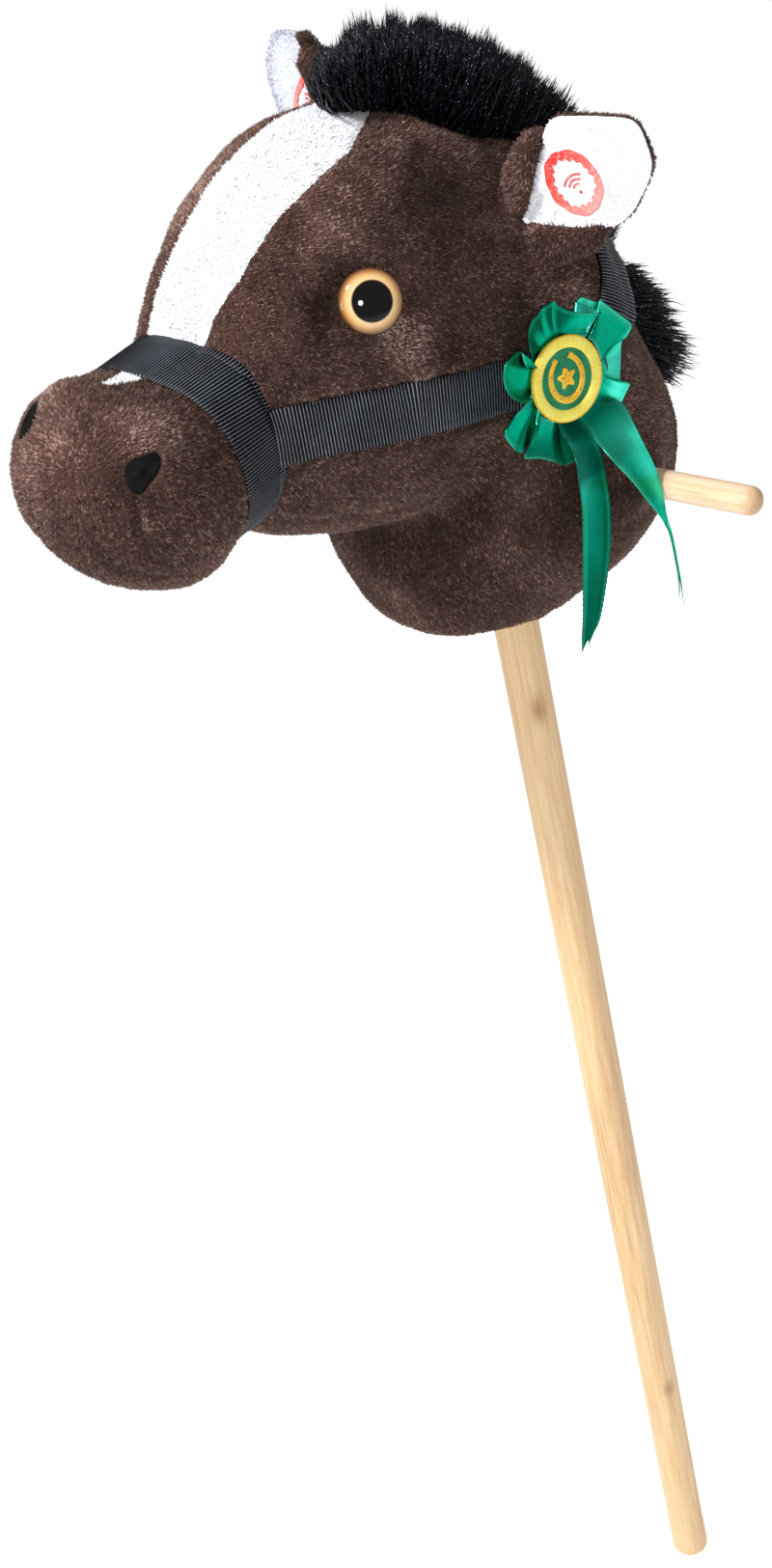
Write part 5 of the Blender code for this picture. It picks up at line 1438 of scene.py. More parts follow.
# ------------------------------------------------------------------ ears
AZ, EL = radians(28), radians(10)
EAR_N = Vector((sin(AZ) * cos(EL), -cos(AZ) * cos(EL), sin(EL)))
EAR_U = Vector((0, 0, 1)).cross(EAR_N).normalized()
EAR_V = EAR_N.cross(EAR_U)
EAR_AT = Vector((0.0665, -0.0146, 0.9306))
FAR_SHIFT = Vector((0.0020, 0.0088, 0.0056))
FAR_TURN, FAR_TILT = radians(15.6), radians(13.2)
LINING = [(13.1, 39.6), (16.7, 42.6), (32.0, 41.5), (47.4, 39.4), (50.8, 36.0), (53.5, 26.0), (54.3, 21.2), (51.7, 14.0),
          (44.5, 3.0), (38.6, -1.5), (23.0, -2.6), (11.0, -0.6), (-2.0, 1.3), (1.4, 9.0), (7.2, 26.3)]
SHELL = [(12.0, 43.5), (17.0, 45.0), (33.0, 44.0), (48.5, 42.0), (53.5, 38.0), (56.3, 27.0), (57.0, 21.0), (54.5, 13.0),
         (46.5, 1.0), (38.3, -5.6), (25.6, -11.6), (10.0, -17.5), (-5.0, 0.0), (-9.0, 20.0), (2.0, 36.0)]
VOICE_UV = (24.5, 17.0)
CUP = 0.0172
NE_ = 120


def outline_at(poly, c, ang):
    d = (cos(ang), sin(ang))
    best = 0.0
    for (x0, y0), (x1, y1) in zip(poly, poly[1:] + poly[:1]):
        ex, ey = x1 - x0, y1 - y0
        det = d[0] * (-ey) + ex * d[1]
        if abs(det) < 1e-12:
            continue
        rx, ry = x0 - c[0], y0 - c[1]
        t_ = (rx * (-ey) + ex * ry) / det
        s_ = (d[0] * ry - d[1] * rx) / det
        if t_ > 0 and -1e-6 <= s_ <= 1 + 1e-6:
            best = max(best, t_)
    return best


def radii(poly, c, n, soft):
    raw = np.array([outline_at(poly, c, TWO_PI * j / n) for j in range(n)])
    for _ in range(soft):
        raw = (np.roll(raw, 1) + 2 * raw + np.roll(raw, -1)) / 4
    return raw


PRINT_UV, PRINT_A, PRINT_B, PRINT_TURN = (21.7, 16.4), 14.2, 10.6, radians(122)


def mat_print():
    n = Nodes("ear_print")
    tone = n.attr("tone")
    cloth = n.noise(900.0, 2.0, 0.6)
    fade = n.noise(120.0, 3.0, 0.6)
    v = n.math('ADD', n.math('MULTIPLY', tone, 0.8), n.math('MULTIPLY', fade, 0.25))
    red = n.ramp(v, [(0.12, (0.80, 0.022, 0.018)), (0.55, (0.84, 0.085, 0.070)), (0.95, (0.86, 0.24, 0.22))])
    col = n.mix(n.span(cloth, 0.50, 0.80, 0.0, 0.5), red, (0.90, 0.62, 0.60))
    return n.finish(col, 0.85, n.bump(cloth, 0.3, 0.0006), Sheen_Weight=0.2, Sheen_Roughness=0.4, Specular_IOR_Level=0.2)


PRINT_MAT = mat_print()


def ear(side):
    if side == "left":
        P, U, W, NN = EAR_AT, EAR_U, EAR_V, EAR_N
    else:
        P = mirror_head(EAR_AT) + FAR_SHIFT
        U, W, NN = (mirror_head(w, True) for w in (EAR_U, EAR_V, EAR_N))
        turn = Matrix.Rotation(FAR_TURN, 3, W)
        U, NN = turn @ U, turn @ NN
        tilt = Matrix.Rotation(FAR_TILT, 3, NN)
        U, W = tilt @ U, tilt @ W
    print_uv = PRINT_UV if side == "left" else (PRINT_UV[0], PRINT_UV[1] - 3.5)
    Pn, Un, Wn, Nn = (np.array(q) for q in (P, U, W, NN))

    def at(u, v, n):
        u, v, n = np.broadcast_arrays(np.asarray(u, float), np.asarray(v, float), np.asarray(n, float))
        return Pn + Un * (u[..., None] * 0.001) + Wn * (v[..., None] * 0.001) + Nn * n[..., None]

    c = VOICE_UV
    rl = radii(LINING, c, NE_, 3)
    rsh = radii(SHELL, c, NE_, 4)
    th = np.arange(NE_) * TWO_PI / NE_
    cs, sn = np.cos(th), np.sin(th)
    # brown shows round the white only where the shell is much larger than the lining
    lip = np.clip(rsh - rl, 0, None)
    big = smoothstep(3.8, 8.5, lip)
    ro = (rl + 0.1) * (1 - big) + rsh * big
    over = (ro - rl) * big
    wav = (0.35 * np.sin(5 * th + 1) + 0.25 * np.sin(9 * th + 2)) * big

    def mix(x, y):
        return x * (1 - big) + y * big

    def ring(r, n):
        return at(c[0] + r * cs, c[1] + r * sn, n)
    lip_w = np.zeros(NE_)
    rise, fall = np.zeros(NE_), np.ones(NE_)
    if side == "right":
        lip_w = np.interp(np.degrees(th), [74, 92, 108, 190, 214], [0, 0.55, 1, 1, 0])
        rise = np.interp(np.degrees(th), [74, 92, 108, 132, 158, 190, 214], [0, 0.0058, 0.0100, 0.0100, 0.0074, 0.0058, 0])
        fall = 1 - 0.26 * np.interp(np.degrees(th), [40, 70, 118, 150], [0, 1, 1, 0])
    # brown shell: from the lining's edge over the rim and round the back
    rows = [
        ring(rl - mix(1.6, 1.3), mix(-0.0024, 0.0002)),
        ring(rl - mix(1.0, 0.5) - 0.6 * lip_w, mix(-0.0024, 0.0020) + 0.50 * rise),
        ring(rl - mix(0.5, -0.2) + 0.15 * over - 0.8 * lip_w, mix(-0.0023, 0.0029) + 0.85 * rise),
        ring(rl - mix(0.3, 0.0) + 0.45 * over * (1 - 0.7 * lip_w) + 0.2 * lip_w, mix(-0.0022, 0.0031) + 1.0 * rise),
        ring(ro - mix(0.1, 0.0) - 0.22 * over + wav * 0.3 + 1.0 * lip_w * (1 - big), mix(-0.0024, 0.0018) + 0.80 * rise),
        ring(ro + wav * 0.5 + 1.2 * lip_w * (1 - big), mix(-0.0030, -0.0008) + 0.40 * rise),
        ring((ro + mix(0.0, 0.8) + wav * 0.6) * (1 - 0.4 * (1 - fall)), mix(-0.0044, -0.0036) + 0.10 * rise),
        ring((ro * 0.985 + mix(0.2, 0.8) + wav * 0.6) * fall, -0.0068),
        ring((ro * 0.93 + 0.7 + wav * 0.6) * fall, -0.0100),
        ring((ro * 0.84 + 1.2) * fall, -0.0134),
        ring((ro * 0.70 + 1.4) * fall, -0.0160),
        ring(ro * 0.50 + 1.2, -0.0178),
        ring(ro * 0.28 + 0.8, -0.0184),
        ring(ro * 0.08, -0.0186),
    ]
    VV = np.concatenate(rows)
    FF = grid_faces(len(rows), NE_, True)
    name = "ear_back_" + side
    me = make_mesh(name, VV, FF)
    bm = bmesh.new()
    bm.from_mesh(me)
    e = [q for q in bm.edges if len(q.link_faces) == 1 and all((v_.co - Vector(at(c[0], c[1], -0.0186))).length < 0.004 for v_ in q.verts)]
    if e:
        bmesh.ops.holes_fill(bm, edges=e, sides=0)
    bmesh.ops.triangulate(bm, faces=bm.faces[:])
    bmesh.ops.subdivide_edges(bm, edges=[q for q in bm.edges if q.calc_length() > 0.004], cuts=1, use_grid_fill=False)
    bmesh.ops.triangulate(bm, faces=bm.faces[:])
    bmesh.ops.recalc_face_normals(bm, faces=bm.faces)
    bm.to_mesh(me)
    bm.free()
    mid = Vector(at(c[0], c[1], -0.006))
    if sum(p.normal.dot(p.center - mid) for p in me.polygons) < 0:
        me.flip_normals()
    v1, t1 = mesh_arrays(me)
    nn = vertex_normals(v1, t1)
    v1 = v1 + nn * (0.0005 * vnoise(v1, 90.0, 5))[:, None]
    me.vertices.foreach_set("co", v1.astype(np.float32).ravel())
    me.update()
    # painted light and shade, a little darker over the whole ear back
    float_attr(me, "painted_light_and_tone", painted_light_and_tone(v1) - 0.10)
    ob = new_piece(name, me, BROWN_CLOTH, ROOT, ("ear_shell_" + side,))
    so = ob.modifiers.new("cloth", 'SOLIDIFY')
    so.thickness = 0.0012
    so.offset = -1
    so.use_even_offset = False
    apply_modifiers(ob)

    def ear_flow(Pq, M):
        r = Pq - np.array(at(c[0], c[1], 0.0))
        f = -Nn * 0.8 + unit(r) * 0.3 + Wn * -0.25 + 0.4 * np.stack([vnoise(Pq, 60.0, 31), vnoise(Pq, 60.0, 32), vnoise(Pq, 60.0, 33)], 1)
        f = f - (f * M).sum(1)[:, None] * M
        return unit(f)

    def outside(Pq, rng):
        # none where the shell runs into the head, and few under the thin edge of the lining
        q = Pq - Pn
        u, v_, n = q @ Un * 1000 - c[0], q @ Wn * 1000 - c[1], q @ Nn
        a = np.mod(np.arctan2(v_, u), TWO_PI)
        thin = (1 - np.interp(a, np.append(th, TWO_PI), np.append(big, big[0]))) * (1 - np.interp(a, np.append(th, TWO_PI), np.append(lip_w, lip_w[0])))
        keep = ~((thin > 0.5) & (n > -0.0034))
        keep &= ~((thin > 0.5) & (n > -0.0062) & (rng.random(len(Pq)) < 0.35))
        for i in np.nonzero(keep)[0]:
            h = body_tree.find_nearest(Vector(Pq[i]))
            keep[i] = (Vector(Pq[i]) - h[0]).dot(h[1]) > -0.001
        return keep
    grow_pile("ear_pile_" + side, v1, t1, BROWN_PILE, 1.6e6, 0.0016, 0.00034, 410 + len(side), outside, 0.9, ROOT, 0.0014, ear_flow)

    # white lining: dished, with a soft tuck low on the inner side
    edge = rl + 0.25
    nk = 26
    rows = []
    for k_ in range(nk):
        f = 1 - k_ / (nk - 1) * 0.985
        u = c[0] + edge * f * cs
        v_ = c[1] + edge * f * sn
        n = -0.0004 - 0.0014 * (1 - f ** 2)
        n = n + 0.0009 * np.sin(th * 3 + 0.6) * f ** 3 * 0.35
        # tuck
        du, dv = u - 6.0, v_ - 6.5
        along_ = du * 0.45 + dv * 0.89
        across = du * 0.89 - dv * 0.45
        n = n - 0.0022 * np.exp(-(across / 2.3) ** 2) * np.exp(-(along_ / 8.0) ** 2)
        n = n + 0.0012 * np.exp(-((across - 4.2) / 2.8) ** 2) * np.exp(-(along_ / 9.0) ** 2)
        rows.append(at(u, v_, n))
    VV = np.concatenate(rows)
    FF = grid_faces(nk, NE_, True)
    name = "ear_lining_plush_" + side
    me = make_mesh(name, VV, FF)
    bm = bmesh.new()
    bm.from_mesh(me)
    cen = Vector(at(c[0], c[1], -0.0018))
    e = [q for q in bm.edges if len(q.link_faces) == 1 and all((v_.co - cen).length < 0.002 for v_ in q.verts)]
    if e:
        bmesh.ops.holes_fill(bm, edges=e, sides=0)
    bmesh.ops.triangulate(bm, faces=bm.faces[:])
    bmesh.ops.recalc_face_normals(bm, faces=bm.faces)
    bm.to_mesh(me)
    bm.free()
    if sum(p.normal.dot(NN) for p in me.polygons) < 0:
        me.flip_normals()
    v2, t2 = mesh_arrays(me)

    # painted shade: the lining cloth greyer towards its edge, more on the far ear
    def lining_painted_shade_cloth(Pq):
        q = Pq - Pn
        u, v_ = q @ Un * 1000 - c[0], q @ Wn * 1000 - c[1]
        a = np.mod(np.arctan2(v_, u), TWO_PI)
        f = np.hypot(u, v_) / np.interp(a, np.append(th, TWO_PI), np.append(edge, edge[0]))
        return -(0.15 if side == "left" else 0.6) * smoothstep(0.70, 1.0, f)

    lining = bpy.data.objects.new(name, me)
    bpy.context.scene.collection.objects.link(lining)
    me.shade_smooth()
    float_attr(me, "painted_light_and_tone", lining_painted_shade_cloth(v2))
    me.materials.append(WHITE_CLOTH if side == "left" else FAR_CLOTH)
    so = lining.modifiers.new("cloth", 'SOLIDIFY')
    so.thickness = 0.0010
    so.offset = -1
    so.use_even_offset = False
    apply_modifiers(lining)
    lin_tree = tree_from(v2, t2)
    # follow() bakes each piece's transform into its mesh
    b_start = tuple(at(c[0], c[1], -0.0006))
    b_end = tuple(at(c[0], c[1], -0.0016))

    def follow(ob_):
        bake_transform(ob_)
    follow(lining)
    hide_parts("ear_lining_" + side)

    def in_print(Pq):
        q = Pq - Pn
        u, v_ = q @ Un * 1000 - print_uv[0], q @ Wn * 1000 - print_uv[1]
        x, y = u * cos(PRINT_TURN) + v_ * sin(PRINT_TURN), -u * sin(PRINT_TURN) + v_ * cos(PRINT_TURN)
        return np.sqrt((x / PRINT_A) ** 2 + (y / PRINT_B) ** 2)

    def lining_flow(Pq, M):
        r = Pq - np.array(at(c[0], c[1], 0.0))
        f = unit(r) * 0.9 + 0.5 * np.stack([vnoise(Pq, 80.0, 41), vnoise(Pq, 80.0, 42), vnoise(Pq, 80.0, 43)], 1)
        f = f - (f * M).sum(1)[:, None] * M
        return unit(f)

    def lining_painted_shade(Pq):
        # painted shade: greyer at the edge and in the tuck
        q = Pq - Pn
        u, v_ = q @ Un * 1000 - c[0], q @ Wn * 1000 - c[1]
        a = np.mod(np.arctan2(v_, u), TWO_PI)
        f = np.hypot(u, v_) / np.interp(a, np.append(th, TWO_PI), np.append(edge, edge[0]))
        du, dv = u + c[0] - 6.0, v_ + c[1] - 6.5
        al, ac = du * 0.45 + dv * 0.89, du * 0.89 - dv * 0.45
        tuck = np.exp(-(ac / 2.6) ** 2) * np.exp(-(al / 9.0) ** 2)
        k_edge = 0.12 if side == "left" else 0.50
        out = -k_edge * smoothstep(0.72, 1.0, f) - 0.55 * tuck + 0.05 * vnoise(Pq, 110.0, 62)
        return out + (0.0 if side == "left" else 0.06)

    fluff = grow_pile("ear_lining_pile_" + side, v2, t2, WHITE_PILE if side == "left" else FAR_PILE, 1.9e6, 0.0012, 0.00030, 430 + len(side),
              lambda Pq, rng: in_print(Pq) > 0.98 + 0.06 * rng.random(len(Pq)), 0.9, None, 0.0012, lining_flow, soft=1.0, tone=lining_painted_shade)
    follow(fluff)

    # printed mark: an oval ring with a jagged inner edge, and plain curved strokes for sound
    def on_lining(u, v_, lift):
        o = Vector(at(u, v_, 0.02))
        h = lin_tree.ray_cast(o, -NN)
        return (h[0] if h[0] is not None else Vector(at(u, v_, -0.0018))) + NN * lift
    nj, nr = 180, 7
    VV, tone = [], []
    for i in range(nr):
        f = i / (nr - 1)
        for j in range(nj):
            a = TWO_PI * j / nj
            teeth = 17
            ph = (a * teeth / TWO_PI) % 1.0
            jag = abs(ph - 0.5) * 2
            rin = 0.66 + 0.10 * jag + 0.025 * sin(3 * a + 1) + 0.02 * sin(teeth * 0.37 * a)
            rout = 1.0 + 0.012 * sin(5 * a) + 0.010 * sin(11 * a + 2)
            r = rin + (rout - rin) * f
            x, y = PRINT_A * r * cos(a), PRINT_B * r * sin(a)
            u = print_uv[0] + x * cos(PRINT_TURN) - y * sin(PRINT_TURN)
            v_ = print_uv[1] + x * sin(PRINT_TURN) + y * cos(PRINT_TURN)
            VV.append(tuple(on_lining(u, v_, 0.0006)))
            tone.append(0.5 + 0.5 * (0.75 * (u - print_uv[0]) / 12 - 0.55 * (v_ - print_uv[1]) / 12))
    FF = grid_faces(nr, nj, True)
    me = make_mesh("ear_print_" + side, np.array(VV), FF)
    float_attr(me, "tone", np.clip(tone, 0, 1))
    if sum(p.normal.dot(NN) for p in me.polygons) < 0:
        me.flip_normals()
    ob = new_piece("ear_print_" + side, me, PRINT_MAT, None)
    so = ob.modifiers.new("ink", 'SOLIDIFY')
    so.thickness = 0.0003
    so.offset = -1
    apply_modifiers(ob)
    follow(ob)
    # strokes: three arcs and a dot
    VV, FF, tone = [], [], []

    def stroke(pts, w):
        base = len(VV)
        for i, (x, y) in enumerate(pts):
            x2, y2 = pts[min(i + 1, len(pts) - 1)]
            x1, y1 = pts[max(i - 1, 0)]
            dx, dy = x2 - x1, y2 - y1
            L = sqrt(dx * dx + dy * dy) or 1
            nx, ny = -dy / L, dx / L
            for s in (-1, 1):
                X, Y = x + nx * w * s / 2, y + ny * w * s / 2
                u = print_uv[0] + X * cos(PRINT_TURN) - Y * sin(PRINT_TURN)
                v_ = print_uv[1] + X * sin(PRINT_TURN) + Y * cos(PRINT_TURN)
                VV.append(tuple(on_lining(u, v_, 0.0006)))
                tone.append(0.25)
        for i in range(len(pts) - 1):
            b = base + 2 * i
            FF.append((b, b + 1, b + 3, b + 2))
    for r in (2.2, 4.2, 6.2):
        stroke([(r * cos(a) - 3.2, r * sin(a) * 0.92) for a in spread(radians(-48), radians(48), 14)], 0.75)
    stroke([(-4.6, -0.55), (-4.6, 0.0), (-4.6, 0.55)], 1.4)
    me = make_mesh("ear_print_mark_" + side, np.array(VV), np.array(FF))
    float_attr(me, "tone", tone)
    if sum(p.normal.dot(NN) for p in me.polygons) < 0:
        me.flip_normals()
    ob = new_piece("ear_print_mark_" + side, me, PRINT_MAT, None)
    so = ob.modifiers.new("ink", 'SOLIDIFY')
    so.thickness = 0.0003
    so.offset = -1
    apply_modifiers(ob)
    follow(ob)


ear("left")
ear("right")


# ------------------------------------------------------------------ mane
# outer line of the fringe in the photograph's frame, through the tips of its locks
FRINGE = [(331, 104), (329, 80), (333, 54), (346, 50), (352, 62), (362, 36), (375, 13), (384, 40), (396, 34), (407, 8), (414, 36), (428, 22), (445, 14), (456, 30),
          (475, 26), (490, 42), (506, 33), (520, 52), (544, 58), (560, 80), (583, 88), (603, 113), (622, 128), (640, 150), (648, 185), (640, 225), (628, 250), (629, 264),
          (648, 280), (664, 282), (676, 296), (690, 300), (700, 322), (714, 332), (718, 348), (730, 352), (720, 366), (729, 376), (716, 396), (700, 408), (684, 404),
          (640, 380), (560, 320), (470, 240), (380, 160)]


def to_pixels(P):
    v = P - np.array(CAM_AT)
    f = v @ np.array(CAM_F)
    return np.stack([400 + FOCAL * (v @ np.array(CAM_R)) / f, 812.5 - FOCAL * (v @ np.array(CAM_U)) / f], 1)


def within(P, tip, rng, jit):
    """Shortens the locks that would pass the fringe's outer line."""
    jit = jit + (rng.random((len(P), 2)) - 0.5) * 16
    scale = np.ones(len(P))
    done = inside(FRINGE, to_pixels(tip) + jit)
    for k in range(14):
        scale = np.where(done, scale, scale * 0.93)
        t2 = P + (tip - P) * scale[:, None]
        done |= inside(FRINGE, to_pixels(t2) + jit)
    return P + (tip - P) * scale[:, None], done


def mane_strands(name, P, D, L, width, clump_id_cell, bend, seed, droop, segs=5, replaces=()):
    """Tapering three-sided locks that bend and bunch towards shared tips."""
    rng = np.random.default_rng(seed)
    n = len(P)
    tip = P + D * L[:, None] + bend
    # every lock gathers to its own point
    home = np.floor(tip / clump_id_cell).astype(np.int64)
    lock_h = [hash01(home[:, 0], home[:, 1], home[:, 2], seed + i) for i in range(6)]
    tip = P + (tip - P) * (0.80 + 0.26 * lock_h[3])[:, None]
    _, key = np.unique(home, axis=0, return_inverse=True)
    key = key.ravel()
    many = np.bincount(key).astype(float)
    mean = np.stack([np.bincount(key, tip[:, c_]) / many for c_ in range(3)], 1)
    mean += 0.0022 * (np.stack(lock_h[:3], 1)[np.unique(key, return_index=True)[1]] - 0.5)
    pull = (0.30 + 0.45 * rng.random(n))[:, None]
    tip = tip * (1 - pull) + mean[key] * pull
    tip, ok = within(P, tip, rng, np.stack([lock_h[4] - 0.5, lock_h[5] - 0.5], 1) * 14)
    tip[:, 1] = np.minimum(tip[:, 1], 0.1275)
    P, D, L, width, tip = P[ok], D[ok], L[ok], width[ok], tip[ok]
    L = np.linalg.norm(tip - P, axis=1)
    n = len(P)
    u = np.linspace(0, 1, segs + 1)
    ctrl = P + D * (L * 0.55)[:, None]
    x = unit(np.cross(D, np.array([[0.3, 0.5, 0.81]])))
    rings = []
    wob = (rng.random((n, 3)) - 0.5) * 0.004
    ph = rng.random(n) * TWO_PI
    for i, s in enumerate(u):
        c = P * (1 - s) ** 2 + ctrl * 2 * s * (1 - s) + tip * s ** 2 + wob * (sin(s * pi))
        y = unit(np.cross(D, x))
        w = width * (1 - s) ** 0.60 * (1.0 if i else 0.9)
        if i == segs:
            rings.append(c[:, None, :])
        else:
            tri = []
            for k_ in range(3):
                a = ph + k_ * TWO_PI / 3
                tri.append(c + (x * np.cos(a)[:, None] + y * np.sin(a)[:, None]) * w[:, None])
            rings.append(np.stack(tri, 1))
    W = np.concatenate(rings, 1)                    # n, 3*segs+1, 3
    m = 3 * segs + 1
    tris = []
    for i in range(segs - 1):
        for k_ in range(3):
            a0, a1 = 3 * i + k_, 3 * i + (k_ + 1) % 3
            b0, b1 = a0 + 3, a1 + 3
            b1 = 3 * (i + 1) + (k_ + 1) % 3
            tris += [(a0, a1, b1), (a0, b1, b0)]
    for k_ in range(3):
        tris.append((3 * (segs - 1) + k_, 3 * (segs - 1) + (k_ + 1) % 3, 3 * segs))
    F = (np.arange(n)[:, None, None] * m + np.array(tris)[None]).reshape(-1, 3)
    me = make_mesh(name, W.reshape(-1, 3), F)
    shade = np.clip(rng.random(n) * 0.9, 0, 1)
    float_attr(me, "shade", np.repeat(shade, m))
    uv = me.uv_layers.new(name="OFBake")
    cols = 128
    i = np.arange(n)
    cell = np.stack([(i % cols) / cols, ((i // cols) % cols) / cols], 1)
    loc = []
    for tq in tris:
        for q in tq:
            r, k_ = (q // 3, q % 3) if q < 3 * segs else (segs, 1)
            loc.append((0.15 + 0.35 * k_, 0.1 + 0.8 * r / segs))
    Uv = cell[:, None, :] + np.array(loc)[None] / cols
    uv.data.foreach_set("uv", np.ascontiguousarray(Uv, dtype=np.float32).ravel())
    return new_piece(name, me, MANE_MAT, ROOT, replaces, smooth=False)


MANE_C = np.array([0, -0.005, 0.872])


def mane_roots(degs, halves, count, rng, spread_x=1.0):
    """Random roots over a strip of the crest: angle about MANE_C, and place across."""
    lo, hi = degs
    A = lo + (hi - lo) * rng.random(count)
    u = np.clip(rng.normal(0, 0.55, count), -1, 1)
    half = np.interp(A, [h[0] for h in halves], [h[1] for h in halves])
    P, Nn, keep = [], [], []
    for a, uu, hw in zip(A, u, half):
        d = Vector((0, cos(radians(a)), sin(radians(a))))
        c = Vector((uu * hw, MANE_C[1], MANE_C[2]))
        h = body_tree.ray_cast(c + d * 0.4, -d)
        if h[0] is None:
            keep.append(False)
            P.append((0, 0, 0))
            Nn.append((0, 0, 1))
            continue
        keep.append(True)
        P.append(tuple(h[0]))
        Nn.append(tuple(h[1]))
    keep = np.array(keep)
    return np.array(P)[keep], np.array(Nn)[keep], A[keep], u[keep]


def build_mane(name, degs, halves, tall, lean_pts, count, seed, replaces):
    rng = np.random.default_rng(seed)
    P, M, A, u = mane_roots(degs, halves, count, rng)
    n = len(P)
    rad = np.stack([np.zeros(n), np.cos(np.radians(A)), np.sin(np.radians(A))], 1)
    side = np.zeros((n, 3))
    side[:, 0] = u
    lean = np.interp(A, [q[0] for q in lean_pts], [q[1] for q in lean_pts])     # how far back the fringe leans
    back = np.stack([np.zeros(n), np.sin(np.radians(A)), -np.cos(np.radians(A))], 1)
    D = unit(rad * 0.9 + M * 0.25 + side * 0.42 + back * lean[:, None] + 0.62 * (rng.random((n, 3)) - 0.5))
    L = np.interp(A, [q[0] for q in tall], [q[1] for q in tall]) * (0.72 + 0.38 * rng.random(n)) * (1 - 0.18 * np.abs(u))
    lock = np.floor(P / 0.011).astype(np.int64)
    L *= 0.84 + 0.30 * hash01(lock[:, 0], lock[:, 1], lock[:, 2], seed)
    # none through the crown strap
    gap = crown_distance(P) > 0.0132
    P, M, A, u, D, L, back = P[gap], M[gap], A[gap], u[gap], D[gap], L[gap], back[gap]
    n = len(P)
    # stay clear of the crown strap and inside the frame's box
    bend = back * (L * 0.10)[:, None] * (rng.random(n)[:, None] + 0.2)
    w = 0.00080 * (0.70 + 0.5 * rng.random(n))
    return mane_strands(name, P - M * 0.001, D, L, w, 0.0044, bend, seed, 0.0, 4, replaces)


FRONT_HALF = [(79, 0.040), (90, 0.037), (98, 0.031), (104, 0.022), (111, 0.013), (114, 0.010)]
build_mane("mane_fringe_front", (78, 113), FRONT_HALF, [(78, 0.048), (86, 0.052), (96, 0.056), (104, 0.056), (113, 0.048)],
           [(78, 0.10), (95, 0.0), (104, -0.20), (113, -0.45)], 9200, 51, ("mane_front",))
build_mane("mane_fringe_mid", (30, 79), [(30, 0.036), (60, 0.043), (79, 0.041)], [(30, 0.044), (60, 0.046), (79, 0.048)],
           [(30, 0.0), (79, 0.12)], 9000, 52, ())
build_mane("mane_fringe_back", (-34, 30), [(-34, 0.028), (-15, 0.040), (10, 0.042), (30, 0.038)], [(-34, 0.040), (-24, 0.056), (-8, 0.058), (8, 0.050), (30, 0.042)],
           [(-34, 0.25), (0, 0.05), (30, -0.05)], 9200, 53, ("mane_back",))


# ------------------------------------------------------------------ stick and handle bar
def turned_rod(name, prof, steps, mat, replaces, matrix, knots=(), grime=None, seed=3):
    """prof is (distance along, radius). A dowel that is very slightly out of round."""
    n = len(prof)
    th = np.arange(steps) * TWO_PI / steps
    rows = []
    for z, r in prof:
        rr = r * (1 + 0.004 * np.sin(2 * th + z * 9) + 0.003 * np.sin(3 * th + z * 23 + 1))
        rows.append(np.stack([rr * np.cos(th), rr * np.sin(th), np.full(steps, z)], 1))
    Vr = np.concatenate(rows)
    F = [tuple(f) for f in grid_faces(n, steps, True)]
    F.append(tuple(range(steps)))
    F.append(tuple(range((n - 1) * steps, n * steps)))
    M = np.array(matrix)
    Vw = Vr @ M[:3, :3].T + M[:3, 3]
    me = make_mesh(name, Vw, F)
    bm = bmesh.new()
    bm.from_mesh(me)
    bmesh.ops.recalc_face_normals(bm, faces=bm.faces)
    bm.to_mesh(me)
    bm.free()
    kn = np.zeros(len(Vr))
    for z, a, s in knots:
        p = np.array([0.011 * cos(a), 0.011 * sin(a), z])
        d = (Vr - p) * [1, 1, 0.55]
        kn = np.maximum(kn, np.exp(-(np.linalg.norm(d, axis=1) / s) ** 2) * 0.8)
    float_attr(me, "knot", kn)
    float_attr(me, "grime", grime(Vr) if grime else np.zeros(len(Vr)))
    ob = new_piece(name, me, mat, ROOT, replaces)
    me.set_sharp_from_angle(angle=radians(50))
    return ob


f0 = 0.0045
prof = [(f0 - f0 * cos(a), STICK_R - f0 + f0 * sin(a)) for a in spread(0, pi / 2, 9)]
prof = [(0.0, 0.0010), (0.0, 0.0040)] + prof + [(z, STICK_R) for z in spread(0.0100, STICK_TOP - 0.0012, 240)] + [(STICK_TOP, STICK_R - 0.001)]
cam_side = atan2(CAM_AT.y, CAM_AT.x)
turned_rod("stick_wood", prof, 64, WOOD_STICK, ("stick",), Matrix.Identity(4),
           knots=((0.668, cam_side + 0.25, 0.0042), (0.164, cam_side + 0.45, 0.0035), (0.43, cam_side + 2.5, 0.005), (0.30, cam_side - 1.9, 0.004)),
           grime=lambda q: 0.25 * smoothstep(0.012, 0.0, q[:, 2]))
hx = HANDLE_DIR
hy = Vector((0, 0, 1)).cross(hx)
hm = Matrix((hy, Vector((0, 0, 1)), hx)).transposed().to_4x4()
if hm.to_3x3().determinant() < 0:
    hm = Matrix((-hy, Vector((0, 0, 1)), hx)).transposed().to_4x4()
hm.translation = Vector((0, 0, HANDLE_Z))
er = 0.0055
endp = [(HANDLE_HALF - er + er * sin(a), HANDLE_R - er + er * cos(a)) for a in spread(0, pi / 2, 9)]
prof = [(-z, r) for z, r in reversed(endp)] + [(z, HANDLE_R) for z in spread(-HANDLE_HALF + er + 0.002, HANDLE_HALF - er - 0.002, 90)] + endp
turned_rod("handle_wood", prof, 48, WOOD_BAR, ("handle_bar",), hm,
           grime=lambda q: 0.85 * smoothstep(0.1405, 0.1475, np.abs(q[:, 2])))


# ------------------------------------------------------------------ rosette
RU = Vector((0, 0, 1)).cross(ROSETTE_AXIS).normalized()
RV = ROSETTE_AXIS.cross(RU)


def ros(u, v, n):
    return ROSETTE_AT + RU * (u * 0.001) + RV * (v * 0.001) + ROSETTE_AXIS * (n * 0.001)


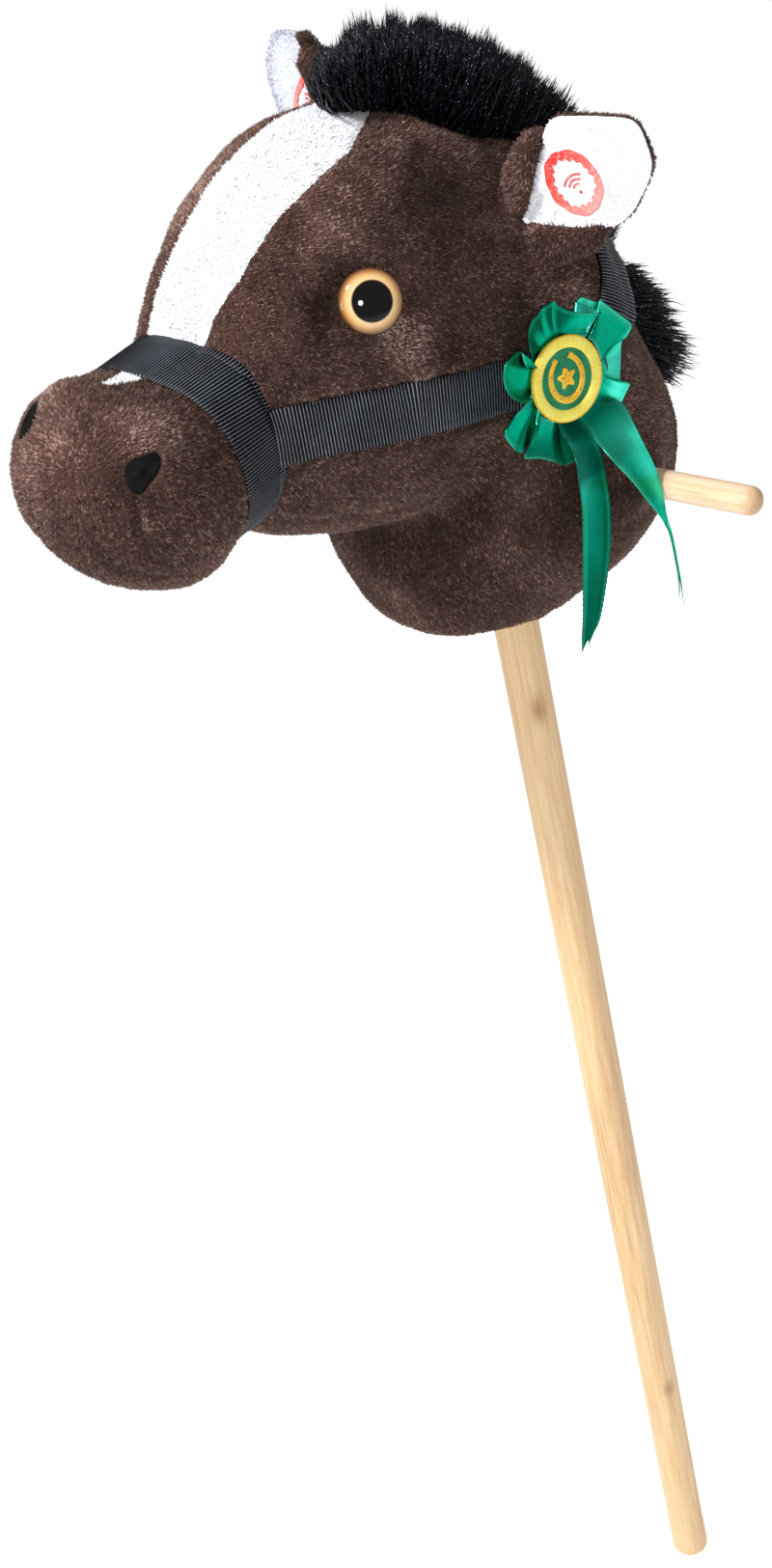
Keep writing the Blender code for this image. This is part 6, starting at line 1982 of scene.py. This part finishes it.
def ros_pixel(px, py, n):
    """The point of the plane n millimetres in front of the rosette's seat that shows at this pixel."""
    o = ROSETTE_AT + ROSETTE_AXIS * (n * 0.001)
    d = pixel_ray(px, py)
    k_ = (o - CAM_AT).dot(ROSETTE_AXIS) / d.dot(ROSETTE_AXIS)
    return CAM_AT + d * k_


def crop(cx, cy, n):
    return ros_pixel(510 + cx / 8.04, 295 + cy / 8.04, n)


def ribbon(name, edge_a, edge_b, closed, rows_n, steps, picot_a=False, picot_b=False, bulge=None, thick=0.00035, mat=None, replaces=(), border=0.0013, notch=0.0, light=None):
    """A cloth strip between two smooth edge lines. Each is a list of points, paired one to one."""
    A, B = np.array([tuple(p) for p in edge_a]), np.array([tuple(p) for p in edge_b])

    def curve(Pts):
        n = len(Pts)
        if closed:
            Q = np.concatenate([Pts[-1:], Pts, Pts[:2]])
            segs_ = n
        else:
            Q = np.concatenate([2 * Pts[:1] - Pts[1:2], Pts, 2 * Pts[-1:] - Pts[-2:-1]])
            segs_ = n - 1
        out = []
        for i in range(segs_):
            p0, p1, p2, p3 = Q[i], Q[i + 1], Q[i + 2], Q[i + 3]
            for s in np.linspace(0, 1, steps, endpoint=False):
                out.append(0.5 * ((2 * p1) + (-p0 + p2) * s + (2 * p0 - 5 * p1 + 4 * p2 - p3) * s ** 2 + (-p0 + 3 * p1 - 3 * p2 + p3) * s ** 3))
        if not closed:
            out.append(Pts[-1])
        return np.array(out)
    CA, CB = curve(A), curve(B)
    n = len(CA)
    width = np.linalg.norm(CB - CA, axis=1)
    rows, edge, picot = [], [], []
    fr = np.linspace(0, 1, rows_n)
    mean_w = max(width.mean(), 1e-6)
    fr = np.unique(np.concatenate([fr, [0.25 * border / mean_w, border / mean_w, 1 - border / mean_w, 1 - 0.25 * border / mean_w]]))
    tang = unit(np.roll(CA, -1, 0) - np.roll(CA, 1, 0)) if closed else unit(np.gradient(CA, axis=0))
    across = unit(CB - CA)
    nor = unit(np.cross(tang, across))
    for f in fr:
        p = CA * (1 - f) + CB * f
        if bulge is not None:
            p = p + nor * (bulge * np.sin(pi * f) * 1.0) if np.isscalar(bulge) else p + nor * (bulge[:, None] * np.sin(pi * f))
        rows.append(p)
        d = min(f, 1 - f) * mean_w
        edge.append(np.full(n, 1.0 if (0.30 * border < d <= border * 1.01) else 0.0))
        picot.append(np.full(n, 1.0 if d <= 0.30 * border else 0.0))
    rows = np.array(rows)
    if notch:
        # the cut end: a V between two points
        u0 = np.arange(n)
        for i, f in enumerate(fr):
            u1 = u0 * (1 - notch * (1 - abs(2 * f - 1)))
            rows[i] = np.stack([np.interp(u1, u0, rows[i][:, c_]) for c_ in range(3)], 1)
    if picot_a:
        tick = (np.arange(n) % 2) * 2 - 1
        rows[0] = rows[0] + (CA - CB) / np.maximum(width, 1e-6)[:, None] * (0.00022 * tick)[:, None]
    if picot_b:
        tick = (np.arange(n) % 2) * 2 - 1
        rows[-1] = rows[-1] + (CB - CA) / np.maximum(width, 1e-6)[:, None] * (0.00022 * tick)[:, None]
    me = make_mesh(name, rows.reshape(-1, 3), grid_faces(len(fr), n, closed))
    float_attr(me, "edge", np.concatenate(edge))
    float_attr(me, "picot", np.concatenate(picot))
    # how the folds turn: the crests catch the light along the yarn, the valleys fall dark
    flat = rows.reshape(-1, 3)
    gf = grid_faces(len(fr), n, closed)
    gt = np.concatenate([gf[:, [0, 1, 2]], gf[:, [0, 2, 3]]])
    vn = vertex_normals(flat, gt)
    if (vn.mean(0) @ np.array(ROSETTE_AXIS)) < 0:
        vn = -vn
    along = unit((np.roll(rows, -1, 1) - np.roll(rows, 1, 1)).reshape(-1, 3))
    toward = unit(np.array([0.40, -0.62, 0.67]))
    ff = np.repeat(fr, n)
    uu = np.tile(np.arange(n) / (n - 1.0), len(fr))
    if light is None:
        # yarns side by side shine where they lie across the light; wrinkles run out from the gathers
        rng = np.random.default_rng(77)
        knots = rng.random(n // 5)
        wr = np.interp(np.arange(n) / 5.0, np.arange(len(knots)), knots)
        q = (1 - (along @ toward) ** 2) * smoothstep(0.10, 0.85, np.abs(vn @ toward)) + 0.30 * (np.tile(wr, len(fr)) - 0.5) * (0.35 + 0.65 * ff)
        lo_, a_, b_, hi_ = np.percentile(q, [3, 34, 46, 93])
        gleam, dark = smoothstep(b_, hi_, q) ** 1.2, 1 - smoothstep(lo_, a_, q)
    else:
        gleam, dark = light(uu, ff)
    float_attr(me, "gleam", np.clip(gleam, 0, 1))
    float_attr(me, "dark", np.clip(dark, 0, 1))
    ob = new_piece(name, me, mat or SATIN, ROOT, replaces)
    so = ob.modifiers.new("cloth", 'SOLIDIFY')
    so.thickness = thick
    so.offset = 0.0
    so.use_even_offset = False
    apply_modifiers(ob)
    return ob, (rows, n)


# outer edge and gathered inner edge of the pleated ring, (x, y in the crop, height in mm), clockwise from the top
RING = [
    # outer                 inner
    ((505, 138, 17.0), (540, 470, 9.5)),
    ((560, 180, 14.5), (575, 455, 9.3)),
    ((660, 222, 11.5), (640, 440, 9.0)),
    ((780, 238, 10.5), (710, 430, 8.8)),
    ((905, 238, 10.5), (780, 430, 8.8)),
    ((860, 215, 7.8), (760, 440, 7.8)),
    ((760, 170, 6.5), (700, 450, 7.2)),
    ((700, 150, 5.6), (680, 460, 6.8)),
    ((745, 105, 5.6), (720, 470, 6.6)),
    ((820, 130, 6.4), (760, 480, 6.6)),
    ((900, 150, 7.5), (800, 480, 7.0)),
    ((900, 128, 9.0), (800, 450, 8.2)),
    ((985, 190, 10.0), (840, 480, 8.6)),
    ((1080, 262, 10.0), (880, 550, 8.6)),
    ((1160, 335, 9.0), (905, 630, 8.4)),
    ((1120, 430, 7.7), (900, 650, 7.6)),
    ((1080, 470, 6.8), (890, 640, 6.8)),
    ((1072, 545, 6.5), (890, 650, 6.4)),
    ((1068, 660, 6.7), (900, 690, 6.6)),
    ((1062, 775, 7.0), (905, 730, 7.0)),
    ((1075, 800, 8.2), (905, 720, 8.0)),
    ((1142, 828, 9.2), (910, 745, 8.6)),
    ((1110, 905, 8.6), (905, 800, 8.4)),
    ((1072, 990, 7.6), (890, 860, 8.0)),
    ((1040, 1060, 6.7), (860, 940, 7.0)),
    ((960, 1180, 6.3), (810, 1010, 6.4)),
    ((880, 1300, 6.3), (750, 1070, 6.4)),
    ((770, 1400, 5.4), (680, 1120, 6.8)),
    ((680, 1470, 7.0), (610, 1145, 7.6)),
    ((608, 1502, 9.5), (545, 1140, 8.8)),
    ((520, 1478, 11.5), (500, 1130, 9.0)),
    ((400, 1448, 12.0), (450, 1110, 9.0)),
    ((272, 1442, 12.5), (410, 1080, 9.0)),
    ((330, 1330, 9.0), (400, 1060, 8.0)),
    ((370, 1240, 7.5), (385, 1040, 7.6)),
    ((300, 1330, 9.0), (375, 1030, 8.0)),
    ((240, 1402, 13.0), (372, 1010, 9.0)),
    ((160, 1340, 15.5), (365, 985, 9.4)),
    ((108, 1240, 16.5), (352, 950, 9.6)),
    ((170, 1120, 14.0), (345, 920, 9.2)),
    ((255, 1020, 11.0), (340, 900, 8.8)),
    ((312, 972, 10.0), (345, 880, 8.8)),
    ((240, 985, 14.0), (345, 860, 9.2)),
    ((150, 925, 17.0), (345, 830, 9.6)),
    ((95, 800, 19.0), (345, 800, 9.8)),
    ((112, 670, 19.5), (350, 770, 9.8)),
    ((180, 585, 19.0), (362, 745, 9.8)),
    ((238, 560, 18.0), (375, 720, 9.6)),
    ((262, 640, 16.0), (385, 700, 9.2)),
    ((290, 700, 13.5), (395, 680, 9.0)),
    ((335, 690, 11.5), (410, 650, 8.8)),
    ((330, 600, 11.0), (425, 620, 8.8)),
    ((310, 500, 13.5), (440, 590, 9.2)),
    ((300, 400, 16.5), (455, 560, 9.4)),
    ((345, 290, 18.5), (470, 530, 9.6)),
    ((420, 200, 18.5), (495, 500, 9.6)),
]
outer_edge = [crop(*o) for o, i in RING]
inner_edge = [crop(*i) for o, i in RING]
ring_ob, _ = ribbon("rosette_pleats", outer_edge, inner_edge, True, 7, 10, picot_a=True, bulge=0.0012, replaces=("rosette_petals",))

# badge
deck_top = 10.4


def disc(name, rad_h, nj, mat, stitch=None, centre=(0, 0), squash=1.0, replaces=(), thick=0.0):
    VV, st = [], []
    for i, (r, h) in enumerate(rad_h):
        for j in range(nj):
            a = TWO_PI * j / nj
            lift, s = stitch(r, a) if stitch else (0.0, 0.5)
            VV.append(tuple(ros(centre[0] + r * cos(a), centre[1] + r * sin(a), h + lift)))
            st.append(s)
    FF = [tuple(f) for f in grid_faces(len(rad_h), nj, True)]
    if rad_h[0][0] > 0.01:
        pass
    me = make_mesh(name, np.array(VV), FF)
    float_attr(me, "stitch", st)
    bm = bmesh.new()
    bm.from_mesh(me)
    bmesh.ops.remove_doubles(bm, verts=bm.verts, dist=0.000005)
    bmesh.ops.recalc_face_normals(bm, faces=bm.faces)
    bm.to_mesh(me)
    bm.free()
    if sum(p.normal.dot(ROSETTE_AXIS) * p.area for p in me.polygons) < 0:
        me.flip_normals()
    return new_piece(name, me, mat, ROOT, replaces)


BC = ros_pixel(587.5, 392.5, deck_top + 1.0)
bc_u = (BC - ROSETTE_AT).dot(RU) * 1000
bc_v = (BC - ROSETTE_AT).dot(RV) * 1000
BADGE_C = (bc_u, bc_v)


def ring_stitch(r, a):
    k_ = 150
    ph = (a * k_ / TWO_PI + 0.6 * sin(a * 3)) % 1.0
    bump_ = 0.5 - 0.5 * cos(TWO_PI * ph)
    wob = 0.12 * sin(9 * a)
    return 0.14 * bump_ + 0.05 * wob, 0.25 + 0.75 * bump_ * (0.8 + 0.2 * sin(37 * a))


prof = [(17.9, deck_top - 0.2), (18.1, deck_top + 0.4), (18.0, deck_top + 1.0), (17.6, deck_top + 1.45), (16.8, deck_top + 1.62), (15.6, deck_top + 1.70),
        (14.3, deck_top + 1.62), (13.3, deck_top + 1.40), (12.9, deck_top + 1.05)]
disc("rosette_badge_ring", prof, 900, YELLOW, ring_stitch, centre=BADGE_C, replaces=("rosette_badge",))
disc("rosette_badge_cord", [(17.5, deck_top + 1.50), (17.8, deck_top + 1.66), (18.15, deck_top + 1.50), (18.25, deck_top + 1.1)], 300, GOLD,
     lambda r, a: (0.06 * sin(95 * a), 0.5 + 0.5 * sin(95 * a)), centre=BADGE_C)


def field_stitch(r, a):
    x, y = r * cos(a), r * sin(a)
    s = sin(x * 7.0 + 0.5 * sin(y * 3)) * sin(y * 8.5 + 0.6 * sin(x * 2.1))
    return 0.07 * s, 0.5 + 0.5 * s


disc("rosette_badge_field", [(max(0.001, r), deck_top + 1.02) for r in np.linspace(0, 13.1, 60)], 240, BADGE_GREEN, field_stitch, centre=BADGE_C)
disc("rosette_badge_back", [(max(0.001, r), deck_top - 0.15) for r in (0, 6, 12, 17.5)] + [(17.8, deck_top + 0.1)], 60, FELT, None, BADGE_C, 1.0, ("rosette_backing",))


# embroidered motif: a horseshoe with nail marks over a five-pointed star, in raised gold thread
def emb_strip(name, pts, widths, mat, h0, per=1.0):
    """A raised satin-stitched line in badge coordinates (mm)."""
    P2 = np.array(pts, float)
    seg = np.linalg.norm(np.diff(P2, axis=0), axis=1)
    cum = np.concatenate([[0], np.cumsum(seg)])
    n = max(8, int(cum[-1] / 0.16))
    s = np.linspace(0, cum[-1], n)
    X, Y = np.interp(s, cum, P2[:, 0]), np.interp(s, cum, P2[:, 1])
    W = np.interp(s, cum, widths)
    tx, ty = np.gradient(X), np.gradient(Y)
    L = np.maximum(np.hypot(tx, ty), 1e-9)
    nx, ny = -ty / L, tx / L
    VV, st = [], []
    cs_ = np.linspace(-1, 1, 7)
    for i in range(n):
        stc = 0.5 + 0.5 * sin(s[i] * TWO_PI / 0.48)
        for c_ in cs_:
            hgt = h0 + 0.42 * sqrt(max(0, 1 - c_ ** 2)) + 0.05 * stc * (1 - abs(c_))
            VV.append(tuple(ros(BADGE_C[0] + X[i] + nx[i] * W[i] / 2 * c_, BADGE_C[1] + Y[i] + ny[i] * W[i] / 2 * c_, hgt)))
            st.append(stc)
    me = make_mesh(name, np.array(VV), grid_faces(n, 7))
    float_attr(me, "stitch", st)
    if sum(p.normal.dot(ROSETTE_AXIS) * p.area for p in me.polygons) < 0:
        me.flip_normals()
    return me


def join_meshes(name, meshes, attr="stitch"):
    Vs, Fs, st, o = [], [], [], 0
    for me in meshes:
        v_ = np.zeros(len(me.vertices) * 3)
        me.vertices.foreach_get("co", v_)
        v_ = v_.reshape(-1, 3)
        a_ = np.zeros(len(me.vertices))
        me.attributes[attr].data.foreach_get("value", a_)
        Vs.append(v_)
        Fs += [tuple(o + i for i in p.vertices) for p in me.polygons]
        st.append(a_)
        o += len(v_)
    out = make_mesh(name, np.concatenate(Vs), Fs)
    float_attr(out, attr, np.concatenate(st))
    return out


shoe = []
for a in spread(radians(-232), radians(52), 46):
    shoe.append((7.6 * cos(a) * (1.0 if sin(a) > -0.2 else 0.97), 1.2 + 8.2 * sin(a + 0) * -1 * -1))
shoe = [(8.2 * sin(b), 0.4 - 9.4 * cos(b)) for b in spread(radians(-148), radians(148), 48)]
wid = [3.1 - 0.9 * abs(x / 24.0 - 1) ** 1.5 for x in range(48)]
motif = [emb_strip("shoe", shoe, wid, GOLD, deck_top + 1.0)]
star = []
for k_ in range(11):
    r = 4.3 if k_ % 2 == 0 else 1.9
    b = radians(90 + 36 * k_)
    star.append((r * cos(b), 0.4 + r * sin(b)))
motif.append(emb_strip("star", star, [1.6] * len(star), GOLD, deck_top + 1.0))
motif.append(emb_strip("star_fill", [(-1.5, 0.4), (1.5, 0.4)], [2.9, 2.9], GOLD, deck_top + 0.95))
for sx in (-1, 1):
    motif.append(emb_strip("toe", [(sx * 5.0, 8.2), (sx * 3.3, 9.5)], [2.7, 2.5], GOLD, deck_top + 1.0))
me = join_meshes("rosette_badge_motif", motif)
new_piece("rosette_badge_motif", me, GOLD, ROOT)
nail = []
for b in (-110, -75, -40, 40, 75, 110):
    x, y = 8.2 * sin(radians(b)), 0.4 - 9.4 * cos(radians(b))
    nail.append(emb_strip("nail", [(x * 0.96, 0.4 + (y - 0.4) * 0.96), (x * 1.04, 0.4 + (y - 0.4) * 1.04)], [0.7, 0.7], BADGE_GREEN, deck_top + 1.28))
me = join_meshes("rosette_badge_nails", nail)
new_piece("rosette_badge_nails", me, BADGE_GREEN, ROOT)


# tails: stations by pixel and height, with both edges, so that they lie as photographed
def tail(name, stations, replaces, notch, light):
    L_, R_ = [], []
    for a, b in stations:
        L_.append(a)
        R_.append(b)
    ob, _ = ribbon(name, L_, R_, False, 6, 14, picot_a=True, picot_b=True, bulge=0.0006, replaces=replaces, notch=notch, light=light)
    return ob


def xplane(px, py, x):
    """The point of the upright plane at this x that shows at this pixel."""
    d = pixel_ray(px, py)
    return CAM_AT + d * ((x - CAM_AT.x) / d.x)


tail("rosette_ribbon_front", [
    (crop(540, 1060, 9.4), crop(690, 1030, 9.4)),
    (crop(545, 1160, 10.0), crop(735, 1120, 9.8)),
    (crop(610, 1290, 12.4), crop(830, 1250, 11.6)),
    (crop(690, 1440, 14.0), crop(905, 1400, 13.0)),
    (xplane(600, 500, 0.1005), xplane(628, 494, 0.0990)),
    (xplane(603, 525, 0.1005), xplane(632, 522, 0.0990)),
    (xplane(604, 560, 0.1010), xplane(633, 560, 0.0985)),
    (xplane(604, 600, 0.1005), xplane(629, 600, 0.0990)),
    (xplane(604, 640, 0.0995), xplane(622, 640, 0.0995)),
    (xplane(603, 662, 0.0990), xplane(615, 656, 0.0990)),
    (xplane(603.5, 676, 0.0985), xplane(610, 668, 0.0985)),
], ("rosette_tail_front",), 0.085, lambda u, f: (
    0.80 * np.exp(-((u - 0.40) / 0.13) ** 2) * np.exp(-((f - 0.22) / 0.26) ** 2) + 0.30 * np.exp(-((u - 0.62) / 0.10) ** 2) * (1 - f),
    0.74 + 0.40 * np.exp(-(u / 0.13) ** 2) + 0.20 * smoothstep(0.62, 1.0, u) + 0.35 * smoothstep(0.55, 1.0, f) * smoothstep(0.25, 0.6, u)))
tail("rosette_ribbon_rear", [
    (crop(640, 1080, 9.0), crop(840, 940, 9.0)),
    (crop(720, 1150, 9.4), crop(930, 985, 9.4)),
    (crop(790, 1220, 11.0), crop(1080, 985, 10.4)),
    (crop(905, 1355, 13.0), crop(1180, 1160, 12.0)),
    (xplane(638, 481, 0.1010), xplane(666, 458, 0.0985)),
    (xplane(656, 500, 0.1030), xplane(677, 480, 0.1010)),
    (xplane(669, 517, 0.1045), xplane(684, 500, 0.1035)),
    (xplane(682, 533, 0.1055), xplane(688, 517, 0.1060)),
    (xplane(690, 545, 0.1065), xplane(692, 538, 0.1085)),
    (xplane(695, 557, 0.1072), xplane(697.0, 554, 0.1095)),
    (xplane(700, 580, 0.1078), xplane(702, 580, 0.1095)),
    (xplane(703, 600, 0.1080), xplane(705.5, 600, 0.1090)),
    (xplane(704, 621, 0.1080), xplane(708.5, 625, 0.1085)),
], ("rosette_tail_rear",), 0.10, lambda u, f: (
    0.95 * np.exp(-((u - 0.46) / 0.17) ** 2) * np.exp(-((f - 0.78) / 0.30) ** 2) + 0.25 * np.exp(-((u - 0.30) / 0.10) ** 2),
    0.80 * np.exp(-(u / 0.15) ** 2) + 0.60 * smoothstep(0.66, 0.80, u) + 0.30 * np.exp(-((f - 0.1) / 0.2) ** 2) * smoothstep(0.2, 0.5, u)))


# ------------------------------------------------------------------ inner hardware: finishes for what stays as the frame has it
INNER = {
    "stuffing": mat_plush("fibre_fill", (0.60, 0.60, 0.58), (0.74, 0.74, 0.72), (0.85, 0.85, 0.83), 0.3, (1, 1, 1)),
    "neck_tie": mat_plastic("nylon", (0.74, 0.74, 0.71), 0.38),
    "washer": mat_plastic("washer_plastic", (0.78, 0.78, 0.76), 0.34),
    "case": mat_plastic("case_plastic", (0.72, 0.73, 0.72), 0.42),
    "board": mat_plastic("circuit_board", (0.018, 0.19, 0.07), 0.30),
    "speaker": mat_plastic("brass_disc", (0.74, 0.54, 0.22), 0.28, 0.5, 0.08, 1.0),
    "steel": mat_plastic("steel", (0.66, 0.66, 0.68), 0.25, 0.5, 0.05, 1.0),
    "button": mat_plastic("red_button", (0.60, 0.035, 0.028), 0.30),
}
fill.data.materials.append(INNER["stuffing"])
for nm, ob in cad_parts.items():
    if ob.hide_render:
        continue
    if nm == "stuffing":
        m = INNER["stuffing"]
    elif nm == "neck_tie":
        m = INNER["neck_tie"]
    elif "washer" in nm:
        m = INNER["washer"]
    elif "case" in nm:
        m = INNER["case"]
    elif "board" in nm:
        m = INNER["board"]
    elif "speaker" in nm:
        m = INNER["speaker"]
    elif "cell" in nm or "spring" in nm:
        m = INNER["steel"]
    elif nm.endswith("_ear_button"):
        m = INNER["button"]
    else:
        continue
    if not ob.material_slots:
        ob.data.materials.append(m)
    for s in ob.material_slots:
        s.material = m

# the springs behind the ear buttons, as pieces of their own in steel
for side_, ax in (("left", (-0.462339, 0.869534, -0.173648)), ("right", (0.164915, 0.963752, -0.209724))):
    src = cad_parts[side_ + "_ear_voice_spring"]
    me = src.data.copy()
    me.transform(src.matrix_world)
    me.materials.clear()
    P = np.array([v.co[:] for v in me.vertices])
    seat = P[np.argmax(P @ np.array(ax))]
    ob = new_piece(side_ + "_ear_spring_coils", me, INNER["steel"], replaces=(side_ + "_ear_voice_spring",))
    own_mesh(ob)

# ------------------------------------------------------------------ floor, light, world
n = Nodes("floor")
g = n.noise(3.0, 2.0, 0.5)
n.finish(n.mix(g, (0.86, 0.86, 0.86), (0.88, 0.88, 0.88)), 0.9, None, Specular_IOR_Level=0.1, Emission_Color=(1, 1, 1, 1), Emission_Strength=0.62)
me = make_mesh("floor", np.array([(-6, -6, 0), (6, -6, 0), (6, 6, 0), (-6, 6, 0)], float), [(0, 1, 2, 3)])
floor_ob = bpy.data.objects.new("floor", me)
bpy.context.scene.collection.objects.link(floor_ob)
me.materials.append(n.mat)

world = bpy.data.worlds.new("studio")
world.use_nodes = True
bg = world.node_tree.nodes["Background"]
bg.inputs[0].default_value = (1.0, 1.0, 1.0, 1.0)
bg.inputs[1].default_value = 0.40
bpy.context.scene.world = world
bpy.context.scene.view_settings.view_transform = 'Standard'
bpy.context.scene.view_settings.look = 'None'


def area_light(name, at, to, size, power, color=(1, 1, 1)):
    ld = bpy.data.lights.new(name, 'AREA')
    ld.shape = 'DISK'
    ld.size = size[0]
    ld.energy = power
    ld.color = color
    lo = bpy.data.objects.new(name, ld)
    bpy.context.scene.collection.objects.link(lo)
    lo.location = at
    lo.rotation_euler = (Vector(to) - Vector(at)).to_track_quat('-Z', 'Y').to_euler()
    return lo


AIM = (0.0, -0.04, 0.86)
area_light("key", (-0.10, -1.15, 2.30), AIM, (0.26, 0.26), 50.0)
area_light("front", (1.15, -1.10, 1.45), AIM, (0.22, 0.22), 8.0)
area_light("low", (-0.60, -1.30, 1.05), AIM, (0.5, 0.5), 4.0)
